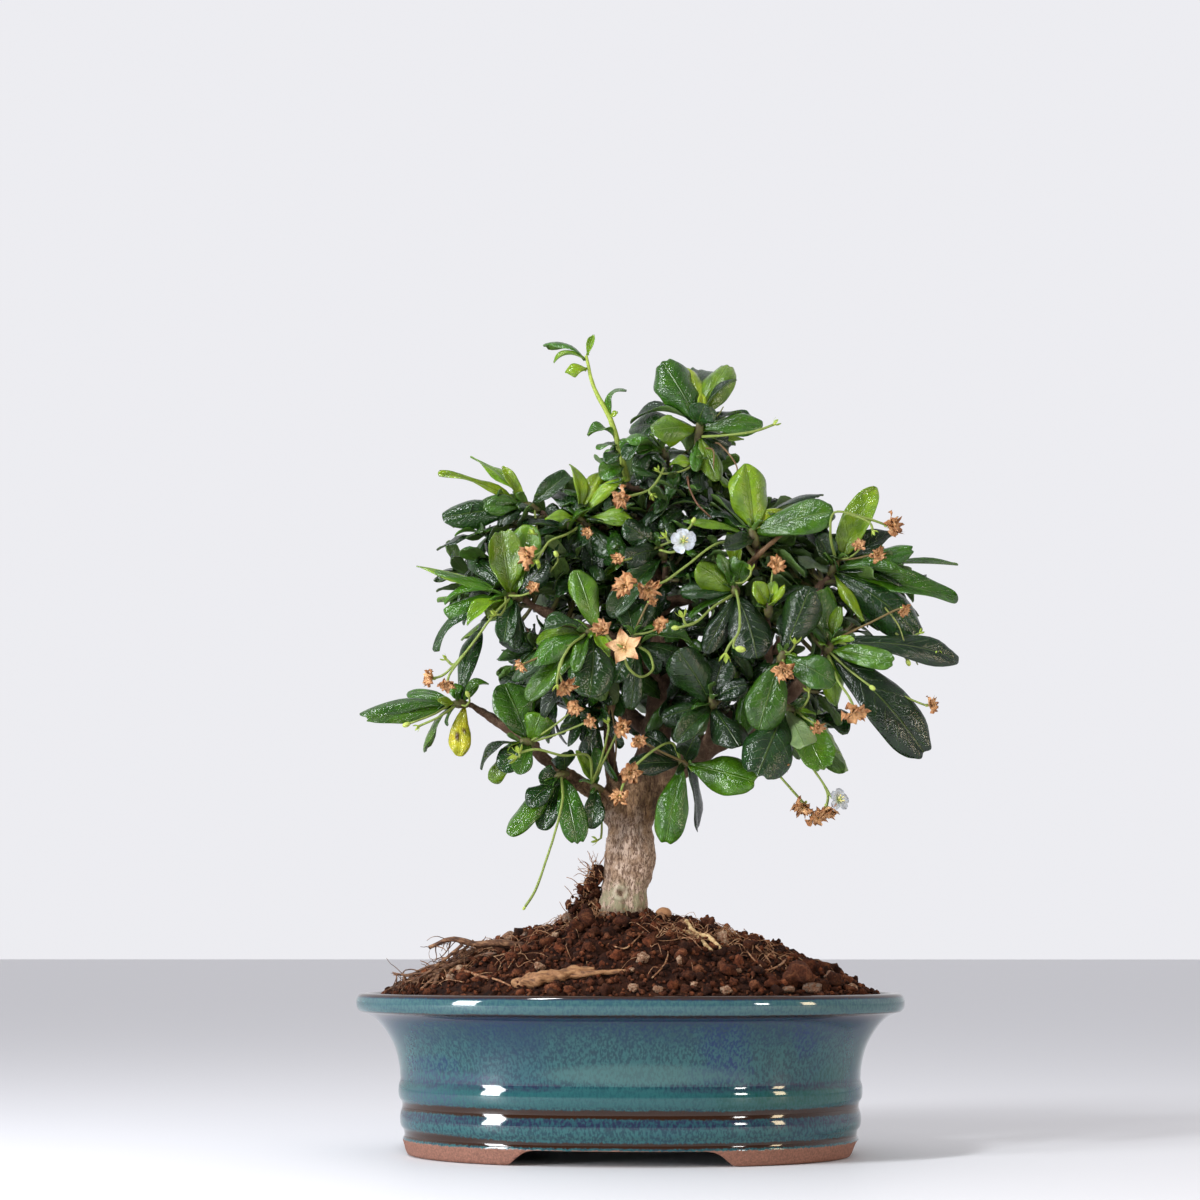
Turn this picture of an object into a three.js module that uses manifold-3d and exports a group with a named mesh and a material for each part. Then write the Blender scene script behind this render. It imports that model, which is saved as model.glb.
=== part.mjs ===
import * as THREE from 'three';
import { mergeVertices } from 'three/addons/utils/BufferGeometryUtils.js';
import Module from 'manifold-3d';

// Fukien tea bonsai in a glazed oval pot. Millimetres, +Z up, the pot's long axis along X.

// Driving dimensions of the pot
const potLength = 200;
const potDepthRatio = 0.78;
const potOvalPower = 2.25;
const potSegments = 26;
const footRecessTop = 5.6;
const footGapTop = 5.2;
const footGapHalfFront = 39;
const footGapHalfSide = 21;
const drainHoleRadius = 7;
const drainHoleAcross = 38;
const potFloor = 10.2;

// Driving dimensions of what the pot holds
const clearance = 0.3;
const facetTolerance = 0.15;
const soilReach = 92;
const soilRimHeight = 55.5;
const soilCrownHeight = 30;
const soilLumpHeight = 1.3;
const meshSide = 20;
const meshThickness = 0.8;
const meshBar = 1.2;
const pebbleRadius = 2.9;

// The tree is laid out as seen from the front: a place is (across, up, depth), and depth slides
// it along the line of sight from an eye this far from the pot's middle.
const eyeDistance = 870;
const eyeHeight = 71;
const eyeAcross = -11;
const treeTurn = THREE.MathUtils.degToRad(4);

// Driving dimensions of leaves and flowers
const bladeThickness = 0.6;
const petioleWidth = 1.1;
const twigTipRadius = 1.2;
const stalkRadius = 0.55;
const stalkGap = 0.75;
const leafClearance = 0.3;
const goldenAngle = THREE.MathUtils.degToRad(137.508);

// Colours
const glazeTeal = 0x3f7f85;
const soilBrown = 0x5a3522;
const barkTan = 0x9a8370;
const rootTan = 0xb08a5c;
const strawRoot = 0xc2a06a;
const darkRoot = 0x4a3527;
const pebbleTan = 0xa5744c;
const meshBlack = 0x22242a;
const leafDark = 0x24481d;
const leafMid = 0x3f7a1e;
const leafLime = 0x8fae2c;
const stalkLime = 0x9bb04a;
const driedTan = 0xc98f63;

const wasm = await Module();
wasm.setup();

// A closed geometry as a solid
function solidOf(geometry) {
  const bare = geometry.clone();
  bare.deleteAttribute('normal');
  bare.deleteAttribute('uv');
  const merged = mergeVertices(bare);
  const index = merged.index.array;
  const triangles = [];
  for (let i = 0; i < index.length; i += 3) {
    const [a, b, c] = [index[i], index[i + 1], index[i + 2]];
    if (a !== b && b !== c && c !== a) triangles.push(a, b, c);
  }
  const mesh = new wasm.Mesh({
    numProp: 3,
    vertProperties: new Float32Array(merged.attributes.position.array),
    triVerts: new Uint32Array(triangles),
  });
  return new wasm.Manifold(mesh);
}

// A solid as a geometry
function geometryOf(solid) {
  const mesh = solid.getMesh();
  const geometry = new THREE.BufferGeometry();
  geometry.setAttribute('position', new THREE.BufferAttribute(mesh.vertProperties, 3));
  geometry.setIndex(new THREE.BufferAttribute(mesh.triVerts, 1));
  geometry.computeVertexNormals();
  return geometry;
}

// Solids joined in one, with needless small facets merged and any enclosed pocket filled
function joined(solids) {
  const together = (whole, solid) => whole.add(solid);
  const body = solids.reduce(together).asOriginal().simplify(facetTolerance);
  return body.decompose().filter((piece) => piece.volume() > 0).reduce(together);
}

// A place given as seen from the front
function sight(across, up, depth) {
  const spread = (eyeDistance + depth) / eyeDistance;
  const x = eyeAcross + (across - eyeAcross) * spread;
  const z = eyeHeight + (up - eyeHeight) * spread;
  return new THREE.Vector3(x, depth, z);
}

// A repeatable draw between 0 and 1 for a numbered piece and a numbered use
function draw(piece, use) {
  const wave = Math.sin(piece * 12.9898 + use * 78.233 + 3.7) * 43758.5453;
  return wave - Math.floor(wave);
}

// Moves every vertex of a geometry
function reshaped(geometry, move) {
  const position = geometry.attributes.position;
  const point = new THREE.Vector3();
  for (let i = 0; i < position.count; i += 1) {
    point.fromBufferAttribute(position, i);
    move(point);
    position.setXYZ(i, point.x, point.y, point.z);
  }
  return geometry;
}

// Turns a round lathed shape into the pot's oval
function toOval(point) {
  const reach = Math.hypot(point.x, point.y);
  if (reach < 1e-6) return;
  const across = Math.abs(point.x / reach) ** potOvalPower;
  const along = Math.abs(point.y / reach) ** potOvalPower;
  const swell = (across + along) ** (-1 / potOvalPower);
  point.x *= swell;
  point.y *= swell * potDepthRatio;
}

function latheUpright(profile, segments) {
  const points = profile.map(([reach, height]) => new THREE.Vector2(reach, height));
  return new THREE.LatheGeometry(points, segments).rotateX(Math.PI / 2);
}

// A round limb that tapers along a smooth path, closed at both ends
function limb(path, radii, sides, steps) {
  const curve = new THREE.CatmullRomCurve3(path, false, 'centripetal');
  const frames = curve.computeFrenetFrames(steps, false);
  const shape = new THREE.CylinderGeometry(1, 1, 1, sides, steps);
  return reshaped(shape, (point) => {
    const part = THREE.MathUtils.clamp(point.y + 0.5, 0, 1);
    const step = Math.round(part * steps);
    const at = curve.getPointAt(part);
    const place = part * (radii.length - 1);
    const low = Math.min(Math.floor(place), radii.length - 2);
    const radius = THREE.MathUtils.lerp(radii[low], radii[low + 1], place - low);
    const side = frames.binormals[step].clone().multiplyScalar(point.x * radius);
    const front = frames.normals[step].clone().multiplyScalar(point.z * radius);
    point.copy(at.add(side).add(front));
  });
}

// Pot: one fired piece with a flared rim, a raised belt, two grooves and four feet
const potProfile = [
  [0, footRecessTop], [72, footRecessTop], [73.5, 0], [80.8, 0], [82.4, 5.6], [81.7, 6.2],
  [81.7, 8.9], [83, 9.6], [83.4, 15], [82.6, 15.6], [82.6, 18.6], [84.1, 19.3], [84.2, 24.6],
  [83.4, 25.4], [83.8, 31], [85.8, 38], [90, 45], [96.6, 50], [99.6, 51], [potLength / 2, 55.4],
  [98.6, 57], [94.6, 56.6], [93.2, 54], [86, 46.5], [80.5, 38], [78.4, 30], [77.4, 18],
  [74.5, 11.5], [72, potFloor], [0, potFloor],
];

function footGap(half, alongX) {
  const slope = 3;
  const outline = new THREE.Shape([
    new THREE.Vector2(-half, -1), new THREE.Vector2(half, -1),
    new THREE.Vector2(half - slope / 2, slope), new THREE.Vector2(half - 2 * slope, footGapTop),
    new THREE.Vector2(2 * slope - half, footGapTop), new THREE.Vector2(slope / 2 - half, slope),
  ]);
  const gap = new THREE.ExtrudeGeometry(outline, { depth: 2 * potLength, bevelEnabled: false });
  gap.translate(0, 0, -potLength).rotateX(Math.PI / 2);
  return alongX ? gap.rotateZ(Math.PI / 2) : gap;
}

function makePot() {
  let pot = solidOf(reshaped(latheUpright(potProfile, potSegments), toOval));
  pot = pot.subtract(solidOf(footGap(footGapHalfFront, false)));
  pot = pot.subtract(solidOf(footGap(footGapHalfSide, true)));
  for (const side of [-1, 1]) {
    const hole = new THREE.CylinderGeometry(drainHoleRadius, drainHoleRadius, 3 * potFloor, 16);
    hole.rotateX(Math.PI / 2).translate(side * drainHoleAcross, 0, potFloor);
    pot = pot.subtract(solidOf(hole));
  }
  return geometryOf(pot.asOriginal().simplify(facetTolerance / 4));
}

// A plastic screen with four square openings, lying over a drain hole
function makeDrainMesh(side) {
  const cell = (meshSide - 3 * meshBar) / 2;
  let screen = solidOf(new THREE.BoxGeometry(meshSide, meshSide, meshThickness));
  for (const [right, up] of [[-1, -1], [1, -1], [1, 1], [-1, 1]]) {
    const opening = new THREE.BoxGeometry(cell, cell, 3 * meshThickness);
    opening.translate(right * (cell + meshBar) / 2, up * (cell + meshBar) / 2, 0);
    screen = screen.subtract(solidOf(opening));
  }
  const height = potFloor + clearance + meshThickness / 2;
  return geometryOf(screen).translate(side * drainHoleAcross, 0, height);
}

// Soil: a mound with lumps, filling the pot and standing above its rim
const soilSide = [
  [0, potFloor + clearance], [71.2, potFloor + clearance], [74, 11.9], [76.8, 18.2],
  [77.9, 30.2], [80, 38.2], [85.5, 46.8], [91.6, 53.4],
];
const soilRings = [0.985, 0.93, 0.85, 0.75, 0.63, 0.5, 0.36, 0.22, 0.1, 0];
const clumpPlace = { x: -14.5, y: 2, height: 13, spread: 5.2 };

function soilTop(x, y) {
  const rho = Math.min(1, Math.hypot(x, y / potDepthRatio) / soilReach);
  const mound = soilCrownHeight * (1 - rho ** 1.6);
  const away = ((x - clumpPlace.x) ** 2 + (y - clumpPlace.y) ** 2) / clumpPlace.spread ** 2;
  const clump = clumpPlace.height * Math.exp(-away);
  const lumps = Math.sin(x * 0.37 + y * 0.21) * Math.cos(y * 0.41 - x * 0.13)
    + Math.sin(x * 0.71 - y * 0.63 + 1.3) * 0.6;
  return soilRimHeight + mound + clump + soilLumpHeight * lumps * (1 - rho ** 6);
}

function makeSoil(cuts) {
  const top = soilRings.map((ring) => [ring * soilReach, soilRimHeight + 1]);
  const soil = reshaped(latheUpright([...soilSide, ...top], potSegments), toOval);
  reshaped(soil, (point) => {
    if (point.z > soilRimHeight) point.z = soilTop(point.x, point.y);
  });
  let solid = solidOf(soil);
  for (const side of [-1, 1]) {
    const seat = new THREE.BoxGeometry(meshSide + 0.6, meshSide + 0.6, 2 * meshThickness + 0.6);
    seat.translate(side * drainHoleAcross, 0, potFloor + clearance + 0.2);
    solid = solid.subtract(solidOf(seat));
  }
  for (const cut of cuts) {
    solid = solid.subtract(solidOf(cut.rotateZ(treeTurn)));
  }
  return geometryOf(solid.asOriginal().simplify(facetTolerance));
}

// Trunk stations: across, up, half width, half depth
const trunkStations = [
  [-2, 66, 9, 9], [-2.5, 78, 10.5, 10], [-3, 88, 9.5, 9.6], [-2.3, 94, 8.6, 9],
  [-0.9, 99, 9.3, 9], [0.1, 105, 9.6, 9], [0, 111, 9, 8.6], [-0.1, 117, 7.9, 8],
  [-0.9, 122, 9.8, 8.6], [0.6, 127, 10, 8.8], [2, 132, 10.6, 8.8], [3.2, 137, 9.6, 7.6],
];
const trunkSides = 12;

function makeTrunkBase(grow) {
  const steps = trunkStations.length - 1;
  const shape = new THREE.CylinderGeometry(1, 1, 1, trunkSides, steps);
  return reshaped(shape, (point) => {
    const step = Math.round((point.y + 0.5) * steps);
    const [across, up, halfWidth, halfDepth] = trunkStations[step];
    const ridge = 1 + 0.05 * Math.sin(4 * Math.atan2(point.z, point.x) + up * 0.11);
    const x = point.x * (halfWidth + grow) * ridge;
    const y = -point.z * (halfDepth + grow) * ridge;
    point.set(across + x, y, step === 0 ? up - grow : up);
  });
}

const buriedRoots = [20, 110, 205, 290];

function makeBuriedRoot(angle, grow) {
  const turn = THREE.MathUtils.degToRad(angle);
  const out = (reach, height) => new THREE.Vector3(
    reach * Math.cos(turn) - 2, reach * Math.sin(turn) * potDepthRatio, height);
  const path = [out(2, 78), out(17, 64), out(38, 46)];
  const onward = path[2].clone().sub(path[1]).normalize();
  path[2].addScaledVector(onward, 2 * grow);
  return limb(path, [5, 3.6, 1.6].map((radius) => radius + 2 * grow), 5, 2);
}

// Woody limbs inside the crown, each a path of places with radii from root to tip
const woodLimbs = [
  { path: [[3, 132, 0], [8, 143, 1], [11, 158, 0], [12, 178, 0], [11, 205, 1], [6, 226, 2], [9, 241, 0],
    [16, 249, -3], [20, 252.5, -5]], radii: [7, 5.6, 5, 4.2, 3.4, 2.8, 2.2, 1.6] },
  { path: [[5, 131, 0], [16, 138.5, 0], [27, 146, -3], [46, 157, -6], [60, 167, -10], [68, 176, -16]],
    radii: [6.5, 5.2, 4, 3.2, 2.4] },
  { path: [[-5, 130, 0], [-7.3, 142, -3], [-7.6, 158, -6], [-6, 174, -12]], radii: [3, 2.1, 2, 1.8] },
  { path: [[-2, 123, 2], [-14, 131, -3], [-27, 139, -6], [-40, 150, -8], [-52, 158.5, -10]],
    radii: [4.4, 3.2, 2.4, 1.9, 1.8] },
  { path: [[12, 170, 0], [-2, 186, -5], [-18, 192, -9], [-32, 198, -13]], radii: [3, 2.6, 2.4, 2.2] },
  { path: [[11, 200, 1], [24, 204, -5], [38, 209, -10], [46, 215, -14]], radii: [2.8, 2.2, 1.9, 1.6] },
  { path: [[44, 156, -6], [52, 176, -4], [62, 196, -6], [70, 206, -9]], radii: [2.8, 2.3, 2.1, 2] },
  { path: [[9, 232, 1], [-6, 232, -1], [-20, 233, -3], [-28, 234, -5]], radii: [2.2, 1.8, 1.5, 1.3] },
  { path: [[11, 150, 0], [-8, 166, 12], [-24, 180, 20], [-38, 190, 26]], radii: [3.4, 2.8, 2.2, 1.6] },
  { path: [[12, 170, 0], [20, 184, 14], [24, 200, 24], [24, 216, 30]], radii: [3.2, 2.6, 2.1, 1.6] },
  { path: [[30, 148, -3], [40, 160, 12], [56, 172, 22], [70, 182, 26]], radii: [2.8, 2.4, 2, 1.6] },
];

// Leafy sprays. branch leads from the wood to the green stem, and stem is that stem's own path.
// A leaf is [place along the stem, tip across, tip up, tip depth, width, turn, arch]: turn is how
// far its upper face turns from the viewer to the sky, in degrees, and arch is its rise midway.
// A leaf that ends in 'teeth' has a toothed tip, and fill is the number of leaves set by rule.
const sprays = [
  { name: 'spray_top_shoot', tone: leafMid, fill: 1,
    branch: [[11, 243.5, -1], [5, 245, -3]],
    stem: [[-0.5, 248, -6], [-3.5, 260, -7], [-7, 272, -8], [-13.5, 285, -9], [-16.3, 297, -9]],
    leaves: [
      [1, -13.5, 305.5, -9, 3, 10, 0.4], [0.97, -29.5, 295, -9, 4, 65, 2.5],
      [0.9, -25, 291.5, -12, 6, 35, 1.5], [0.5, -1.5, 286, -9, 6, 60, 4],
      [0.5, -4.5, 275, -11, 2.5, 20, 0.4], [0.35, -15.5, 265.5, -12, 7, 60, 3],
      [0.28, -12.5, 261, -13, 5, 50, 1], [0.22, -8.5, 255.5, -14, 6, 20, 1.5],
      [0.12, -11, 250, -13, 8, 15, 1.5], [0.3, 0.5, 262, -11, 6, 30, 1.5],
    ] },
  { name: 'spray_crown', tone: leafMid, fill: 1,
    branch: [[20, 252.5, -5], [24, 257.5, -8]],
    stem: [[26, 262, -10], [26.5, 267, -12], [27, 273, -13]],
    leaves: [
      [0.9, 13, 294, -14, 16, 5, 2.5, 'teeth'], [0.95, 18.5, 293.5, -7, 12, 10, 1.5],
      [1, 27, 294, -2, 10, 10, 1], [0.9, 36.5, 295.5, -12, 13, 12, 2, 'teeth'],
      [0.9, 41, 288, -16, 5, 72, 2.5], [0.6, 8.5, 268.5, -22, 12, 15, 1.5],
      [0.8, 28.5, 282.5, -17, 4.5, 20, 0.6], [0.7, 29, 278, -24, 11, 20, 2],
      [0.6, 51, 272, -14, 9, 25, 1.5], [0.7, 46, 275, -6, 6, 60, 1.5],
      [0.4, 40, 263.5, -20, 5, 40, 1.5], [0.4, 43.5, 264, -12, 4, 20, 0.5],
      [0.8, -1, 275, -4, 7, 68, 3], [0.5, -1.5, 272, 2, 11, 15, 1],
      [0.3, 33, 248, -15, 8, 10, 1], [0.35, 38.5, 258, -6, 7, 15, 1], [0.2, 25, 252, -13, 5, 20, 0.6],
    ] },
  { name: 'spray_crown_left', tone: leafDark, fill: 1,
    branch: [[16, 249, -3], [15.5, 252, -3]],
    stem: [[14.3, 255.5, -4], [13.5, 258, -6.5], [12.5, 261, -8]],
    leaves: [
      [0.9, -1.5, 264, -10, 8, 62, 4], [0.8, -1.5, 256, -14, 8, 62, 5],
      [0.6, 0, 253.5, -16, 7, 60, 3], [0.9, 12.5, 270, -3, 5, 30, 0.6],
      [0.4, 2, 249.5, -16, 8, 20, 1], [0.3, 0, 245, -12, 7, 15, 1],
      [0.3, 9, 244.5, -15, 6, 10, 0.8], [0.7, 3, 259, -15, 6, 45, 2],
    ] },
  { name: 'spray_crown_right', tone: leafMid, fill: 1,
    branch: [[20, 252.5, -5], [22.5, 252, -6]],
    stem: [[24.8, 252.5, -8.5], [26, 253.5, -11], [26.5, 255.5, -13.5]],
    leaves: [
      [0.9, 21, 265.5, -17, 5, 20, 0.8], [0.6, 38.5, 246.5, -16, 5, 62, 1],
      [0.7, 34.5, 249.3, -19, 5, 55, 1], [0.7, 15.5, 256, -18, 6, 50, 1.5],
      [0.5, 27, 244.5, -15, 7, 20, 0.8], [0.5, 15, 244.8, -12, 8, 25, 1],
    ] },
  { name: 'spray_left_tip', tone: leafLime, fill: 1,
    branch: [[-28, 234, -5], [-31, 235, -6]],
    stem: [[-34, 236.5, -7], [-37, 238, -8], [-40.5, 240, -9]],
    leaves: [
      [1, -72.5, 250.5, -14, 6, 55, 2.5], [0.95, -48.5, 253.5, -12, 4.5, 15, 0.6],
      [0.8, -60, 257, -8, 7, 50, 2.5], [0.8, -55.5, 242, -16, 6, 50, 2],
      [0.9, -54.5, 238, -18, 8, 20, 1], [0.8, -70.5, 233.5, -14, 11, 12, 1.5],
      [0.6, -49.5, 233, -18, 6, 45, 1], [0.3, -42, 239, -18, 5, 30, 0.6],
      [0.5, -22.5, 250.5, -6, 8, 15, 1],
    ] },
  { name: 'spray_left_middle', tone: leafMid, fill: 1, shoots: 1,
    branch: [[-6, 232, -1], [-10, 230, -4]],
    stem: [[-14, 230, -8], [-16.5, 231.5, -10], [-19.5, 234, -12]],
    leaves: [
      [1, -21.5, 255.5, -10, 6, 40, 3], [1, -9, 255, -10, 6, 25, 1.5],
      [0.9, -1.5, 252, -16, 5, 25, 1.5], [0.9, -32, 234.5, -18, 6, 35, 1.5],
      [0.6, 2.5, 234, -17, 7, 35, 2.5], [0.5, -6, 220, -18, 9, 15, 1],
      [0.4, -24, 221, -14, 9, 15, 1], [0.8, -28, 246, -4, 7, 20, 1],
      [0.3, -14, 212, -14, 9, 15, 1],
    ] },
  { name: 'spray_left_knob', tone: leafMid, fill: 1,
    branch: [[-32, 198, -13], [-36.5, 200.5, -14.5]],
    stem: [[-40.5, 203, -16], [-43, 203.8, -17.5], [-46.5, 204.3, -20]],
    leaves: [
      [0.7, -49, 228.5, -24, 13, 8, 1.5, 'teeth'], [0.5, -38, 231, -20, 13, 8, 1.5],
      [0.9, -70.5, 202.5, -22, 7, 62, 3.5], [0.95, -67, 202, -16, 6, 50, 1],
      [0.9, -70, 199.5, -26, 8, 40, 1.5], [0.95, -62, 195.5, -28, 6, 45, 1],
      [0.9, -78, 187, -24, 7, 60, 4], [0.9, -53.5, 195.5, -30, 5, 35, 0.6],
      [0.8, -80, 214.5, -14, 6, 65, 1.5], [0.8, -73.5, 212.5, -20, 7, 45, 1.5],
      [0.7, -60, 221.5, -12, 8, 25, 1], [0.5, -47.5, 187, -24, 8, 10, 1],
      [0.4, -43, 184, -20, 7, 12, 1], [0.3, -30, 216.5, -22, 10, 15, 1.5],
    ] },
  { name: 'spray_left_arm', tone: leafDark, fill: 1,
    branch: [[-52, 158.5, -10], [-57, 161.5, -12]],
    stem: [[-60.5, 163, -14], [-63, 163.3, -15.5], [-66.5, 163.5, -17]],
    leaves: [
      [0.8, -101, 160.5, -20, 8, 52, 3.5], [0.8, -98, 157, -26, 8, 25, 1, 'teeth'],
      [0.25, -64.5, 143.8, -19, 8, 10, 0.8], [0.5, -57.5, 193.5, -12, 8, 20, 1.5],
      [0.6, -65.5, 171, -18, 5.5, 20, 0.6], [0.3, -57.5, 172.5, -14, 4.5, 20, 0.5],
      [0.9, -71, 165, -24, 4, 30, 0.5], [0.9, -79, 164, -12, 4.5, 60, 0.8],
      [0.3, -52.5, 172, -17, 5, 50, 2.5], [0.8, -84, 168, -10, 6, 50, 2],
    ] },
  { name: 'spray_left_lower', tone: leafDark, fill: 1, shoots: 1,
    branch: [[-34, 144.6, -7], [-34.5, 147, -12]],
    stem: [[-36, 148.5, -17], [-38, 149, -19.5], [-41, 149, -21]],
    leaves: [
      [0.4, -47, 170.5, -20, 16, 10, 2], [0.3, -33, 158.8, -27, 11, 5, 1],
      [0.8, -56, 138.8, -24, 7, 62, 5], [0.7, -48.5, 139, -26, 9, 15, 1.2],
      [0.9, -53, 134.8, -20, 7, 20, 0.8], [0.4, -40.5, 137.3, -29, 8, 25, 1],
    ] },
  { name: 'spray_left_low', tone: leafDark, fill: 1, shoots: 1,
    branch: [[-16, 132, -3.5], [-20, 136, -8]],
    stem: [[-23, 137.5, -12], [-25.5, 137, -14], [-28, 135.5, -16]],
    leaves: [
      [0.3, -33.5, 134.3, -22, 8, 15, 1], [0.6, -37.5, 125.5, -22, 9, 35, 1.5],
      [0.8, -44.2, 114, -20, 9, 12, 1.2], [0.6, -32, 116.2, -18, 9, 15, 1.2],
      [0.4, -20, 112.3, -22, 11, 10, 1, 'teeth'], [0.3, -24.5, 145, -20, 9, 15, 0.8],
    ] },
  { name: 'spray_trunk_left', tone: leafDark, fill: 0,
    branch: [[-4, 127, -4], [-8, 129, -7.5]],
    stem: [[-10.5, 131, -10], [-12.5, 132, -12], [-14, 133.5, -14]],
    leaves: [
      [0.6, -14, 117, -17, 8, 12, 0.8], [0.9, -12, 147, -18, 5, 25, 0.8],
      [0.8, -19.5, 146, -21, 5, 25, 0.6], [0.9, -14.5, 160.5, -13, 8, 15, 1],
    ] },
  { name: 'spray_middle_left', tone: leafMid, fill: 1, shoots: 1,
    branch: [[-6, 174, -12], [-7, 184, -22]],
    stem: [[-11, 190.5, -30], [-13.5, 190.5, -33], [-16.5, 190, -36]],
    leaves: [
      [0.3, -19, 214.5, -34, 10.5, 8, 1.5], [0.8, -37.8, 178.5, -42, 10, 38, 4],
      [0.6, -7, 181, -44, 4.5, 20, 0.6], [0.9, -21.5, 177, -46, 6, 20, 1],
      [0.5, -14, 165.5, -42, 17, 8, 2], [0.9, -36.8, 164, -38, 11, 25, 2.5],
      [0.9, -32, 192, -38, 7, 55, 2.5], [0.8, -46.5, 174.5, -28, 8, 35, 2],
      [0.7, -32.2, 158, -30, 7, 30, 2],
    ] },
  { name: 'spray_middle', tone: leafDark, fill: 1, shoots: 1,
    branch: [[12, 168, -1], [8, 178, -12]],
    stem: [[3.5, 184, -21], [2.5, 186.5, -24], [1.5, 189.5, -27]],
    leaves: [
      [0.4, 24.5, 189, -30, 8, 55, 3], [0.3, 22, 181.5, -26, 8, 30, 1.5],
      [0.9, -1, 200.8, -24, 11, 12, 1], [0.3, 12, 175.5, -27, 7, 15, 0.8],
      [0.4, 1.5, 161, -22, 8, 12, 1], [0.8, 8, 204, -22, 8, 15, 1], [0.4, -6, 172, -28, 8, 15, 1],
    ] },
  { name: 'spray_upper_middle', tone: leafDark, fill: 1, shoots: 1,
    branch: [[11, 203, 1], [13.5, 212, -7]],
    stem: [[13, 218, -14], [12.5, 220.5, -16], [11, 223, -18]],
    leaves: [
      [0.3, -6.5, 196, -26, 10, 20, 2.5], [0.5, 10, 238.8, -14, 11, 12, 1.2],
      [0.8, -2, 232, -22, 10, 15, 1.5], [0.7, 20.5, 236, -12, 9, 15, 1],
      [0.9, 0, 219, -30, 9, 15, 1], [0.3, 28.5, 228, -14, 8, 15, 1],
    ] },
  { name: 'spray_right_upper', tone: leafLime, fill: 1, shoots: 1,
    branch: [[46, 215, -14], [48, 219, -16]],
    stem: [[48, 222.5, -18], [47.2, 226, -19.5], [46, 230, -20]],
    leaves: [
      [0.9, 43.5, 255, -22, 16, 10, 1.5, 'teeth'], [0.8, 30.5, 242.3, -14, 6, 60, 1],
      [0.7, 24, 236, -10, 8, 35, 1], [0.6, 20.5, 232, -22, 5, 55, 2.5],
      [0.7, 77, 236.5, -26, 14, 20, 2.5], [0.9, 79, 240.5, -14, 9, 30, 2.5],
      [0.95, 73.5, 244.3, -9, 6, 68, 3], [0.9, 58.5, 238.5, -17, 6, 20, 0.8],
      [0.5, 36, 222, -27, 8, 15, 1.2],
    ] },
  { name: 'spray_right_inner', tone: leafDark, fill: 1, shoots: 1,
    branch: [[31, 206, -7.5], [37, 203.5, -16]],
    stem: [[40, 203.5, -22], [40, 206, -24.5], [39.5, 209, -26.5]],
    leaves: [
      [0.6, 42.5, 217.5, -31, 10, 12, -1.5], [0.4, 26, 216.5, -30, 11, 15, 1.5],
      [0.3, 49, 181, -34, 16, 8, 2.5], [0.3, 29, 182, -30, 8, 10, 1.2],
      [0.5, 19, 206, -26, 8, 25, 1.2], [0.4, 21.5, 197, -32, 5, 50, 1.5],
      [0.9, 38.5, 228, -26, 6, 20, 1], [0.9, 34, 220, -32, 4, 30, 0.6],
    ] },
  { name: 'spray_right_centre', tone: leafMid, fill: 1,
    branch: [[52, 176, -4], [52.5, 188, -16]],
    stem: [[52, 196, -25], [52.3, 198.5, -28], [52.5, 201.5, -30]],
    leaves: [
      [0.8, 47, 209.5, -34, 7, 20, 1], [0.9, 54.5, 210, -32, 6, 20, 1],
      [0.9, 58.5, 208, -36, 3, 30, 0.4], [0.8, 70.5, 206, -22, 9, 40, 2.5],
    ] },
  { name: 'spray_right_low', tone: leafMid, fill: 1,
    branch: [[46, 157, -6], [53, 171, -21]],
    stem: [[56, 178, -30], [57, 180.5, -32.5], [58, 183.5, -34.5]],
    leaves: [
      [0.8, 69, 207, -38, 14, 10, 2], [0.3, 47, 154.3, -40, 15, 5, 2],
      [0.6, 77, 172.5, -42, 13, 10, 1.5],
    ] },
  { name: 'spray_right_cup', tone: leafMid, fill: 1, shoots: 1,
    branch: [[68, 176, -16], [71, 179, -20]],
    stem: [[73.5, 181.5, -24], [74.5, 184, -26], [75.5, 187, -28]],
    leaves: [
      [0.7, 72, 205.8, -32, 14, 10, -2], [0.9, 79, 200, -31, 5, 30, 1],
      [0.5, 99, 179.5, -36, 9, 15, 1, 'teeth'], [0.4, 113, 147, -34, 18, 12, 2.5, 'teeth'],
      [0.3, 78.5, 162, -28, 9, 10, 1], [0.3, 69, 163, -24, 7, 45, 1],
      [0.9, 125.5, 182, -28, 10, 25, 3.5], [0.9, 84.5, 187.5, -34, 4, 30, 0.5],
    ] },
  { name: 'spray_right_top', tone: leafMid, fill: 1,
    branch: [[70, 206, -9], [73, 209.5, -10.5]],
    stem: [[75.5, 212, -12], [77, 214.5, -14], [78.5, 218, -15]],
    leaves: [
      [0.9, 93, 247, -20, 12, 15, 1], [0.6, 71, 227, -18, 8, 20, 1],
      [0.3, 63.5, 219, -16, 6, 40, 0.5], [0.7, 67, 231, -8, 10, 20, 1],
      [0.7, 100, 228.5, -16, 8, 40, 1], [0.6, 107, 221.5, -20, 9, 30, 1.5, 'teeth'],
      [0.8, 89, 224, -10, 8, 25, 1], [0.5, 105, 214, -24, 6, 45, 1, 'teeth'],
      [0.4, 104, 209.5, -18, 7, 55, 2.5], [0.4, 123.5, 216, -16, 6, 60, 2],
      [0.3, 124, 202, -22, 11, 20, 2], [0.3, 110, 192.5, -26, 15, 10, 2, 'teeth'],
      [0.3, 88.5, 194.5, -26, 5, 30, 0.8],
    ] },
  { name: 'spray_centre_right', tone: leafDark, fill: 1, shoots: 1,
    branch: [[27, 146, -3], [30, 154, -13]],
    stem: [[31, 161, -20], [31, 163.5, -22.5], [30.5, 166, -24.5]],
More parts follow.
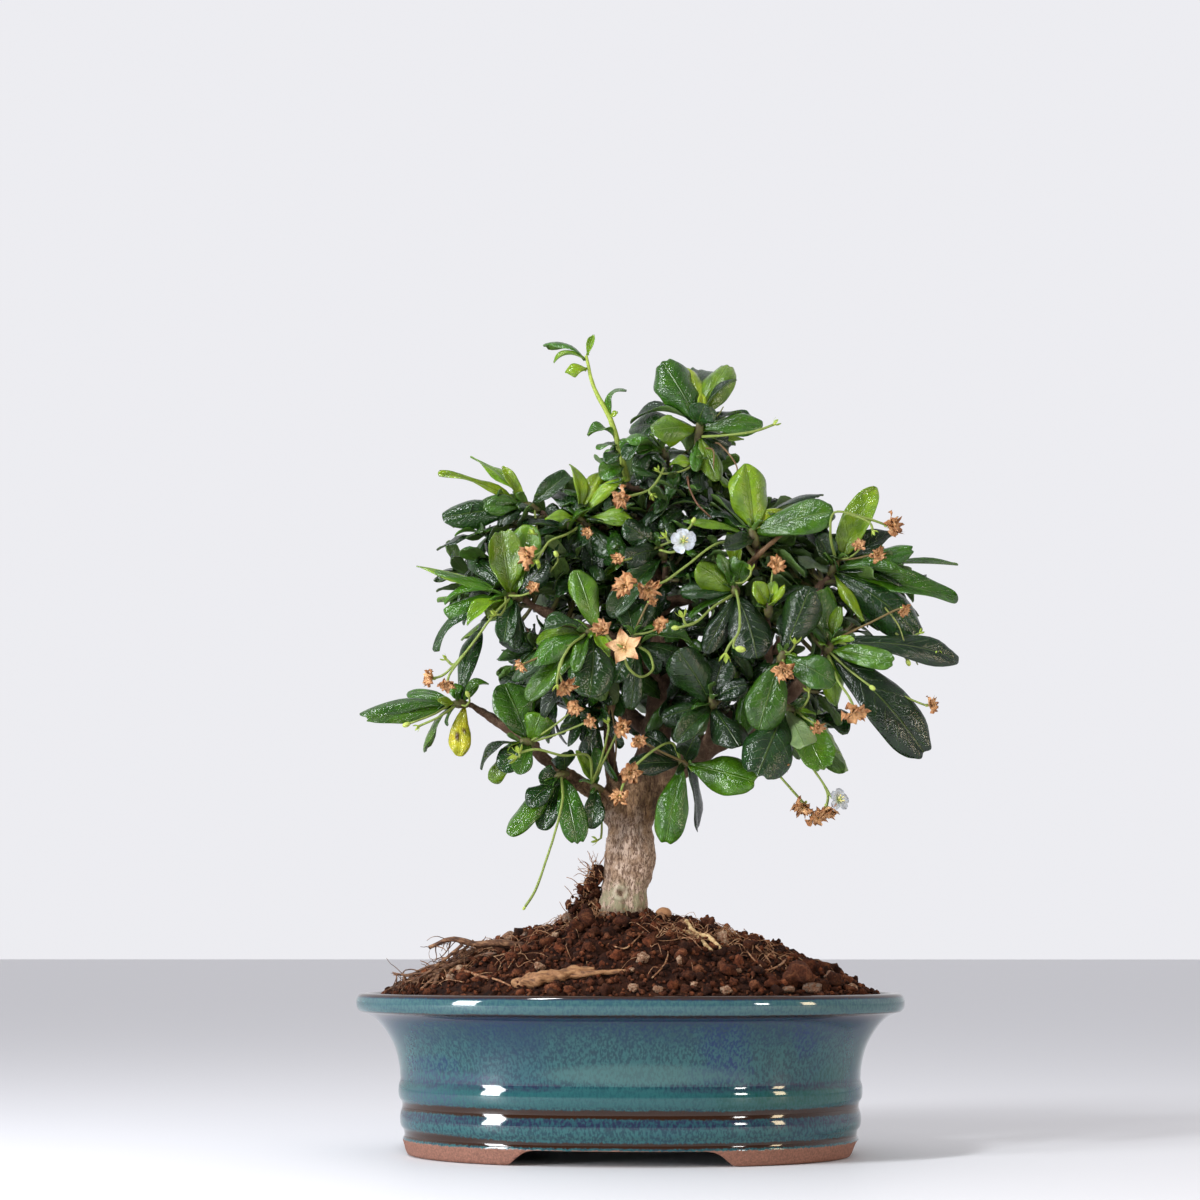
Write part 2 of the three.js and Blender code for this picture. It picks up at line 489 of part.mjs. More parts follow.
    leaves: [
      [0.5, 19, 184, -30, 15, 8, 2], [0.9, 35, 181, -26, 12, 12, 1.5],
      [0.3, 12, 159.5, -28, 9, 18, 1.2], [0.3, 17, 150, -32, 8, 15, 1],
      [0.3, 40, 147, -34, 13, 8, 1.5], [0.8, 44, 171, -30, 9, 30, 1.5],
    ] },
  { name: 'spray_right_bottom', tone: leafMid, fill: 1,
    branch: [[46, 157, -6], [52, 160, -16]],
    stem: [[57, 161.5, -24], [59, 161.5, -26.5], [62, 161, -28]],
    leaves: [
      [0.9, 73, 139.3, -32, 14, 8, 1.5, 'teeth'], [0.3, 49, 137.5, -36, 18, 8, 2, 'teeth'],
      [0.6, 64.5, 146.5, -40, 9, 155, 1],
    ] },
  { name: 'spray_centre_low', tone: leafMid, fill: 1, shoots: 1,
    branch: [[16, 138.5, 0], [17, 140.5, -9]],
    stem: [[18.5, 141, -15], [20, 141.3, -17.5], [22, 141, -20]],
    leaves: [
      [0.8, 46.5, 133.5, -26, 15, 12, 1.5, 'teeth'], [0.3, 13, 112.2, -22, 12, 6, 1, 'teeth'],
      [0.6, 25, 152, -27, 9, 12, 1], [0.3, 0, 141, -29, 9, 20, 1.2], [0.4, 6, 153, -28, 8, 20, 1],
    ] },
  { name: 'spray_rear_left', tone: leafDark, fill: 7,
    branch: [[-38, 190, 26], [-42, 193, 28]], stem: [[-46, 196, 30], [-49, 198, 31], [-52, 200, 32]] },
  { name: 'spray_rear_low_left', tone: leafDark, fill: 7, shoots: 1,
    branch: [[-16, 172.5, 16], [-20, 168, 24]], stem: [[-24, 166, 31], [-27, 166, 34], [-30, 167, 37]] },
  { name: 'spray_rear_upper_left', tone: leafDark, fill: 7, shoots: 1,
    branch: [[-24, 180, 20], [-22, 194, 26]], stem: [[-21, 205, 29], [-21, 208, 30], [-22, 212, 31]] },
  { name: 'spray_rear_top', tone: leafDark, fill: 7, shoots: 1,
    branch: [[6, 226, 2], [4, 232, 10]], stem: [[2, 238, 17], [1, 241, 19], [0, 245, 20]] },
  { name: 'spray_rear_crown', tone: leafDark, fill: 7,
    branch: [[24, 216, 30], [28, 224, 28]], stem: [[31, 231, 26], [32, 234, 25], [33, 238, 24]] },
  { name: 'spray_rear_middle', tone: leafDark, fill: 7, shoots: 1,
    branch: [[20, 184, 14], [14, 194, 30]], stem: [[11, 200, 38], [10, 202, 41], [8, 205, 44]] },
  { name: 'spray_rear_upper_right', tone: leafDark, fill: 7, shoots: 1,
    branch: [[24, 208, 28], [38, 213, 28]], stem: [[48, 216, 28], [51, 217, 28], [55, 219, 28]] },
  { name: 'spray_rear_right', tone: leafDark, fill: 7,
    branch: [[70, 182, 26], [76, 186, 27]], stem: [[81, 190, 28], [84, 192, 28], [87, 195, 28]] },
  { name: 'spray_rear_low_right', tone: leafDark, fill: 7, shoots: 1,
    branch: [[48, 167, 18], [54, 160, 28]], stem: [[58, 156, 34], [60, 155, 37], [62, 155, 40]] },
  { name: 'spray_rear_low', tone: leafDark, fill: 7, shoots: 1,
    branch: [[8, 143, 1], [9, 148, 14]], stem: [[11, 152, 24], [12, 153, 27], [13, 155, 30]] },
];

// A leaf is posed by its base, tip, the way its upper face looks, width, arch and tip form
const fullBlade = { rows: [0, 0.3, 0.62, 0.86, 1], tipWidth: 0.36 };
const smallBlade = { rows: [0, 0.42, 0.8, 1], tipWidth: 0.4 };
const simpleBlade = { rows: [0, 0.64, 1], tipWidth: 0.48 };
const sideToothPlace = 0.96;
const midToothPlace = 1.02;
const midNotchDepth = 0.1;
const widestSwell = 0.575;

// Half width of the blade's outline along its length: narrow at the stalk, widest past the middle
function outlineWidth(along) {
  const swell = along ** 0.95 * (1 - along ** 3.2) ** 0.55;
  return swell / widestSwell;
}

function faceDirection(reach, turn) {
  const viewer = new THREE.Vector3(0, -1, 0);
  const toViewer = viewer.clone().addScaledVector(reach, -viewer.dot(reach)).normalize();
  const toSky = new THREE.Vector3().crossVectors(reach, toViewer).normalize();
  const lift = Math.abs(toSky.z) > 0.15 ? toSky.z : toSky.x;
  if (lift < 0) toSky.negate();
  const angle = THREE.MathUtils.degToRad(turn);
  return toViewer.multiplyScalar(Math.cos(angle)).addScaledVector(toSky, Math.sin(angle));
}

// Point of a blade: along 0 to 1, across -1 to 1, lift above the middle surface
function bladePoint(leaf, along, across, lift) {
  const chord = leaf.tip.clone().sub(leaf.base);
  const length = chord.length();
  const reach = chord.clone().divideScalar(length);
  const side = new THREE.Vector3().crossVectors(leaf.face, reach);
  const slope = 4 * leaf.arch * (1 - 2 * along) / length;
  const normal = leaf.face.clone().addScaledVector(reach, -slope).normalize();
  return leaf.base.clone()
    .addScaledVector(chord, along)
    .addScaledVector(leaf.face, 4 * leaf.arch * along * (1 - along))
    .addScaledVector(side, across)
    .addScaledVector(normal, lift);
}

function makeBlade(leaf, grow) {
  const form = leaf.form;
  const steps = form.rows.length - 1;
  const columns = leaf.teeth ? 2 : 1;
  const shape = new THREE.BoxGeometry(1, 1, 1, steps, columns, 1);
  return reshaped(shape, (point) => {
    const step = Math.round((point.x + 0.5) * steps);
    const across = 2 * point.y;
    let along = form.rows[step];
    let half = Math.max(petioleWidth / 2, outlineWidth(along) * leaf.width / 2);
    if (step === steps) {
      half = form.tipWidth * leaf.width / 2;
      if (leaf.teeth && Math.abs(across) > 0.5) along = sideToothPlace;
      if (leaf.teeth && Math.abs(across) < 0.5) along = leaf.teeth;
      along += grow / leaf.width;
    }
    const fold = leaf.teeth ? Math.abs(across) * 0.07 * half : 0;
    const lift = 2 * point.z * (bladeThickness / 2 + grow) + fold;
    point.copy(bladePoint(leaf, along, across * (half + grow), lift));
  });
}

// A leaf's base lies just inside its stem's skin, on the side that the leaf leaves from
function leafBase(spray, place, toward) {
  const axis = spray.curve.getPointAt(place);
  const heading = spray.curve.getTangentAt(place);
  const outward = toward.clone().sub(axis);
  outward.addScaledVector(heading, -outward.dot(heading)).normalize();
  return axis.addScaledVector(outward, 0.55 * spray.radius);
}

// Other bends for a leaf whose first pose would touch another piece
const depthBends = [0, -2.5, 2.5, -5, 5, -8, 8, -11, 11, -15, 15, 19];
const turnBends = 14;
const bendTurn = 0.47;

function posedLeaf(spray, row, number, bend) {
  const [place, across, up, depth, width, turn, arch, form] = row;
  const tip = sight(across, up, depth + depthBends[bend]);
  const base = leafBase(spray, place, tip);
  const face = faceDirection(tip.clone().sub(base).normalize(), turn);
  const teeth = form ? midToothPlace - midNotchDepth * Math.round(draw(number, 5)) : 0;
  const bladeForm = width < 10 && !teeth ? smallBlade : fullBlade;
  return { base, tip, width, arch, face, teeth, form: bladeForm };
}

// Leaves set by rule go round the stem by the golden angle, the outer ones wider open
function ruledLeaf(spray, order, count, number, bend) {
  const place = 0.35 + 0.62 * (1 - order / count);
  const axis = spray.curve.getTangentAt(place);
  const one = new THREE.Vector3(0.2, 1, 0.1).cross(axis).normalize();
  const two = new THREE.Vector3().crossVectors(axis, one);
  const turn = goldenAngle * order + 2 * Math.PI * draw(spray.number, 1) + bend * bendTurn;
  const open = 0.45 + 0.95 * (order + 0.5) / count + 0.18 * ((bend % 3) - 1);
  const reach = axis.clone().multiplyScalar(Math.cos(open))
    .addScaledVector(one, Math.cos(turn) * Math.sin(open))
    .addScaledVector(two, Math.sin(turn) * Math.sin(open));
  if (spray.leaves && reach.y < 0.25) reach.y = 0.25 + 0.5 * Math.abs(reach.y);
  reach.normalize();
  const length = (15 + 13 * draw(number, 2)) * (1 - 0.035 * bend);
  const width = length * (0.38 + 0.1 * draw(number, 3));
  const base = leafBase(spray, place, spray.curve.getPointAt(place).add(reach));
  const tip = base.clone().addScaledVector(reach, length);
  tip.z -= 0.1 * length;
  reach.copy(tip).sub(base).normalize();
  const up = axis.clone().add(new THREE.Vector3(0, 0, 0.6));
  const face = up.addScaledVector(reach, -up.dot(reach)).normalize();
  const arch = length * (0.05 + 0.09 * draw(number, 4));
  return { base, tip, width, arch, face, teeth: 0, form: simpleBlade };
}

// A side shoot leaves its spray's stem for the inside of the crown and has leaves of its own.
// Its room is a cone that has to be clear of what is already there.
const crownHeart = new THREE.Vector3(12, 8, 200);
const shootRadii = [0.9, 0.8, 0.7];
const shootRoom = [1.4, 3, 6];
const shootBends = 24;
const shootLeaves = 4;

function sideShoot(spray, order, bend) {
  const start = spray.curve.getPointAt(0.3 + 0.3 * order);
  const turn = goldenAngle * bend + 2 * Math.PI * draw(spray.number, 6 + order);
  const depth = spray.leaves ? 0.75 : -0.6;
  const away = new THREE.Vector3(Math.cos(turn), depth, 0.75 * Math.sin(turn));
  away.add(crownHeart.clone().sub(start).normalize().multiplyScalar(0.6)).normalize();
  const length = 16 + 8 * draw(spray.number, 7 + order) - 0.2 * bend;
  const end = start.clone().addScaledVector(away, length);
  const middle = start.clone().lerp(end, 0.5);
  middle.z -= 1.2;
  return [start, middle, end];
}

// Flower stalks: each grows from a spray's stem, and each head sits on a stalk's end
const cymes = [
  { name: 'cyme_star', from: ['spray_middle', 0.3], heads: [
    { kind: 'star', size: 6.4, looks: [0, -1, 0.1],
      path: [[7.5, 182, -32], [8.6, 176, -38], [4, 173.5, -42], [-1, 178, -46], [-2, 184.5, -47]] },
    { kind: 'star', size: 4.2, looks: [-0.4, -0.8, 0.4], branchAt: 1,
      path: [[-6.5, 187, -47.5], [-9.5, 190.5, -47]] },
  ] },
  { name: 'cyme_dried_pair', from: ['spray_right_upper', 0.3], heads: [
    { kind: 'star', size: 4.6, looks: [0.3, -0.8, -0.6],
      path: [[33, 224, -31], [22, 216, -35], [13, 209.5, -38], [6.5, 207.5, -40]] },
    { kind: 'star', size: 4.8, looks: [-0.5, -0.9, 0.1], branchAt: 1,
      path: [[3, 208, -41], [-1, 207.5, -42]] },
  ] },
  { name: 'cyme_white_flower', from: ['spray_upper_middle', 0.7], heads: [
    { kind: 'flower', size: 5.2, looks: [0.15, -1, 0.1],
      path: [[12, 221.5, -25], [17, 221, -31], [20.5, 225, -34]] },
    { kind: 'calyx', size: 3.4, looks: [-0.8, -0.4, 0.5], branchAt: 1,
      path: [[15, 225, -33], [14, 226.5, -33.5]] },
  ] },
  { name: 'cyme_green_pair', from: ['spray_right_inner', 0.7], heads: [
    { kind: 'calyx', size: 4.6, looks: [-0.1, -0.2, -1],
      path: [[40.5, 205, -33], [41.5, 197, -39], [40.8, 190, -41], [37.5, 185.5, -42],
        [36, 182.5, -42]] },
    { kind: 'bud', size: 2, looks: [1, -0.2, -0.2], branchAt: 0.8,
      path: [[39, 184.6, -42.5], [40, 184.2, -42.6]] },
  ] },
  { name: 'cyme_curled', from: ['spray_right_inner', 0.35], heads: [
    { kind: 'calyx', size: 4.2, looks: [-0.3, -0.2, 1],
      path: [[31, 199.5, -34], [25.5, 194.5, -38], [21.5, 193, -39], [20.2, 196, -39.5]] },
    { kind: 'bud', size: 1.5, looks: [-1, 0, 0], branchAt: 0.8,
      path: [[19.5, 192.3, -39], [18.5, 192, -39]] },
  ] },
  { name: 'cyme_right_top', from: ['spray_right_top', 0.8], heads: [
    { kind: 'star', size: 4.6, looks: [1, -0.5, 0],
      path: [[76, 228, -27], [77.5, 236, -31], [89, 234, -32], [98, 231, -32]] },
    { kind: 'calyx', size: 2.6, looks: [0.6, 0, -0.8], branchAt: 0.6,
      path: [[91, 232, -33], [92, 229, -34]] },
  ] },
  { name: 'cyme_crown', from: ['spray_crown', 0.3], heads: [
    { kind: 'calyx', size: 3.6, looks: [0.8, -0.2, 0.6],
      path: [[38, 266, -25], [48, 267.5, -26], [55, 270, -26]] },
  ] },
  { name: 'cyme_hanging_dried', from: ['spray_right_bottom', 0.15], heads: [
    { kind: 'star', size: 4.2, looks: [-0.4, -0.5, -0.8],
      path: [[52, 152, -23], [50, 143, -24], [57, 135, -25], [65, 125.8, -26]] },
    { kind: 'star', size: 4, looks: [0.6, -0.6, -0.5], branchAt: 1,
      path: [[66.5, 124, -25], [68.5, 122.3, -24.5]] },
  ] },
  { name: 'cyme_hanging_white', from: ['spray_right_bottom', 0.5], heads: [
    { kind: 'star', size: 4.4, looks: [0.2, -0.5, -1],
      path: [[61, 148, -31], [69, 138, -34], [73.5, 130, -36], [73, 124.5, -37]] },
    { kind: 'flower', size: 4.4, looks: [0.6, -0.9, 0.3], branchAt: 0.8,
      path: [[75.5, 128, -38], [77.5, 127.5, -39]] },
  ] },
  { name: 'cyme_left_middle', from: ['spray_left_middle', 0.5], heads: [
    { kind: 'star', size: 4.8, looks: [-1, -0.6, -0.1],
      path: [[-24, 227.5, -21], [-30, 225, -24], [-33.5, 220.5, -26], [-37, 219, -27]] },
    { kind: 'calyx', size: 4.4, looks: [-0.3, -0.2, -1], branchAt: 0.8,
      path: [[-34, 219, -27], [-34.5, 218, -27.5]] },
  ] },
  { name: 'cyme_upper_dried', from: ['spray_crown_left', 0.25], heads: [
    { kind: 'star', size: 4.2, looks: [-0.6, -0.7, -0.4],
      path: [[12, 250.5, -20], [8, 245, -23], [2, 242.8, -25], [-2, 242, -26]] },
    { kind: 'calyx', size: 3, looks: [0.4, -0.6, -0.7], branchAt: 0.6,
      path: [[7.5, 244, -24.5], [8.5, 243, -25.5]] },
  ] },
  { name: 'cyme_left_dried', from: ['spray_left_knob', 0.6], heads: [
    { kind: 'calyx', size: 3, looks: [-0.8, -0.2, 0.6],
      path: [[-52, 195.5, -34], [-60, 184.5, -32], [-66, 178, -30], [-68.5, 180, -30]] },
    { kind: 'star', size: 3.4, looks: [-1, -0.5, 0], branchAt: 0.8,
      path: [[-70, 174, -29], [-74, 172.8, -28]] },
    { kind: 'star', size: 3.2, looks: [0, -0.6, -0.8], branchAt: 0.8,
      path: [[-67.5, 174, -30.5], [-68, 171.5, -31]] },
  ] },
  { name: 'cyme_arm_buds', from: ['spray_left_arm', 0.6], heads: [
    { kind: 'calyx', size: 2.6, looks: [-0.7, -0.3, -0.5],
      path: [[-71, 158.5, -24], [-78.5, 155, -25]] },
  ] },
  { name: 'cyme_lower_green', from: ['spray_trunk_left', 0.85], heads: [
    { kind: 'calyx', size: 4, looks: [-0.2, -0.1, 1],
      path: [[-15.5, 144, -25], [-25, 144, -32], [-35, 146.3, -36], [-41, 145, -37]] },
    { kind: 'calyx', size: 4.4, looks: [-1, -0.2, -0.3], branchAt: 1,
      path: [[-41, 143.6, -37.5], [-42, 143.4, -37.5]] },
  ] },
  { name: 'cyme_bare_stalk', from: ['spray_left_low', 0.45], heads: [
    { kind: 'bud', size: 0.9, looks: [-0.6, 0, -0.8],
      path: [[-25, 127, -29], [-27.5, 116, -30], [-31, 105, -30], [-35, 94, -30], [-38.5, 88.3, -30]] },
  ] },
  { name: 'cyme_trunk_dried', from: ['spray_centre_low', 0.35], heads: [
    { kind: 'star', size: 4.2, looks: [0, -0.8, -0.6],
      path: [[16, 148.5, -25], [9, 146, -36], [3, 141, -37], [0.5, 138.5, -37]] },
    { kind: 'star', size: 3.4, looks: [-0.3, -0.9, 0.1], branchAt: 1,
      path: [[-2.5, 133, -35], [-3.5, 128.5, -32]] },
  ] },
  { name: 'cyme_left_hanging', from: ['spray_middle_left', 0.9], heads: [
    { kind: 'star', size: 4, looks: [0.3, -0.7, -0.6],
      path: [[-23, 184, -50], [-26.5, 176, -50], [-24.5, 170.5, -49]] },
    { kind: 'calyx', size: 3.6, looks: [-0.1, -0.2, -1], branchAt: 0.6,
      path: [[-27, 173, -50], [-27, 170.5, -50]] },
  ] },
  { name: 'cyme_right_dried', from: ['spray_right_cup', 0.25], heads: [
    { kind: 'star', size: 4.8, looks: [0.2, -0.6, -0.9],
      path: [[78, 172, -38], [82, 166, -41], [84, 161.5, -42]] },
  ] },
];

// A shallow five-lobed cup: the rim is high and far out at each lobe, low and near between them
function lobedCup(at, looks, size, waist, depth) {
  const cup = new THREE.CylinderGeometry(size, stalkRadius * 1.6, depth, 10, 1);
  const turn = new THREE.Quaternion().setFromUnitVectors(new THREE.Vector3(0, 1, 0), looks);
  return reshaped(cup, (point) => {
    const top = point.y > 0;
    const reach = Math.hypot(point.x, point.z);
    const lobe = Math.round(Math.atan2(point.z, point.x) / (Math.PI / 5)) % 2 === 0;
    if (top && reach > 0 && !lobe) {
      point.x *= waist;
      point.z *= waist;
    }
    if (top && !lobe) point.y -= depth * 0.3;
    if (top && reach === 0) point.y -= depth * 0.55;
    point.y += depth / 2 - 0.35;
    point.applyQuaternion(turn).add(at);
  });
}

function budSolid(at, looks, size) {
  const bud = new THREE.SphereGeometry(size * 0.6, 5, 3).scale(1, 1.7, 1);
  const turn = new THREE.Quaternion().setFromUnitVectors(new THREE.Vector3(0, 1, 0), looks);
  return reshaped(bud.translate(0, size * 0.8, 0), (point) => point.applyQuaternion(turn).add(at));
}

const headMakers = {
  star: (at, looks, size) => lobedCup(at, looks, size, 0.42, size * 0.55),
  flower: (at, looks, size) => lobedCup(at, looks, size, 0.62, size * 0.5),
  calyx: (at, looks, size) => lobedCup(at, looks, size * 0.62, 0.45, size * 1.1),
  bud: budSolid,
};

// Radius of a spray's stem along it: it swells to the middle and thins to the tip
function stemRadius(spray, place) {
  const { lerp } = THREE.MathUtils;
  if (place < 0.5) return lerp(twigTipRadius, spray.radius, 2 * place);
  return lerp(spray.radius, 0.8 * spray.radius, 2 * place - 1);
}

function makeCyme(cyme, spray) {
  const start = spray.curve.getPointAt(cyme.from[1]);
  const main = cyme.heads[0].path.map((place) => sight(...place));
  const away = main[0].clone().sub(start).normalize();
  start.addScaledVector(away, stemRadius(spray, cyme.from[1]) + stalkGap);
  const mainSteps = Math.min(5, 2 * main.length - 3);
  const mainCurve = new THREE.CatmullRomCurve3([start, ...main], false, 'centripetal');
  const solids = [];
  for (const head of cyme.heads) {
    const own = head.path.map((place) => sight(...place));
    const isBranch = head.branchAt !== undefined;
    const knot = isBranch ? Math.round(head.branchAt * mainSteps) / mainSteps : 0;
    const path = [mainCurve.getPointAt(knot), ...own];
    const steps = isBranch ? 1 : mainSteps;
    solids.push(solidOf(limb(path, [stalkRadius, stalkRadius], 3, steps)));
    const looks = new THREE.Vector3(head.looks[0], head.looks[1], head.looks[2]).normalize();
    solids.push(solidOf(headMakers[head.kind](path[path.length - 1], looks, head.size)));
  }
  return solids;
}

// Roots that show on the soil, laid along its surface
function onSoil(x, y, lift) {
  const place = new THREE.Vector3(x, y, 0).applyAxisAngle(new THREE.Vector3(0, 0, 1), treeTurn);
  return new THREE.Vector3(x, y, soilTop(place.x, place.y) + lift);
}

const surfaceRoots = [
  { name: 'surface_root', colour: rootTan, lines: [
    { points: [[-41, -53, 0.2], [-33, -57, 1.2], [-22, -57.5, 1], [-13, -56, 0.4]],
      radii: [1.6, 2.6, 2.3, 1.2] },
    { points: [[-24, -57.5, 0.8], [-12, -58.5, 0.7], [-2, -59, 0.3]], radii: [1.2, 0.9, 0.6] },
  ] },
  { name: 'root_tangle', colour: darkRoot, lines: [
    { points: [[-78, -20, 0.6], [-68, -26, 1.4], [-58, -30, 0.3]], radii: [0.6, 0.9, 0.6] },
    { points: [[-74, -32, 0.5], [-67, -26, 1.6], [-64, -14, 0.6]], radii: [0.6, 0.9, 0.6] },
    { points: [[-70, -36, 0.4], [-66, -27, 1.5], [-52, -24, 0.4]], radii: [0.6, 0.9, 0.6] },
  ] },
  { name: 'straw_root', colour: strawRoot, lines: [
    { points: [[20, -18, 0.5], [23, -25, 1.2], [28, -31, 0.8], [32, -36, 0.4]],
      radii: [0.7, 1, 0.8, 0.6] },
    { points: [[18, -26, 0.4], [23, -25.5, 1.1], [27, -24, 0.5]], radii: [0.7, 0.9, 0.6] },
    { points: [[24, -27, 1], [26, -34, 0.7], [28, -40, 0.3]], radii: [0.8, 0.7, 0.6] },
  ] },
];

function makeSurfaceRoot(root, grow) {
  return root.lines.map((line) => {
    const path = line.points.map(([x, y, lift]) => onSoil(x, y, lift));
    return limb(path, line.radii.map((radius) => radius + grow), 5, 3);
  });
}

const pebblePlace = [12.5, -4, 1.4];

function makePebble(grow) {
  const pebble = new THREE.IcosahedronGeometry(pebbleRadius + grow, 0).scale(1.1, 0.95, 0.85);
  const at = onSoil(...pebblePlace);
  return pebble.translate(at.x, at.y, at.z);
}

// Tests a leaf against what is already placed, by bounding boxes first and then by its solid
const placed = [];

function boxOf(solid) {
  const { min, max } = solid.boundingBox();
  return new THREE.Box3(new THREE.Vector3(...min), new THREE.Vector3(...max));
}

function remember(owner, solid) {
  placed.push({ owner, solid, box: boxOf(solid) });
}

function isClear(leaf, owner) {
  const wide = solidOf(makeBlade(leaf, leafClearance));
  const box = boxOf(wide);
  const near = placed.filter((other) => other.owner !== owner && other.box.intersectsBox(box));
  return near.every((other) => other.solid.intersect(wide).isEmpty());
}

function crossesOwn(leaf, owner) {
  const blade = solidOf(makeBlade(leaf, 0));
  const box = boxOf(blade);
  const own = placed.filter((other) => other.owner === owner && other.leaf);
  const near = own.filter((other) => other.box.intersectsBox(box));
  return near.some((other) => other.solid.intersect(blade).volume() > 4);
}

function placeLeaf(spray, poses) {
  const clear = poses.filter((leaf) => isClear(leaf, spray.name));
  const best = clear.find((leaf) => !crossesOwn(leaf, spray.name)) ?? clear[0];
  if (!best) return false;
  const solid = solidOf(makeBlade(best, 0));
  placed.push({ owner: spray.name, solid, box: boxOf(solid), leaf: true });
  spray.solids.push(solid);
  return true;
}

// Stems and twigs
const trunkLimbs = [makeTrunkBase(0), ...buriedRoots.map((angle) => makeBuriedRoot(angle, 0))];
for (const { path, radii } of woodLimbs) {
  trunkLimbs.push(limb(path.map((place) => sight(...place)), radii, 5, path.length));
}
for (const [number, spray] of sprays.entries()) {
  const stem = spray.stem.map((place) => sight(...place));
  spray.number = number;
  spray.curve = new THREE.CatmullRomCurve3(stem, false, 'centripetal');
  spray.radius = stem.length > 3 ? 1 : 1.8;
  const heading = spray.curve.getTangentAt(0);
  const end = stem[0].clone().addScaledVector(heading, -clearance);
  const before = end.clone().addScaledVector(heading, -2);
  const path = [...spray.branch.map((place) => sight(...place)), before, end];
  trunkLimbs.push(limb(path, [1.8, 1.5, twigTipRadius, twigTipRadius], 4, 3));
  const core = limb(stem, [twigTipRadius, spray.radius, 0.8 * spray.radius], 5, stem.length - 1);
  spray.solids = [solidOf(core)];
}
const trunkSolids = trunkLimbs.map(solidOf);
for (const solid of trunkSolids) remember('trunk', solid);
for (const spray of sprays) remember(spray.name, spray.solids[0]);
const cymeSolids = cymes.map((cyme) => {
  const solids = makeCyme(cyme, sprays.find((spray) => spray.name === cyme.from[0]));
  for (const solid of solids) remember(cyme.name, solid);
  return solids;
});

function hasRoom(path, owner) {
  const room = solidOf(limb(path, shootRoom, 4, 2));
  const box = boxOf(room);
  const near = placed.filter((other) => other.box.intersectsBox(box));
  const others = near.filter((other) => other.owner !== owner || other.leaf);
  return others.every((other) => other.solid.intersect(room).isEmpty());
}

// A side shoot stands in for a spray when its leaves are set, and its solids join that spray's
function growShoot(spray, order) {
  const bends = Array.from({ length: shootBends }, (_, bend) => bend);
  const path = bends.map((bend) => sideShoot(spray, order, bend))
    .find((candidate) => hasRoom(candidate, spray.name));
  if (!path) return;
  const curve = new THREE.CatmullRomCurve3(path, false, 'centripetal');
  const solid = solidOf(limb(path, shootRadii, 4, 2));
  spray.solids.push(solid);
  remember(spray.name, solid);
  const number = spray.number + 0.5 + order;
  spray.grown.push({ name: spray.name, number, curve, radius: shootRadii[2], solids: spray.solids });
}

let leafNumber = 0;
for (const spray of sprays) {
  for (const row of spray.leaves ?? []) {
    leafNumber += 1;
    const number = leafNumber;
    placeLeaf(spray, depthBends.map((_, bend) => posedLeaf(spray, row, number, bend)));
  }
}
for (const spray of sprays) {
  for (let order = 0; order < spray.fill; order += 1) {
    leafNumber += 1;
    const number = leafNumber;
    const bends = Array.from({ length: turnBends }, (_, bend) => bend);
    placeLeaf(spray, bends.map((bend) => ruledLeaf(spray, order, spray.fill, number, bend)));
  }
}
for (const spray of sprays) {
  spray.grown = [];
  for (let order = 0; order < (spray.shoots ?? 0); order += 1) growShoot(spray, order);
}
for (const shoot of sprays.flatMap((spray) => spray.grown)) {
  for (let order = 0; order < shootLeaves; order += 1) {
    leafNumber += 1;
    const number = leafNumber;
    const bends = Array.from({ length: turnBends }, (_, bend) => bend);
    placeLeaf(shoot, bends.map((bend) => ruledLeaf(shoot, order, shootLeaves, number, bend)));
  }
}

// Scene graph
const bonsai = new THREE.Group();
const tree = new THREE.Group();
tree.rotation.z = treeTurn;
bonsai.add(tree);

function addMesh(parent, name, geometry, color, roughness) {
  const material = new THREE.MeshStandardMaterial({ color, roughness, metalness: 0 });
  const mesh = new THREE.Mesh(geometry, material);
  mesh.name = name;
  parent.add(mesh);
}

const soilCuts = [
  makeTrunkBase(clearance),
  ...buriedRoots.map((angle) => makeBuriedRoot(angle, clearance)),
  ...surfaceRoots.flatMap((root) => makeSurfaceRoot(root, clearance)),
  makePebble(clearance),
];
addMesh(bonsai, 'pot', makePot(), glazeTeal, 0.12);
addMesh(bonsai, 'drain_mesh_left', makeDrainMesh(-1), meshBlack, 0.5);
addMesh(bonsai, 'drain_mesh_right', makeDrainMesh(1), meshBlack, 0.5);
addMesh(bonsai, 'soil', makeSoil(soilCuts), soilBrown, 0.95);
addMesh(tree, 'trunk', geometryOf(joined(trunkSolids)), barkTan, 0.85);
for (const root of surfaceRoots) {
  const solid = joined(makeSurfaceRoot(root, 0).map(solidOf));
  addMesh(tree, root.name, geometryOf(solid), root.colour, 0.8);
}
addMesh(tree, 'pebble', geometryOf(solidOf(makePebble(0))), pebbleTan, 0.8);
for (const spray of sprays) {
  addMesh(tree, spray.name, geometryOf(joined(spray.solids)), spray.tone, 0.4);
}
for (const [number, cyme] of cymes.entries()) {
  const dried = cyme.heads[0].kind === 'star';
  addMesh(tree, cyme.name, geometryOf(joined(cymeSolids[number])), dried ? driedTan : stalkLime, 0.6);
}

// The origin is at the middle of the whole object's footprint, on the surface it stands on
bonsai.updateMatrixWorld(true);
const bounds = new THREE.Box3().setFromObject(bonsai);
const middle = bounds.getCenter(new THREE.Vector3());
bonsai.position.set(-middle.x, -middle.y, -bounds.min.z);

export default bonsai;
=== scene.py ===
import math
import random

import bmesh
import bpy
from mathutils import Matrix, Vector, noise
from mathutils.kdtree import KDTree


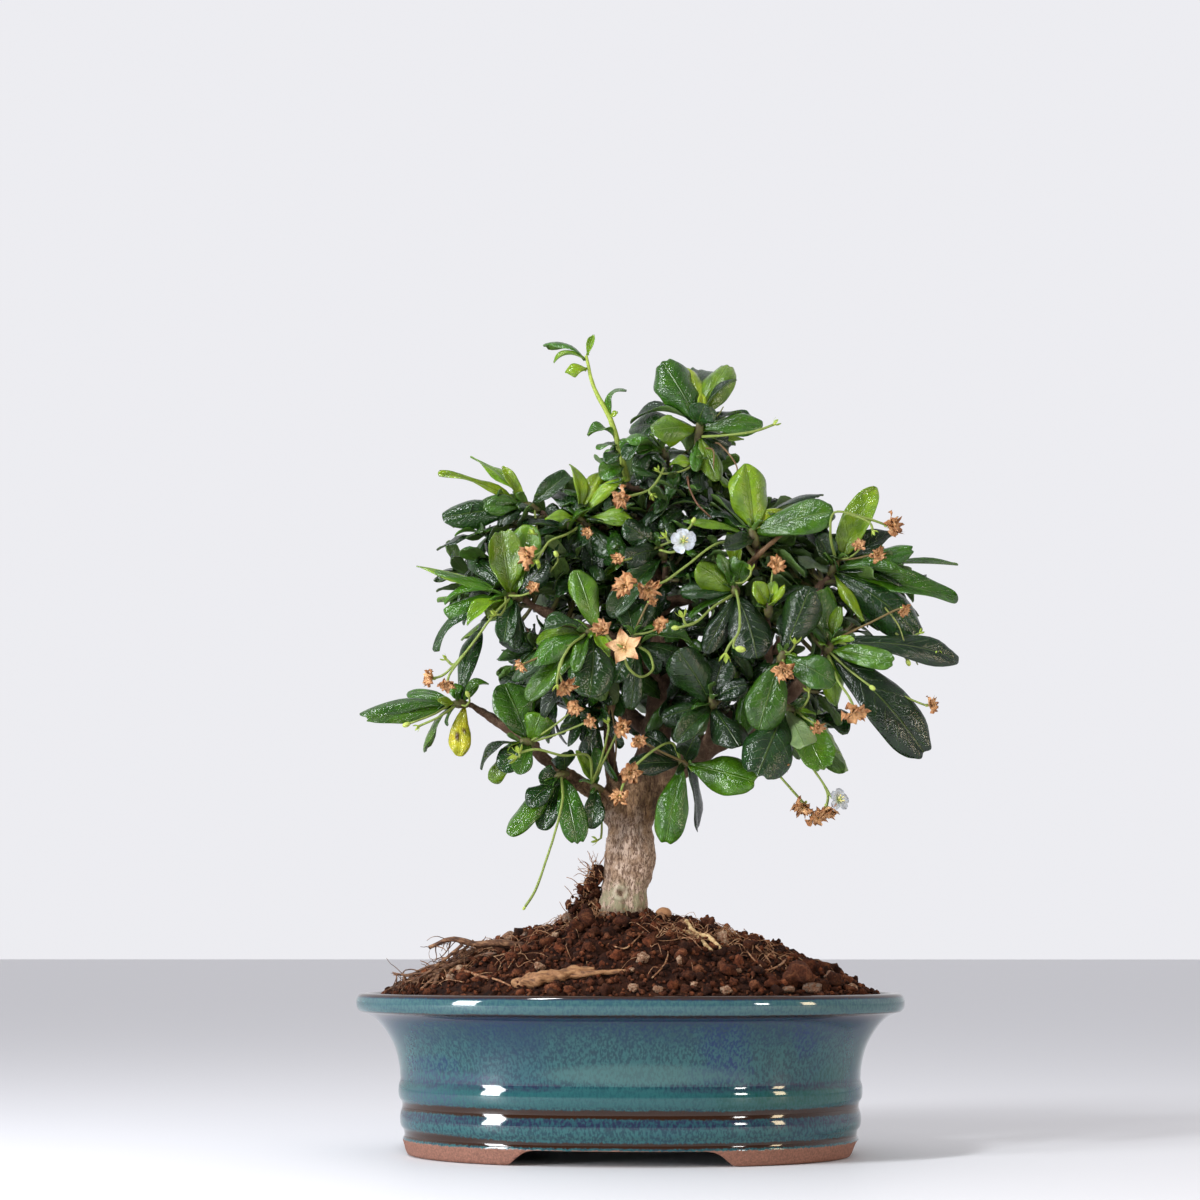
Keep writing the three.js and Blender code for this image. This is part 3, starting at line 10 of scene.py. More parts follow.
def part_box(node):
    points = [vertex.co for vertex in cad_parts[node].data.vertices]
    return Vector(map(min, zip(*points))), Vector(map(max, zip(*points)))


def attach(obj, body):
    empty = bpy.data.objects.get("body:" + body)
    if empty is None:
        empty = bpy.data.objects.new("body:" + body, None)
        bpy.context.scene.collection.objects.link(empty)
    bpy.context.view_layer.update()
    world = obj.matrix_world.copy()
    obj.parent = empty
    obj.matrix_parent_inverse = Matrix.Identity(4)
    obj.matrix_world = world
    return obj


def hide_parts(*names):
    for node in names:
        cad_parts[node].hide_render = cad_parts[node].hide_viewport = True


# Fukien tea bonsai in a glazed oval pot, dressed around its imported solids.
# Shapes are worked out in millimetres, with the pot's middle at the origin, and placed in metres.

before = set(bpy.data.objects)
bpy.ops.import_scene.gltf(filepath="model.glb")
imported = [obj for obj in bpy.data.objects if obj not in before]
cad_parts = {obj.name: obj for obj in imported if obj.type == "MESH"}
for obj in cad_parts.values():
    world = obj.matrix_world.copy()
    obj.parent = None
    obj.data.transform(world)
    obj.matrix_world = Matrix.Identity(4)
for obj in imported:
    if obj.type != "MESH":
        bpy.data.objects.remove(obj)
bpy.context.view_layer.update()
print("frame loaded")

mm = 0.001
potLow, potHigh = (Vector(corner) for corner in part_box("pot"))
potMiddle = Vector(((potLow.x + potHigh.x) / 2, (potLow.y + potHigh.y) / 2, 0))
treeTurn = Matrix.Rotation(math.radians(4), 3, "Z")
fullTurn = 2 * math.pi
potPlace = Matrix.Translation(potMiddle) @ Matrix.Scale(mm, 4)
treePlace = Matrix.Translation(potMiddle) @ treeTurn.to_4x4() @ Matrix.Scale(mm, 4)


# Shader helpers

class Wire:
    # One shader socket, so that sums on it read as sums
    def __init__(self, finish, socket):
        self.finish = finish
        self.socket = socket

    def maths(self, operation, first, second=0.5):
        return self.finish.node("ShaderNodeMath", {"operation": operation}, {0: first, 1: second})

    def __add__(self, other):
        return self.maths("ADD", self, other)

    def __radd__(self, other):
        return self.maths("ADD", other, self)

    def __sub__(self, other):
        return self.maths("SUBTRACT", self, other)

    def __rsub__(self, other):
        return self.maths("SUBTRACT", other, self)

    def __mul__(self, other):
        return self.maths("MULTIPLY", self, other)

    def __truediv__(self, other):
        return self.maths("DIVIDE", self, other)

    def __pow__(self, other):
        return self.maths("POWER", self, other)

    def __abs__(self):
        return self.maths("ABSOLUTE", self)

    def largest(self, other):
        return self.maths("MAXIMUM", self, other)

    def wave(self):
        return self.maths("SINE", self)


class Finish:
    # A material, or the room's light, and the nodes that make it
    def __init__(self, name, kind=bpy.data.materials):
        self.owner = kind.new(name)
        self.owner.use_nodes = True
        self.tree = self.owner.node_tree
        self.tree.nodes.clear()

    def node(self, kind, settings=None, values=None, output=0):
        made = self.tree.nodes.new(kind)
        for key, value in (settings or {}).items():
            if key == "stops":
                self.setStops(made.color_ramp, value)
            else:
                setattr(made, key, value)
        for key, value in (values or {}).items():
            socket = made.inputs[key]
            if isinstance(value, Wire):
                self.tree.links.new(value.socket, socket)
            elif socket.type == "RGBA":
                socket.default_value = (*value, 1)
            else:
                socket.default_value = value
        return Wire(self, made.outputs[output]) if made.outputs else None

    def setStops(self, ramp, stops):
        while len(ramp.elements) < len(stops):
            ramp.elements.new(1)
        for element, (place, colour) in zip(ramp.elements, stops):
            element.position = place
            element.color = (*colour, 1)

    def place(self):
        return self.node("ShaderNodeTexCoord", output="Object")

    def bladeMap(self):
        return self.node("ShaderNodeUVMap", {"uv_map": "blade"})

    def split(self, vector):
        parts = self.node("ShaderNodeSeparateXYZ", None, {0: vector})
        outputs = parts.socket.node.outputs
        return [Wire(self, outputs[axis]) for axis in range(3)]

    def stretched(self, vector, scale, shift=(0, 0, 0)):
        return self.node("ShaderNodeMapping", None, {"Vector": vector, "Scale": scale, "Location": shift})

    def grain(self, vector, scale, detail=3, roughness=0.55, distortion=0):
        values = {"Vector": vector, "Scale": scale, "Detail": detail,
                  "Roughness": roughness, "Distortion": distortion}
        return self.node("ShaderNodeTexNoise", None, values, "Fac")

    def cells(self, vector, scale):
        return self.node("ShaderNodeTexVoronoi", None, {"Vector": vector, "Scale": scale}, "Distance")

    def attribute(self, name, output="Fac"):
        return self.node("ShaderNodeAttribute", {"attribute_name": name}, None, output)

    # 0 below low, 1 above high, smooth between
    def rise(self, value, low, high):
        return self.node("ShaderNodeMapRange", {"interpolation_type": "SMOOTHSTEP"},
                         {"Value": value, "From Min": low, "From Max": high})

    # 1 between low and high, fading over soft on both sides
    def band(self, value, low, high, soft):
        up = self.rise(value, low - soft, low + soft)
        return up - self.rise(value, high - soft, high + soft)

    def mix(self, factor, first, second, blend="MIX"):
        return self.node("ShaderNodeMix", {"data_type": "RGBA", "blend_type": blend},
                         {0: factor, 6: first, 7: second}, 2)

    def ramp(self, value, stops):
        return self.node("ShaderNodeValToRGB", {"stops": stops}, {"Fac": value})

    def bump(self, height, strength, distance):
        return self.node("ShaderNodeBump", None,
                         {"Height": height, "Strength": strength, "Distance": distance})

    def skin(self, values):
        shader = self.node("ShaderNodeBsdfPrincipled", None, values)
        self.node("ShaderNodeOutputMaterial", None, {"Surface": shader})
        return self.owner


# Mesh helpers

def addObject(name, data):
    made = bpy.data.objects.new(name, data)
    bpy.context.scene.collection.objects.link(made)
    return made


def meshFrom(name, bm):
    mesh = bpy.data.meshes.new(name)
    bm.to_mesh(mesh)
    bm.free()
    return mesh


def addPiece(name, bm, looks, place, replaces=()):
    bm.transform(place)
    mesh = meshFrom(name, bm)
    for look in looks:
        mesh.materials.append(look)
    mesh.shade_smooth()
    piece = addObject(name, mesh)
    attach(piece, "root")
    if replaces:
        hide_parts(*replaces)
    return piece


def applyModifiers(piece):
    # What the modifiers make of the piece becomes its own mesh
    whole = piece.evaluated_get(bpy.context.evaluated_depsgraph_get())
    mesh = bpy.data.meshes.new_from_object(whole)
    piece.modifiers.clear()
    piece.data = mesh


scratch = bpy.data.meshes.new("scratch")


def appendPart(whole, part):
    # Parts are shaped on their own, where each operator has little to go through, then joined
    part.to_mesh(scratch)
    part.free()
    whole.from_mesh(scratch)


def newPart(layer):
    # An empty mesh whose points hold a colour
    bm = bmesh.new()
    bm.verts.layers.float_color.new(layer)
    return bm


def paint(bm, layer, verts, colour):
    held = bm.verts.layers.float_color[layer]
    for vert in verts:
        vert[held] = (*colour, 1)


def lathe(profile, columns):
    # A solid turned from the places of its profile, with its middle closed
    bm = bmesh.new()
    verts = [bm.verts.new(point) for point in profile]
    edges = [bm.edges.new(pair) for pair in zip(verts, verts[1:])]
    bmesh.ops.spin(bm, geom=verts + edges, cent=(0, 0, 0), axis=(0, 0, 1), angle=fullTurn,
                   steps=columns, use_merge=True)
    bmesh.ops.remove_doubles(bm, verts=bm.verts, dist=1e-4)
    bmesh.ops.recalc_face_normals(bm, faces=bm.faces)
    return bm


def closeRoll(bm, verts):
    # A rolled-up grid is seamed, and closed at both ends
    bmesh.ops.remove_doubles(bm, verts=verts, dist=1e-4)
    kept = [vert for vert in verts if vert.is_valid]
    ends = {edge for vert in kept for edge in vert.link_edges if edge.is_boundary}
    bmesh.ops.holes_fill(bm, edges=list(ends), sides=0)
    return kept


def treeOf(points):
    tree = KDTree(len(points))
    for number, point in enumerate(points):
        tree.insert(point, number)
    tree.balance()
    return tree


def drawn(piece, use):
    # A repeatable draw between 0 and 1 for a numbered piece and a numbered use
    wave = math.sin(piece * 12.9898 + use * 78.233 + 3.7) * 43758.5453
    return wave - math.floor(wave)


def between(low, high, part):
    return low + (high - low) * part


def drawnIn(limits, piece, use):
    return between(*limits, drawn(piece, use))


def scatter(dice, spread, sink=0):
    return Vector((dice.gauss(0, spread), dice.gauss(0, spread), dice.gauss(sink, spread)))


def scattered(dice, *limits):
    return Vector([dice.uniform(*limit) for limit in limits])


def mixed(first, second, part):
    return [between(low, high, part) for low, high in zip(first, second)]


def smoothRise(value, low, high):
    part = min(1, max(0, (value - low) / (high - low)))
    return part * part * (3 - 2 * part)


sightLine = {"distance": 870, "height": 71, "across": -11}


def sight(across, up, depth):
    # A place as seen from the front, moved along the line of sight by its depth
    spread = (sightLine["distance"] + depth) / sightLine["distance"]
    x = sightLine["across"] + (across - sightLine["across"]) * spread
    z = sightLine["height"] + (up - sightLine["height"]) * spread
    return Vector((x, depth, z))


class Path:
    # A smooth centripetal curve through a few places, measured along its length
    marks = 200

    def __init__(self, points):
        self.points = [Vector(point) for point in points]
        self.lengths = [0]
        last = self.at(0)
        for mark in range(1, self.marks + 1):
            here = self.at(mark / self.marks)
            self.lengths.append(self.lengths[-1] + (here - last).length)
            last = here

    def at(self, part):
        points = self.points
        stretch = min(int(part * (len(points) - 1)), len(points) - 2)
        weight = part * (len(points) - 1) - stretch
        p1, p2 = points[stretch], points[stretch + 1]
        p0 = points[stretch - 1] if stretch else 2 * p1 - p2
        p3 = points[stretch + 2] if stretch + 2 < len(points) else 2 * p2 - p1
        d0, d1, d2 = (math.sqrt((b - a).length) for a, b in ((p0, p1), (p1, p2), (p2, p3)))
        leave = ((p1 - p0) / d0 - (p2 - p0) / (d0 + d1) + (p2 - p1) / d1) * d1
        reach = ((p2 - p1) / d1 - (p3 - p1) / (d1 + d2) + (p3 - p2) / d2) * d1
        square = -3 * p1 + 3 * p2 - 2 * leave - reach
        cube = 2 * p1 - 2 * p2 + leave + reach
        return p1 + leave * weight + square * weight ** 2 + cube * weight ** 3

    def markOf(self, share):
        target = share * self.lengths[-1]
        low, high = 0, self.marks
        while high - low > 1:
            middle = (low + high) // 2
            if self.lengths[middle] <= target:
                low = middle
            else:
                high = middle
        step = self.lengths[high] - self.lengths[low]
        return (low + (target - self.lengths[low]) / step) / self.marks

    def pointAt(self, share):
        return self.at(self.markOf(share))

    def headingAt(self, share):
        mark = self.markOf(share)
        return (self.at(min(1, mark + 1e-4)) - self.at(max(0, mark - 1e-4))).normalized()


def seenPath(points):
    return Path([sight(*point) for point in points])


def addTube(bm, path, radii, sides, steps, uneven=0, seed=0):
    # A limb that tapers along a path: a grid is rolled up, seamed and closed at both ends
    grid = bmesh.ops.create_grid(bm, x_segments=sides, y_segments=steps, size=1, calc_uvs=True)
    frames = []
    side = path.headingAt(0).orthogonal().normalized()
    for step in range(steps + 1):
        heading = path.headingAt(step / steps)
        side = (side - heading * side.dot(heading)).normalized()
        frames.append((path.pointAt(step / steps), side, heading.cross(side)))
    for vert in grid["verts"]:
        step = round((vert.co.y + 1) / 2 * steps)
        angle = math.pi * (vert.co.x + 1)
        place = step / steps * (len(radii) - 1)
        low = min(int(place), len(radii) - 2)
        radius = between(radii[low], radii[low + 1], place - low)
        at, across, up = frames[step]
        if uneven:
            knot = at * 0.35 + Vector((math.cos(angle), math.sin(angle), seed)) * 1.3
            radius *= 1 + uneven * noise.noise(knot)
        vert.co = at + radius * (math.cos(angle) * across + math.sin(angle) * up)
    return closeRoll(bm, grid["verts"])


# Camera, light and floor

view = {
    "eye": (49.7, -868.6, 71),       # mm from the pot's middle
    "pitchUp": 8.6,
    "turn": 4,
    "lens": 70.2,
    "film": 36,
}


def makeCamera():
    data = bpy.data.cameras.new("photo_view")
    data.lens = view["lens"]
    data.sensor_width = view["film"]
    camera = addObject("photo_view", data)
    camera.location = potPlace @ Vector(view["eye"])
    camera.rotation_euler = (math.radians(90 + view["pitchUp"]), 0, math.radians(view["turn"]))
    bpy.context.scene.camera = camera


# Lamps: place and aim in mm, width and height in mm, watts and colour
lamps = {
    "window_left": ((-693, -576, 235), (0, 0, 120), 160, 420, 8.5, (0.95, 0.97, 1)),
    "pane_low": ((566, -700, 150), (0, 0, 60), 80, 52, 0.6, (1, 0.98, 0.95)),
    "pane_high": ((566, -700, 225), (0, 0, 60), 80, 52, 0.6, (1, 0.98, 0.95)),
    "skylight": ((-260, -420, 720), (0, 0, 190), 66, 190, 3.3, (0.93, 0.97, 1)),
    "window_warm": ((779, -450, 190), (0, 0, 60), 100, 250, 1.5, (1, 0.8, 0.52)),
}


def makeLamps():
    for name, (place, aim, width, height, watts, colour) in lamps.items():
        data = bpy.data.lights.new(name, "AREA")
        data.shape = "RECTANGLE"
        data.size = width * mm
        data.size_y = height * mm
        data.energy = watts
        data.color = colour
        lamp = addObject(name, data)
        lamp.location = potPlace @ Vector(place)
        away = Vector(place) - Vector(aim)
        lamp.rotation_euler = away.to_track_quat("Z", "Y").to_euler()
        lamp.visible_camera = False


roomLight = {
    "colour": (0.96, 0.96, 1),
    "front": 0.1,
    # How bright each side gets: from and to where the light rises, and by how much
    "behind": (-0.35, 0.8, 0.62),
    "overhead": (0.15, 1, 0.5),
    "sides": (0.7, 1, 0.55),
    "seen": 0.88,
}


def makeRoom():
    # The room is bright overhead and behind the tree, and dim low down on the viewer's side.
    # Where the room itself is seen, it is one even pale tone.
    room = Finish("room", bpy.data.worlds)
    bpy.context.scene.world = room.owner
    x, y, z = room.split(room.node("ShaderNodeTexCoord", output="Generated"))
    light = roomLight["front"]
    for toward, side in ((y, "behind"), (z, "overhead"), (abs(x), "sides")):
        low, high, gain = roomLight[side]
        light = room.rise(toward, low, high) * gain + light
    seen = room.node("ShaderNodeLightPath", output="Is Camera Ray")
    strength = room.node("ShaderNodeMix", {"data_type": "FLOAT"}, {0: seen, 2: light, 3: roomLight["seen"]})
    back = room.node("ShaderNodeBackground", None, {"Color": roomLight["colour"], "Strength": strength})
    room.node("ShaderNodeOutputWorld", None, {"Surface": back})
    bpy.context.scene.view_settings.view_transform = "Standard"


floorLook = {
    "reach": 30000,
    "sink": 0.2,
    "tone": (0.76, 0.755, 0.78),
    "speck": (0.7, 0.695, 0.72),
    "rough": 0.55,
}


def makeFloor():
    finish = Finish("floor_pale")
    speck = finish.grain(finish.place(), 400, 4)
    tone = finish.mix(speck * 0.1, floorLook["tone"], floorLook["speck"])
    bm = bmesh.new()
    bmesh.ops.create_grid(bm, x_segments=1, y_segments=1, size=floorLook["reach"])
    bm.transform(potPlace @ Matrix.Translation((0, 0, -floorLook["sink"])))
    floor = addObject("floor", meshFrom("floor", bm))
    floor.data.materials.append(finish.skin({"Base Color": tone, "Roughness": floorLook["rough"]}))


makeCamera()
makeLamps()
makeRoom()
makeFloor()
print("camera, light and floor")


# Pot

pot = {
    "ovalPower": 2.25,
    "depthRatio": 0.78,
    "columns": 320,
    "foot": [(0, 5.6), (72, 5.6), (73.5, 0)],
    # Outside, from the foot up over the ledge, two grooves, the belt, the flare and the rim
    "outside": [(80.6, 0), (81.3, 0.5), (81.8, 2), (82.2, 4.2), (82.4, 5.3), (82.2, 5.9), (81.8, 6.5),
                (81.9, 7.6), (82.2, 8.8), (82.9, 9.6), (83.3, 10.6), (83.5, 12.4), (83.4, 14.2),
                (83.1, 15.3), (82.8, 16.1), (82.7, 17), (82.8, 18.1), (83.2, 19), (83.8, 19.8), (84.1, 21.2),
                (84.15, 23.2), (84, 24.6), (83.7, 25.4), (83.5, 26.3), (83.6, 28), (83.9, 31), (85.8, 38),
                (90, 45), (93.2, 48.2), (96.6, 50), (98.5, 50.5), (99.4, 51.5), (99.8, 53.2), (99.7, 55),
                (98.9, 56.5), (97.4, 57), (95.4, 56.9), (94, 56.2)],
    "outsideSteps": 104,
    "inside": [(93.2, 54), (86, 46.5), (80.5, 38), (78.4, 30), (77.4, 18), (74.5, 11.5), (72, 10.2),
               (0, 10.2)],
    "footReach": 73,                 # past here the underside belongs to the feet
    "gapFront": 39,                  # half widths of the gaps between the feet
    "gapSide": 21,
    # In from the gap's end, and height there
    "gapArch": [(0, 0), (0.8, 0.15), (1.9, 0.9), (3.2, 2.2), (4.8, 3.6), (6.8, 4.6), (9.2, 5.2)],
    "holeAcross": 38,
    "holeRadius": 7,
    "holeDepth": (8, 20),            # middle and height of what cuts the drain holes
    "edgeRound": (0.4, 3, 40),       # width, segments and least angle of the rounded edges
}


def toOval(point):
    reach = math.hypot(point.x, point.y)
    if reach < 1e-6:
        return
    across = abs(point.x / reach) ** pot["ovalPower"]
    along = abs(point.y / reach) ** pot["ovalPower"]
    swell = (across + along) ** (-1 / pot["ovalPower"])
    point.x *= swell
    point.y *= swell * pot["depthRatio"]


def archHeight(inward):
    arch = pot["gapArch"]
    if inward <= 0:
        return 0
    for (near, low), (far, high) in zip(arch, arch[1:]):
        if inward < far:
            return between(low, high, (inward - near) / (far - near))
    return arch[-1][1]


def potShape():
    outside = Path([(reach, 0, height) for reach, height in pot["outside"]])
    steps = pot["outsideSteps"]
    profile = [Vector((reach, 0, height)) for reach, height in pot["foot"]]
    profile += [outside.pointAt(step / steps) for step in range(steps + 1)]
    profile += [Vector((reach, 0, height)) for reach, height in pot["inside"]]
    bm = lathe(profile, pot["columns"])
    for vert in bm.verts:
        onFoot = vert.co.z < pot["gapArch"][-1][1] and math.hypot(vert.co.x, vert.co.y) > pot["footReach"]
        toOval(vert.co)
        if onFoot:
            front = archHeight(pot["gapFront"] - abs(vert.co.x))
            side = archHeight(pot["gapSide"] - abs(vert.co.y))
            vert.co.z = max(vert.co.z, front, side)
    return bm


def cutDrainHoles(piece):
    bm = bmesh.new()
    middle, depth = pot["holeDepth"]
    for side in (-1, 1):
        place = Matrix.Translation((side * pot["holeAcross"], 0, middle))
        bmesh.ops.create_cone(bm, cap_ends=True, segments=32, radius1=pot["holeRadius"],
                              radius2=pot["holeRadius"], depth=depth, matrix=place)
    bm.transform(potPlace)
    mesh = meshFrom("drain_cutter", bm)
    cutter = addObject("drain_cutter", mesh)
    cut = piece.modifiers.new("drain_holes", "BOOLEAN")
    cut.object = cutter
    cut.solver = "EXACT"
    applyModifiers(piece)
    bpy.data.objects.remove(cutter)
    bpy.data.meshes.remove(mesh)


glazeColours = {
    "teal": (0.022, 0.098, 0.106),
    # under the rim: painted shade, mixed with the glaze's blue
    "shade": (0.006, 0.03, 0.05),
    "blue": (0.003, 0.022, 0.095),
    "violet": (0.04, 0.055, 0.12),
    "green": (0.006, 0.07, 0.056),
    "belt": (0.02, 0.09, 0.096),
    "rim": (0.045, 0.112, 0.12),
    "plum": (0.02, 0.018, 0.05),
    "brown": (0.026, 0.009, 0.0035),
    # a pale lens on the front of the flare: painted reflection
    "painted_reflection": (0.075, 0.16, 0.155),
    "clay": (0.27, 0.118, 0.078),
    "clayDark": (0.15, 0.064, 0.042),
}
# Places in the glaze: across, up, half width and half height in mm, how strong, and the colour
# The last place, a wide dark patch high on the left under the rim, is painted shade
glazePlaces = [
    (36, 40, 9, 11, 0.85, "blue"), (63, 42, 4.5, 7, 0.85, "blue"), (80, 24, 4, 8, 0.7, "blue"),
    (33, 31, 13, 4, 0.6, "blue"), (-66, 33, 12, 3.5, 0.6, "blue"), (-62, 28, 20, 3, 0.55, "violet"),
    (-66, 21, 16, 4, 0.5, "violet"), (62, 22, 20, 4, 0.8, "green"), (45, 21, 16, 4, 0.6, "green"),
    # the wide pale lens 30.5 mm up on the front is a painted reflection
    (73, 28, 9, 5, 0.5, "green"), (7, 30.5, 36, 4, 0.5, "painted_reflection"), (-30, 41, 55, 6, 0.2, "shade"),
]


def glazeFinish():
    finish = Finish("glaze_teal")
    c = glazeColours
    place = finish.place()
    x, y, z = finish.split(place)
    across = (x - potMiddle.x) / mm
    front = 1 - finish.rise(y, -0.01, 0.01)
    wobble = finish.grain(place, 34, 3) - 0.5
    fray = finish.grain(finish.stretched(place, (1, 1, 0.35)), 1300, 3) - 0.5
    up = z / mm + wobble * 0.9
    frayed = up + fray * 1.5

    # Fine upright mottling; under the rim the glaze turns darker blue, partly its own blue and partly
    # painted shade
    fleck = finish.grain(finish.stretched(place, (1, 1, 0.5)), 1250, 3, 0.65)
    mottle = finish.rise(fleck, 0.45, 0.57)
    run = finish.grain(finish.stretched(place, (1, 1, 0.2)), 420, 4, 0.6)
    cloud = finish.grain(place, 26, 4)
    teal = finish.mix(mottle * 0.8, c["teal"], c["shade"])
    shade = finish.mix(mottle * 0.7, c["shade"], c["blue"])
    blueAndShadeUnderRim = finish.rise(up + (run - 0.5) * 20 + (cloud - 0.5) * 14, 36, 51)
    colour = finish.mix(blueAndShadeUnderRim * 0.85, teal, shade)
    colour = finish.mix(finish.rise(cloud, 0.52, 0.7) * 0.16, colour, c["blue"])
    colour = finish.mix(finish.band(up, 19.4, 26, 0.6) * (1 - mottle * 0.4), colour, c["belt"])
    for placeAcross, placeUp, halfWide, halfTall, strength, name in glazePlaces:
        gone = ((across - placeAcross) / halfWide) ** 2 + ((up - placeUp) / halfTall) ** 2
        # the painted reflection is smooth-edged and has no grain
        ragged = 0 if name == "painted_reflection" else fray * 1.6 + (run - 0.5) * 2.4
        inside = (1 - finish.rise(gone + ragged, 0.2, 1.3)) * front
        grained = inside if name == "painted_reflection" else inside * (mottle * 0.8 + 0.2)
        colour = finish.mix(grained * strength, colour, c[name])

    # Belt, grooves and rim: brown where the glaze runs thin, plum beside it
    plum = finish.band(frayed, 12.6, 15.6, 0.7) * 0.8
    plum = plum.largest(finish.band(frayed, 24.8, 27.4, 0.6) * finish.rise(cloud, 0.38, 0.6) * 0.75)
    plum = plum.largest(finish.band(frayed, 48.2, 50.2, 0.9) * 0.7)
    colour = finish.mix(plum * (mottle * 0.55 + 0.45), colour, c["plum"])
    colour = finish.mix(finish.band(up, 50.6, 55.6, 0.3) * (1 - mottle * 0.35), colour, c["rim"])
    leftward = 1 - finish.rise(across, -75, -25)
    brown = finish.band(frayed + wobble * 1.6, 15.7, 18.6, 0.3)
    under = finish.rise(frayed, 5.8, 6.2) * (1 - finish.rise(frayed - leftward * 1.4, 7.5, 8.1))
    brown = brown.largest(under)
    brown = brown.largest(finish.band(frayed, 49.75, 50.65, 0.22) * 0.95)
    brown = brown.largest(finish.rise(up + fray, 55.5, 56.3) * 0.93)
    colour = finish.mix(brown, colour, c["brown"])

    bare = 1 - finish.rise(frayed, 5.1, 5.5)
    clayGrain = finish.grain(place, 1400, 4, 0.7)
    clay = finish.mix(finish.rise(clayGrain, 0.35, 0.65), c["clay"], c["clayDark"])
    colour = finish.mix(bare, colour, clay)
    rough = 0.06 + bare * 0.72
    height = clayGrain * bare * 0.8 + fray * 0.02 + cloud * 0.4
    normal = finish.bump(height, 0.3, 0.0004)
    return finish.skin({"Base Color": colour, "Roughness": rough, "Normal": normal,
                        "Specular IOR Level": 0.5})


def makePot():
    piece = addPiece("glazed_pot", potShape(), [glazeFinish()], potPlace, ["pot"])
    cutDrainHoles(piece)
    piece.data.shade_smooth()
    rounding = piece.modifiers.new("soft_edges", "BEVEL")
    width, segments, angle = pot["edgeRound"]
    rounding.width = width * mm
    rounding.segments = segments
    rounding.limit_method = "ANGLE"
    rounding.angle_limit = math.radians(angle)
    rounding.use_clamp_overlap = True


def coatDrainMeshes():
    # The two solids in the drain holes keep their shape and get a moulded plastic skin
    finish = Finish("mesh_plastic")
    grain = finish.grain(finish.place(), 900, 3)
    colour = finish.mix(grain, (0.012, 0.013, 0.016), (0.035, 0.036, 0.04))
    normal = finish.bump(grain, 0.3, 0.0002)
    plastic = finish.skin({"Base Color": colour, "Roughness": grain * 0.2 + 0.4, "Normal": normal})
    for name in ("drain_mesh_left", "drain_mesh_right"):
        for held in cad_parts[name].material_slots:
            held.material = plastic


makePot()
coatDrainMeshes()
print("pot")


# Soil

soil = {
    "reach": 92,
    "rimHeight": 55.5,
    "crownHeight": 30,
    "clump": (-14.5, 2, 13, 5.2),      # x, y, height and spread of the rooty clump
    "lump": 1.3,
    "columns": 190,
    "rings": 66,
    "side": [(91.6, 53.4), (85.5, 46.8), (80, 38.2), (77.9, 30.2), (76.8, 18.2), (74, 11.9),
             (71.2, 10.5), (0, 10.5)],
    "clods": (1.5, 0.9),               # how far wide and narrow clods lift the ground, mm
    "bare": (12.5, -6, 6),             # small crumbs alone lie round the pebble: x, y, reach
    "bareShrink": 0.45,
    # Crumbs: how many, faces by level, least and most radius in mm, and seed
    "crumbs": {"fine": (7000, 1, (0.5, 1.25), 11), "coarse": (1050, 2, (0.85, 2.4), 12)},
    "plainUnder": 1.2,                 # crumbs smaller than this get the fewest faces
    "batch": 120,
    "full": 0.985,                     # how near to the pot's wall the soil's top comes
    "shades": [0.3, 0.5, 0.75, 1, 1.2, 1.5],
    # the ground between the crumbs is darkened: painted shade in the gaps
    "moundPaintedShade": 0.35,
    "push": (0.7, 0.2),                # how far wide and narrow lumps push a crumb's face
}


def soilReach(x, y):
    # 0 at the middle and 1 at the pot's wall
    return min(1, math.hypot(x, y / pot["depthRatio"]) / soil["reach"])


def soilTop(x, y):
    rho = soilReach(x, y)
    clumpX, clumpY, clumpHeight, clumpSpread = soil["clump"]
    gone = ((x - clumpX) ** 2 + (y - clumpY) ** 2) / clumpSpread ** 2
    lumps = math.sin(x * 0.37 + y * 0.21) * math.cos(y * 0.41 - x * 0.13)
    lumps += math.sin(x * 0.71 - y * 0.63 + 1.3) * 0.6
    mound = soil["crownHeight"] * (1 - rho ** 1.6)
    return (soil["rimHeight"] + mound + clumpHeight * math.exp(-gone)
            + soil["lump"] * lumps * (1 - rho ** 6))


def groundTop(x, y):
    # The soil's surface with its clods, which fade out at the pot's wall
    point = Vector((x, y, 0))
    wide, narrow = soil["clods"]
    clods = noise.fractal(point * 0.12, 0.6, 2.1, 3) * wide + noise.noise(point * 0.5) * narrow
    return soilTop(x, y) + clods * (1 - soilReach(x, y) ** 6)


def soilShape():
    rings = soil["rings"]
    top = [Vector((soil["reach"] * ring / rings * soil["full"], 0, 60)) for ring in range(rings + 1)]
    side = [Vector((reach, 0, height)) for reach, height in soil["side"]]
    bm = lathe(top + side, soil["columns"])
    for vert in bm.verts:
        onTop = vert.co.z > 59
        toOval(vert.co)
        if onTop:
            point = vert.co
            point.z = 0
            point.z = groundTop(point.x, point.y) + noise.noise(point * 1.1) * 0.5 - 0.5
    return bm


soilTints = [(0.013, 0.0038, 0.0017), (0.108, 0.029, 0.0115), (0.22, 0.078, 0.032)]


def soilFinish():
    finish = Finish("soil_earth")
    place = finish.place()
    coarse = finish.grain(place, 300, 5, 0.65)
    fine = finish.grain(place, 1500, 4, 0.7)
    colour = finish.ramp(coarse, list(zip((0.3, 0.5, 0.7), soilTints)))
    # darker where the fine grain is low, where the bump sinks: painted shade in the hollows
    colour = finish.mix((1 - finish.rise(fine, 0.32, 0.56)) * 0.75, colour, soilTints[0])
    tint = finish.attribute("grit", "Color")
    colour = finish.mix(1, colour, tint, "MULTIPLY")
    normal = finish.bump(fine + coarse * 0.6, 1, 0.0009)
    return finish.skin({"Base Color": colour, "Roughness": 0.95, "Normal": normal,
                        "Specular IOR Level": 0.2})


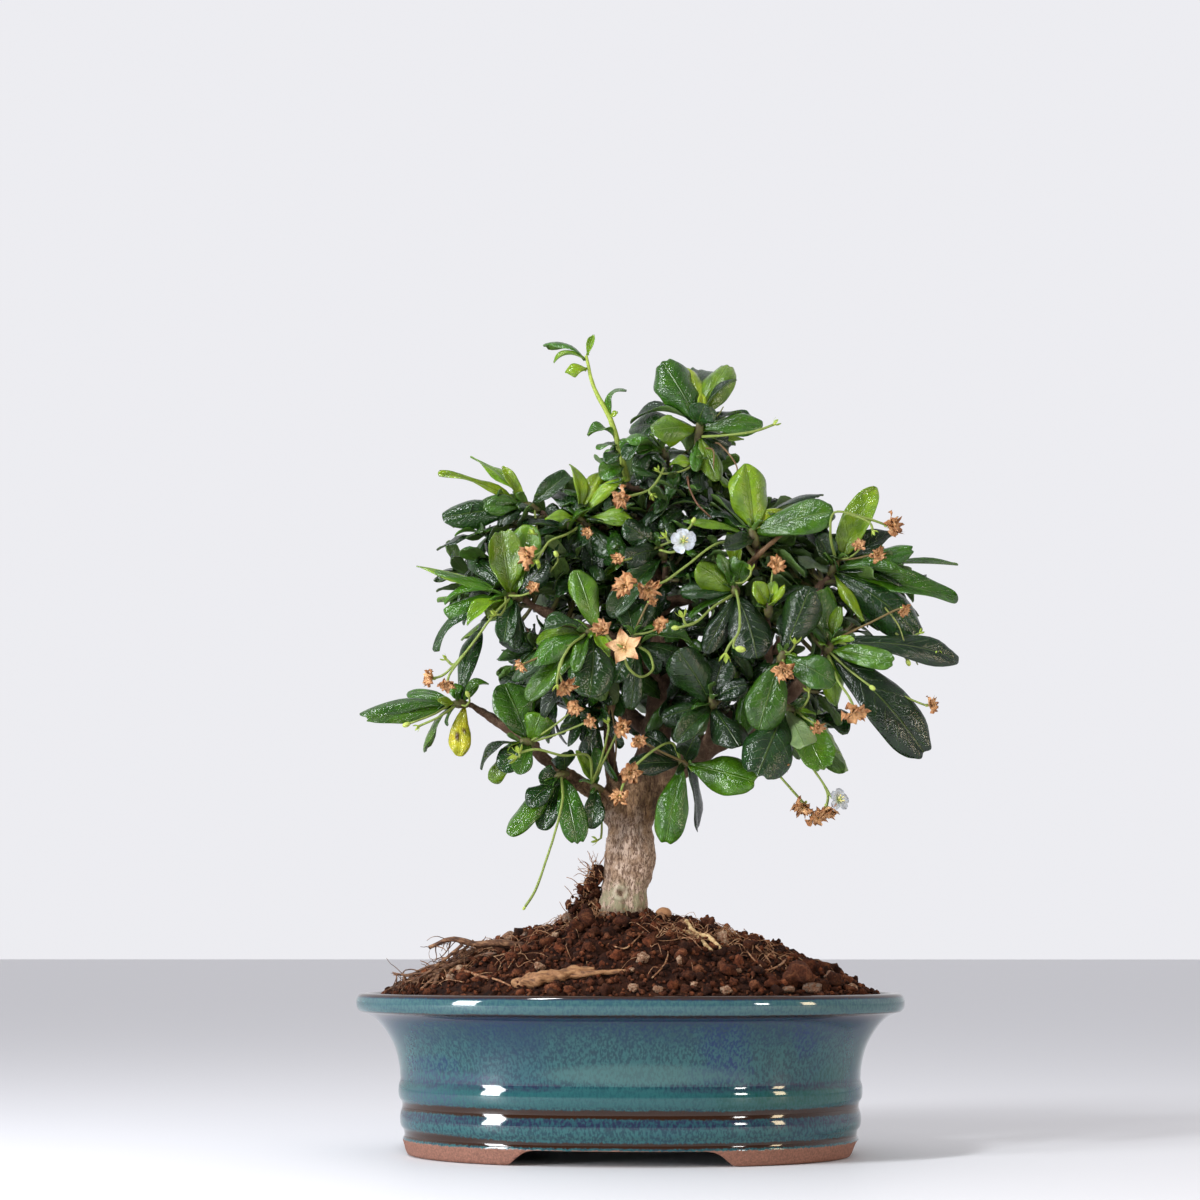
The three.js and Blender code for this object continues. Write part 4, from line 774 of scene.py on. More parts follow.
def addCrumb(bm, place, size, level, shade, dice):
    # One crumb of soil: a ball pushed about until it is a rough clod, plainer where it is small
    if size < soil["plainUnder"]:
        level = 1
    spin = Matrix.Rotation(dice.uniform(0, 6.28), 4, Vector((dice.random(), dice.random(), 1)))
    shape = Matrix.Diagonal((size * dice.uniform(0.75, 1.25), size, size * dice.uniform(0.65, 1), 1))
    made = bmesh.ops.create_icosphere(bm, subdivisions=level, radius=1,
                                      matrix=Matrix.Translation(place) @ spin @ shape)
    warm = dice.uniform(0.9, 1.06)
    wide, narrow = soil["push"]
    for vert in made["verts"]:
        push = 1 + wide * noise.noise(vert.co * (1.1 / size) + place)
        push += narrow * noise.noise(vert.co * (2.6 / size))
        vert.co = place + (vert.co - place) * push
    paint(bm, "grit", made["verts"], (shade * warm, shade, shade / warm))


def addCrumbs(whole, count, level, sizes, seed):
    # Crumbs are made a batch at a time, so that each operator works on a small mesh
    dice = random.Random(seed)
    bareX, bareY, bareReach = soil["bare"]
    for batch in range(0, count, soil["batch"]):
        bm = newPart("grit")
        for crumb in range(min(soil["batch"], count - batch)):
            angle = dice.uniform(0, fullTurn)
            reach = soil["reach"] * math.sqrt(dice.random()) * soil["full"]
            place = Vector((reach * math.cos(angle), reach * math.sin(angle), 0))
            toOval(place)
            size = sizes[0] * (sizes[1] / sizes[0]) ** (dice.random() ** 2)
            if math.hypot(place.x - bareX, place.y - bareY) < bareReach:
                size *= soil["bareShrink"]
            place.z = groundTop(place.x, place.y) + size * dice.uniform(-0.2, 0.45)
            addCrumb(bm, place, size, level, dice.choice(soil["shades"]), dice)
        appendPart(whole, bm)


# Crumbs that cling to the trunk's left side: from low to high, across, depth, up and spread
trunkClod = {
    "count": 330,
    "line": [(-20, 1, 82.5, 6), (-17.5, 0, 88, 5.5), (-15, -1, 94, 4.2), (-12.6, -2, 99.5, 2.4),
             (-11.3, -2, 102, 1)],
    "sizes": (0.5, 1.7),
    "shades": (0.35, 0.5, 0.7, 0.95),
    "level": 2,
    "seed": 33,
}


def clodPlace(share, dice):
    line = trunkClod["line"]
    stretch = min(int(share * (len(line) - 1)), len(line) - 2)
    weight = share * (len(line) - 1) - stretch
    across, depth, up, spread = mixed(line[stretch], line[stretch + 1], weight)
    away = scatter(dice, 1).normalized()
    return Vector((across, depth, up)) + away * spread * dice.random() ** 0.5


def addTrunkClod(whole):
    dice = random.Random(trunkClod["seed"])
    bm = newPart("grit")
    for crumb in range(trunkClod["count"]):
        size = between(*trunkClod["sizes"], dice.random() ** 2)
        place = treeTurn @ clodPlace(dice.random() ** 1.2, dice)
        addCrumb(bm, place, size, trunkClod["level"], dice.choice(trunkClod["shades"]), dice)
    appendPart(whole, bm)


# Large clods, as seen from the front: across, up, size and shade
largeClods = [
    (-15.7, 82.5, 4, 0.75), (61, 63.4, 5.8, 1), (66.3, 65.7, 3.6, 0.6), (28.9, 81.5, 2.4, 0.7),
    (36.4, 64.6, 2.6, 0.95), (-62, 70, 2.4, 0.6), (75, 60.5, 3, 0.6), (-20, 80, 2.6, 0.6),
    (52, 60, 2.6, 0.8), (-3, 82, 2.5, 0.7), (44, 74, 2.3, 0.65), (-30, 75, 2.4, 0.8), (70, 59, 2.6, 0.5),
    (2, 70, 2.2, 0.9), (22, 62, 2.4, 0.75), (-50, 64, 2.2, 0.7), (8, 76, 2.4, 0.7),
]


def addLargeClods(whole):
    dice = random.Random(7)
    for across, up, size, shade in largeClods:
        part = newPart("grit")
        addCrumb(part, treeTurn @ groundSeen(across, up, size * 0.45), size, 3, shade, dice)
        appendPart(whole, part)


def makeSoil():
    earth = [soilFinish()]
    bm = soilShape()
    bm.verts.layers.float_color.new("grit")
    # the mound is painted dark as shade between the crumbs
    paint(bm, "grit", bm.verts, [soil["moundPaintedShade"]] * 3)
    addPiece("soil_mound", bm, earth, potPlace, ["soil"])
    for kind, (count, level, sizes, seed) in soil["crumbs"].items():
        bm = newPart("grit")
        addCrumbs(bm, count, level, sizes, seed)
        if kind == "coarse":
            addTrunkClod(bm)
            addLargeClods(bm)
        addPiece("soil_crumbs_" + kind, bm, earth, potPlace)


def onSoil(x, y, lift):
    turned = treeTurn @ Vector((x, y, 0))
    return Vector((x, y, groundTop(turned.x, turned.y) + lift))


def groundSeen(across, up, lift=0):
    # The place on the soil that is seen there from the front, or else the nearest to it
    nearest, least = None, math.inf
    for depth in range(-70, 41):
        point = sight(across, up, depth)
        ground = onSoil(point.x, point.y, lift)
        gap = point.z - ground.z
        if gap < least:
            nearest, least = ground, gap
        if gap <= 0:
            break
    return nearest


makeSoil()
print("soil")


# Roots that show on the soil, hairs and stones

rootLines = {
    "surface_root": [([(-41, -53, 0.2), (-33, -57, 1.2), (-22, -57.5, 1), (-13, -56, 0.4)],
                      [1.6, 2.6, 2.3, 1.2]),
                     ([(-24, -57.5, 0.8), (-12, -58.5, 0.7), (-2, -59, 0.3)], [1.2, 0.9, 0.6])],
    "root_tangle": [([(-78, -20, 0.6), (-68, -26, 1.4), (-58, -30, 0.3)], [0.6, 0.9, 0.6]),
                    ([(-74, -32, 0.5), (-67, -26, 1.6), (-64, -14, 0.6)], [0.6, 0.9, 0.6]),
                    ([(-70, -36, 0.4), (-66, -27, 1.5), (-52, -24, 0.4)], [0.6, 0.9, 0.6])],
    "straw_root": [([(20, -18, 0.5), (23, -25, 1.2), (28, -31, 0.8), (32, -36, 0.4)], [0.7, 1, 0.8, 0.6]),
                   ([(18, -26, 0.4), (23, -25.5, 1.1), (27, -24, 0.5)], [0.7, 0.9, 0.6]),
                   ([(24, -27, 1), (26, -34, 0.7), (28, -40, 0.3)], [0.8, 0.7, 0.6])],
}
rootLooks = {
    "surface_root": ("root_tan", [(0.07, 0.026, 0.011), (0.26, 0.118, 0.046), (0.37, 0.2, 0.088)]),
    "root_tangle": ("root_dark", [(0.025, 0.009, 0.004), (0.12, 0.05, 0.022), (0.3, 0.16, 0.08)]),
    "straw_root": ("root_straw", [(0.26, 0.15, 0.05), (0.5, 0.33, 0.15), (0.7, 0.52, 0.28)]),
}
# Rootlets that stand out of the tangle: places in mm, height over the soil, and radii
tangleLines = [
    ([(-38, -22, 0), (-45, -24, 3), (-56, -26, 7.5), (-64, -27, 10.5), (-72, -27, 12)], [1.3, 1.3, 1, 0.6]),
    ([(-56, -26, 8.5), (-61, -25, 5), (-66, -22, 2), (-70, -20, 0)], [0.7, 0.5, 0.35]),
    ([(-60, -27, 9.5), (-66, -30, 6), (-74, -31, 5), (-80, -32, 5)], [0.6, 0.5, 0.3]),
    ([(-66, -26, 1.4), (-74, -28, 4), (-81, -27, 7), (-85, -25, 9)], [0.55, 0.4, 0.22]),
    ([(-62, -26, 1), (-72, -24, 4), (-79, -22, 4.5), (-85, -21, 7)], [0.6, 0.45, 0.25]),
    ([(-50, -25, 5.5), (-57, -22, 2.5), (-62, -19, 0)], [0.7, 0.5, 0.4]),
]
tangle = {"rootlets": 80, "radius": (0.12, 0.3), "reach": (4, 11), "steps": 4, "wander": 0.4, "seed": 21}
# Thin roots that lie on the soil, as seen from the front: radius, then across and up
looseRoots = [
    (0.6, [(-66, 65), (-60, 64), (-55, 62.8), (-49, 61), (-43.7, 58.8)]),
    (0.4, [(42.4, 77), (46.5, 72.7), (49.9, 69.2), (52.2, 65.1)]),
    (0.45, [(57, 68), (54, 66), (50, 64.5), (47, 65.5)]),
    (0.32, [(43, 71.5), (46, 68.5), (47.6, 66.9), (49, 64)]),
    (0.3, [(46.5, 76.2), (50, 73), (55, 70), (60, 69.5)]),
    (0.3, [(8, 62), (12, 66), (14, 70), (13, 74)]),
    (0.3, [(-8, 74), (-2, 72), (2, 75), (5, 79)]),
]


def rootFinish(name, tints):
    finish = Finish(name)
    place = finish.place()
    coarse = finish.grain(finish.stretched(place, (0.35, 1, 1)), 900, 4, 0.6)
    fine = finish.grain(place, 2600, 3, 0.6)
    colour = finish.ramp(coarse, list(zip((0.32, 0.5, 0.66), tints)))
    normal = finish.bump(coarse + fine * 0.4, 0.6, 0.0005)
    return finish.skin({"Base Color": colour, "Roughness": 0.75, "Normal": normal})


def addTangle(bm):
    lines = []
    for points, radii in tangleLines:
        path = Path([onSoil(*point) for point in points])
        addTube(bm, path, radii, 8, 26, uneven=0.5, seed=3)
        lines.append(path)
    dice = random.Random(tangle["seed"])
    for rootlet in range(tangle["rootlets"]):
        path = lines[dice.randrange(len(lines))]
        at = path.pointAt(dice.uniform(0.25, 1))
        heading = scattered(dice, (-1, 0.25), (-0.6, 0.6), (-0.9, 0.2)).normalized()
        step = dice.uniform(*tangle["reach"]) / tangle["steps"]
        points = [at]
        for part in range(tangle["steps"]):
            heading = (heading + scatter(dice, tangle["wander"], -0.1)).normalized()
            at = at + heading * step
            at.z = max(at.z, onSoil(at.x, at.y, 0.1).z)
            points.append(at)
        radius = dice.uniform(*tangle["radius"])
        addTube(bm, Path(points), [radius, radius * 0.8, radius * 0.5], 5, 10)


def makeRoots():
    for seed, (name, lines) in enumerate(rootLines.items()):
        slot, tints = rootLooks[name]
        bm = bmesh.new()
        for points, radii in lines:
            path = Path([onSoil(*point) for point in points])
            addTube(bm, path, radii, 14, 60, uneven=0.75 if name == "surface_root" else 0.5, seed=seed)
        if name == "root_tangle":
            addTangle(bm)
        addPiece(name + "_bark", bm, [rootFinish(name, tints)], treePlace, [name])


hairs = {
    "count": 460,
    "onClod": 90,
    "radius": 0.15,
    "reach": (5, 17),
    "sides": 4,
    "steps": 7,
    "from": 84,                        # how far from the middle a hair may start, and end
    "to": 86,
    # Where hairs gather: x, y and spread
    "homes": [(-15, 1, 6), (-70, -25, 14), (-15, 1, 9), (22, -26, 12), (0, 0, 70), (40, -15, 25),
              (-40, -20, 25)],
    "seed": 5,
}


def addHair(whole, points, thick):
    part = bmesh.new()
    radius = hairs["radius"] * thick
    addTube(part, Path(points), [radius, radius * 0.5], hairs["sides"], hairs["steps"])
    appendPart(whole, part)


def makeHairs():
    # Fine roots that lie loosely over the soil, most of them near the clump and the tangle
    dice = random.Random(hairs["seed"])
    bm = bmesh.new()
    for hair in range(hairs["count"]):
        homeX, homeY, spread = hairs["homes"][dice.randrange(len(hairs["homes"]))]
        x = homeX + dice.gauss(0, spread * 0.6)
        y = homeY + dice.gauss(0, spread * 0.5)
        if math.hypot(x, y / pot["depthRatio"]) > hairs["from"]:
            continue
        turn = dice.uniform(0, fullTurn)
        reach = dice.uniform(*hairs["reach"])
        points = []
        for step in range(4):
            rise = 0.25 + (dice.uniform(0, 2.4) if 0 < step < 3 else 0)
            points.append(onSoil(x, y, rise))
            turn += dice.uniform(-0.8, 0.8)
            x += reach / 3 * math.cos(turn)
            y += reach / 3 * math.sin(turn)
        if math.hypot(x, y / pot["depthRatio"]) > hairs["to"]:
            continue
        addHair(bm, points, dice.uniform(0.6, 1.5))
    for hair in range(hairs["onClod"]):
        # Short ragged ends that stand out of the crumbs beside the trunk
        at = clodPlace(dice.random(), dice)
        heading = scattered(dice, (-1, 0.3), (-1, 0.6), (-0.3, 0.9)).normalized()
        step = dice.uniform(1.4, 3)
        points = [at]
        for part in range(3):
            at = at + heading * step
            points.append(at)
            heading = (heading + scatter(dice, 0.5)).normalized()
        addHair(bm, points, dice.uniform(0.8, 1.8))
    for radius, line in looseRoots:
        part = bmesh.new()
        path = Path([groundSeen(across, up, radius * 0.8) for across, up in line])
        addTube(part, path, [radius, radius * 0.9, radius * 0.5], 7, 24, uneven=0.5)
        appendPart(bm, part)
    look = rootFinish("root_hair", [(0.1, 0.035, 0.014), (0.28, 0.12, 0.05), (0.52, 0.32, 0.17)])
    addPiece("root_hairs", bm, [look], treePlace)


pebble = {"place": (12.5, -4, 1.9), "radius": 2.75, "shape": (1.1, 0.95, 0.85), "uneven": 0.12}


def makePebble():
    finish = Finish("pebble_tan")
    place = finish.place()
    grain = finish.grain(place, 500, 4)
    speck = finish.grain(place, 2400, 2)
    colour = finish.mix(grain, (0.3, 0.13, 0.055), (0.42, 0.22, 0.1))
    normal = finish.bump(speck + grain, 0.4, 0.0004)
    look = finish.skin({"Base Color": colour, "Roughness": 0.7, "Normal": normal})
    bm = bmesh.new()
    bmesh.ops.create_icosphere(bm, subdivisions=4, radius=pebble["radius"])
    bmesh.ops.scale(bm, vec=pebble["shape"], verts=bm.verts)
    for vert in bm.verts:
        vert.co *= 1 + pebble["uneven"] * noise.noise(vert.co * 0.5)
    bmesh.ops.translate(bm, vec=onSoil(*pebble["place"]), verts=bm.verts)
    addPiece("soil_pebble", bm, [look], treePlace, ["pebble"])


# Pumice, as seen from the front: across, up, half width, half height in mm, and how grey
pumice = [
    (-43.9, 77.5, 2.6, 1.9, 0.1), (-39.2, 77.2, 1.6, 1.3, 0.9), (34.2, 76.2, 1.8, 3, 0.1),
    (4.8, 68.6, 2.2, 2, 0), (-33.2, 66.3, 2, 1.5, 0), (73.9, 62, 2.6, 2, 0.8), (66.8, 58, 3.2, 2, 1),
    (1.3, 58.2, 2, 1.4, 0.1), (35.2, 57.1, 1.7, 1.5, 0.2), (-23.3, 84, 1.6, 1.9, 0.9),
    (-66, 61.7, 1.5, 1.7, 0.5), (-51.4, 70.6, 2.4, 0.9, 0.9), (10.1, 58.2, 1.8, 1.2, 0),
    (81.4, 58.8, 1.8, 1.3, 0), (-62.5, 65.7, 1.4, 1, 0), (18.3, 68.3, 1.1, 1.5, 0.1),
    (-27.4, 77.3, 1.1, 1, 0), (39.9, 64, 1, 0.9, 0), (23.5, 59.4, 1.2, 0.9, 0), (0.5, 65, 1.1, 0.8, 0),
    (58, 57.5, 2.2, 1.1, 0.6), (-86, 60, 1.3, 1, 1),
]


def makePumice():
    finish = Finish("pumice_cream")
    place = finish.place()
    grain = finish.grain(place, 700, 4, 0.7)
    pits = finish.cells(place, 1800)
    grey = finish.attribute("grey")
    colour = finish.mix(grey, (0.46, 0.31, 0.2), (0.2, 0.15, 0.115))
    colour = finish.mix(finish.rise(grain, 0.38, 0.56) * 0.85, colour, (0.2, 0.08, 0.036))
    normal = finish.bump(pits + grain * 1.5, 0.9, 0.0008)
    look = finish.skin({"Base Color": colour, "Roughness": 0.9, "Normal": normal})
    bm = bmesh.new()
    layer = bm.verts.layers.float.new("grey")
    for across, up, halfWide, halfTall, tone in pumice:
        place = groundSeen(across, up, halfTall * 0.5)
        made = bmesh.ops.create_icosphere(bm, subdivisions=3, radius=1)
        for vert in made["verts"]:
            chip = 1 + 0.5 * noise.noise(vert.co * 1.3 + place) + 0.16 * noise.noise(vert.co * 4 + place)
            local = Vector((vert.co.x * halfWide, vert.co.y * halfWide * 0.8, vert.co.z * halfTall))
            vert.co = place + local * chip
            vert[layer] = tone
    addPiece("soil_pumice", bm, [look], treePlace)


makeRoots()
makeHairs()
makePebble()
makePumice()
print("roots, hairs and pebble")


# Trunk and limbs

# Across, up, half width, half depth
trunkStations = [
    (-2, 66, 9, 9), (-2.5, 78, 10.5, 10), (-3, 88, 9.5, 9.6), (-2.3, 94, 8.6, 9), (-0.9, 99, 9.3, 9),
    (0.1, 105, 9.6, 9), (0, 111, 9, 8.6), (-0.1, 117, 7.9, 8), (-0.9, 122, 9.8, 8.6),
    (0.6, 127, 10, 8.8), (2, 132, 10.6, 8.8), (3.2, 137, 9.6, 7.6),
]
woodLimbs = [
    ([(3, 132, 0), (8, 143, 1), (11, 158, 0), (12, 178, 0), (11, 205, 1), (6, 226, 2), (9, 241, 0),
      (16, 249, -3), (20, 252.5, -5)], [7, 5.6, 5, 4.2, 3.4, 2.8, 2.2, 1.6]),
    ([(5, 131, 0), (16, 138.5, 0), (27, 146, -3), (46, 157, -6), (60, 167, -10), (68, 176, -16)],
     [6.5, 5.2, 4, 3.2, 2.4]),
    ([(-5, 130, 0), (-7.3, 142, -3), (-7.6, 158, -6), (-6, 174, -12)], [3, 2.1, 2, 1.8]),
    ([(-2, 123, 2), (-14, 131, -3), (-27, 139, -6), (-40, 150, -8), (-52, 158.5, -10)],
     [4.4, 3.2, 2.4, 1.9, 1.8]),
    ([(12, 170, 0), (-2, 186, -5), (-18, 192, -9), (-32, 198, -13)], [3, 2.6, 2.4, 2.2]),
    ([(11, 200, 1), (24, 204, -5), (38, 209, -10), (46, 215, -14)], [2.8, 2.2, 1.9, 1.6]),
    ([(44, 156, -6), (52, 176, -4), (62, 196, -6), (70, 206, -9)], [2.8, 2.3, 2.1, 2]),
    ([(9, 232, 1), (-6, 232, -1), (-20, 233, -3), (-28, 234, -5)], [2.2, 1.8, 1.5, 1.3]),
    ([(11, 150, 0), (-8, 166, 12), (-24, 180, 20), (-38, 190, 26)], [3.4, 2.8, 2.2, 1.6]),
    ([(12, 170, 0), (20, 184, 14), (24, 200, 24), (24, 216, 30)], [3.2, 2.6, 2.1, 1.6]),
    ([(30, 148, -3), (40, 160, 12), (56, 172, 22), (70, 182, 26)], [2.8, 2.4, 2, 1.6]),
]
trunk = {
    "sides": 40,
    "rows": 60,
    "ridges": [(0.05, 4, 0.11, 0), (0.035, 7, -0.06, 1)],      # depth, how many, lean and turn
    "voxel": 0.62,
    "soften": (0.5, 4),
    "rootAngles": [20, 110, 205, 290],
    "rootRadii": [5, 3.6, 1.6],
    "rootLine": [(2, 78), (17, 64), (38, 46)],
    "striation": 0.42,               # how deep the upright furrows are, mm
    "knot": (-3, 93, 2.8),           # across, up and size of the eye-like knot on the front
    "twigRadii": [1.8, 1.5, 1.2, 1.2],
}
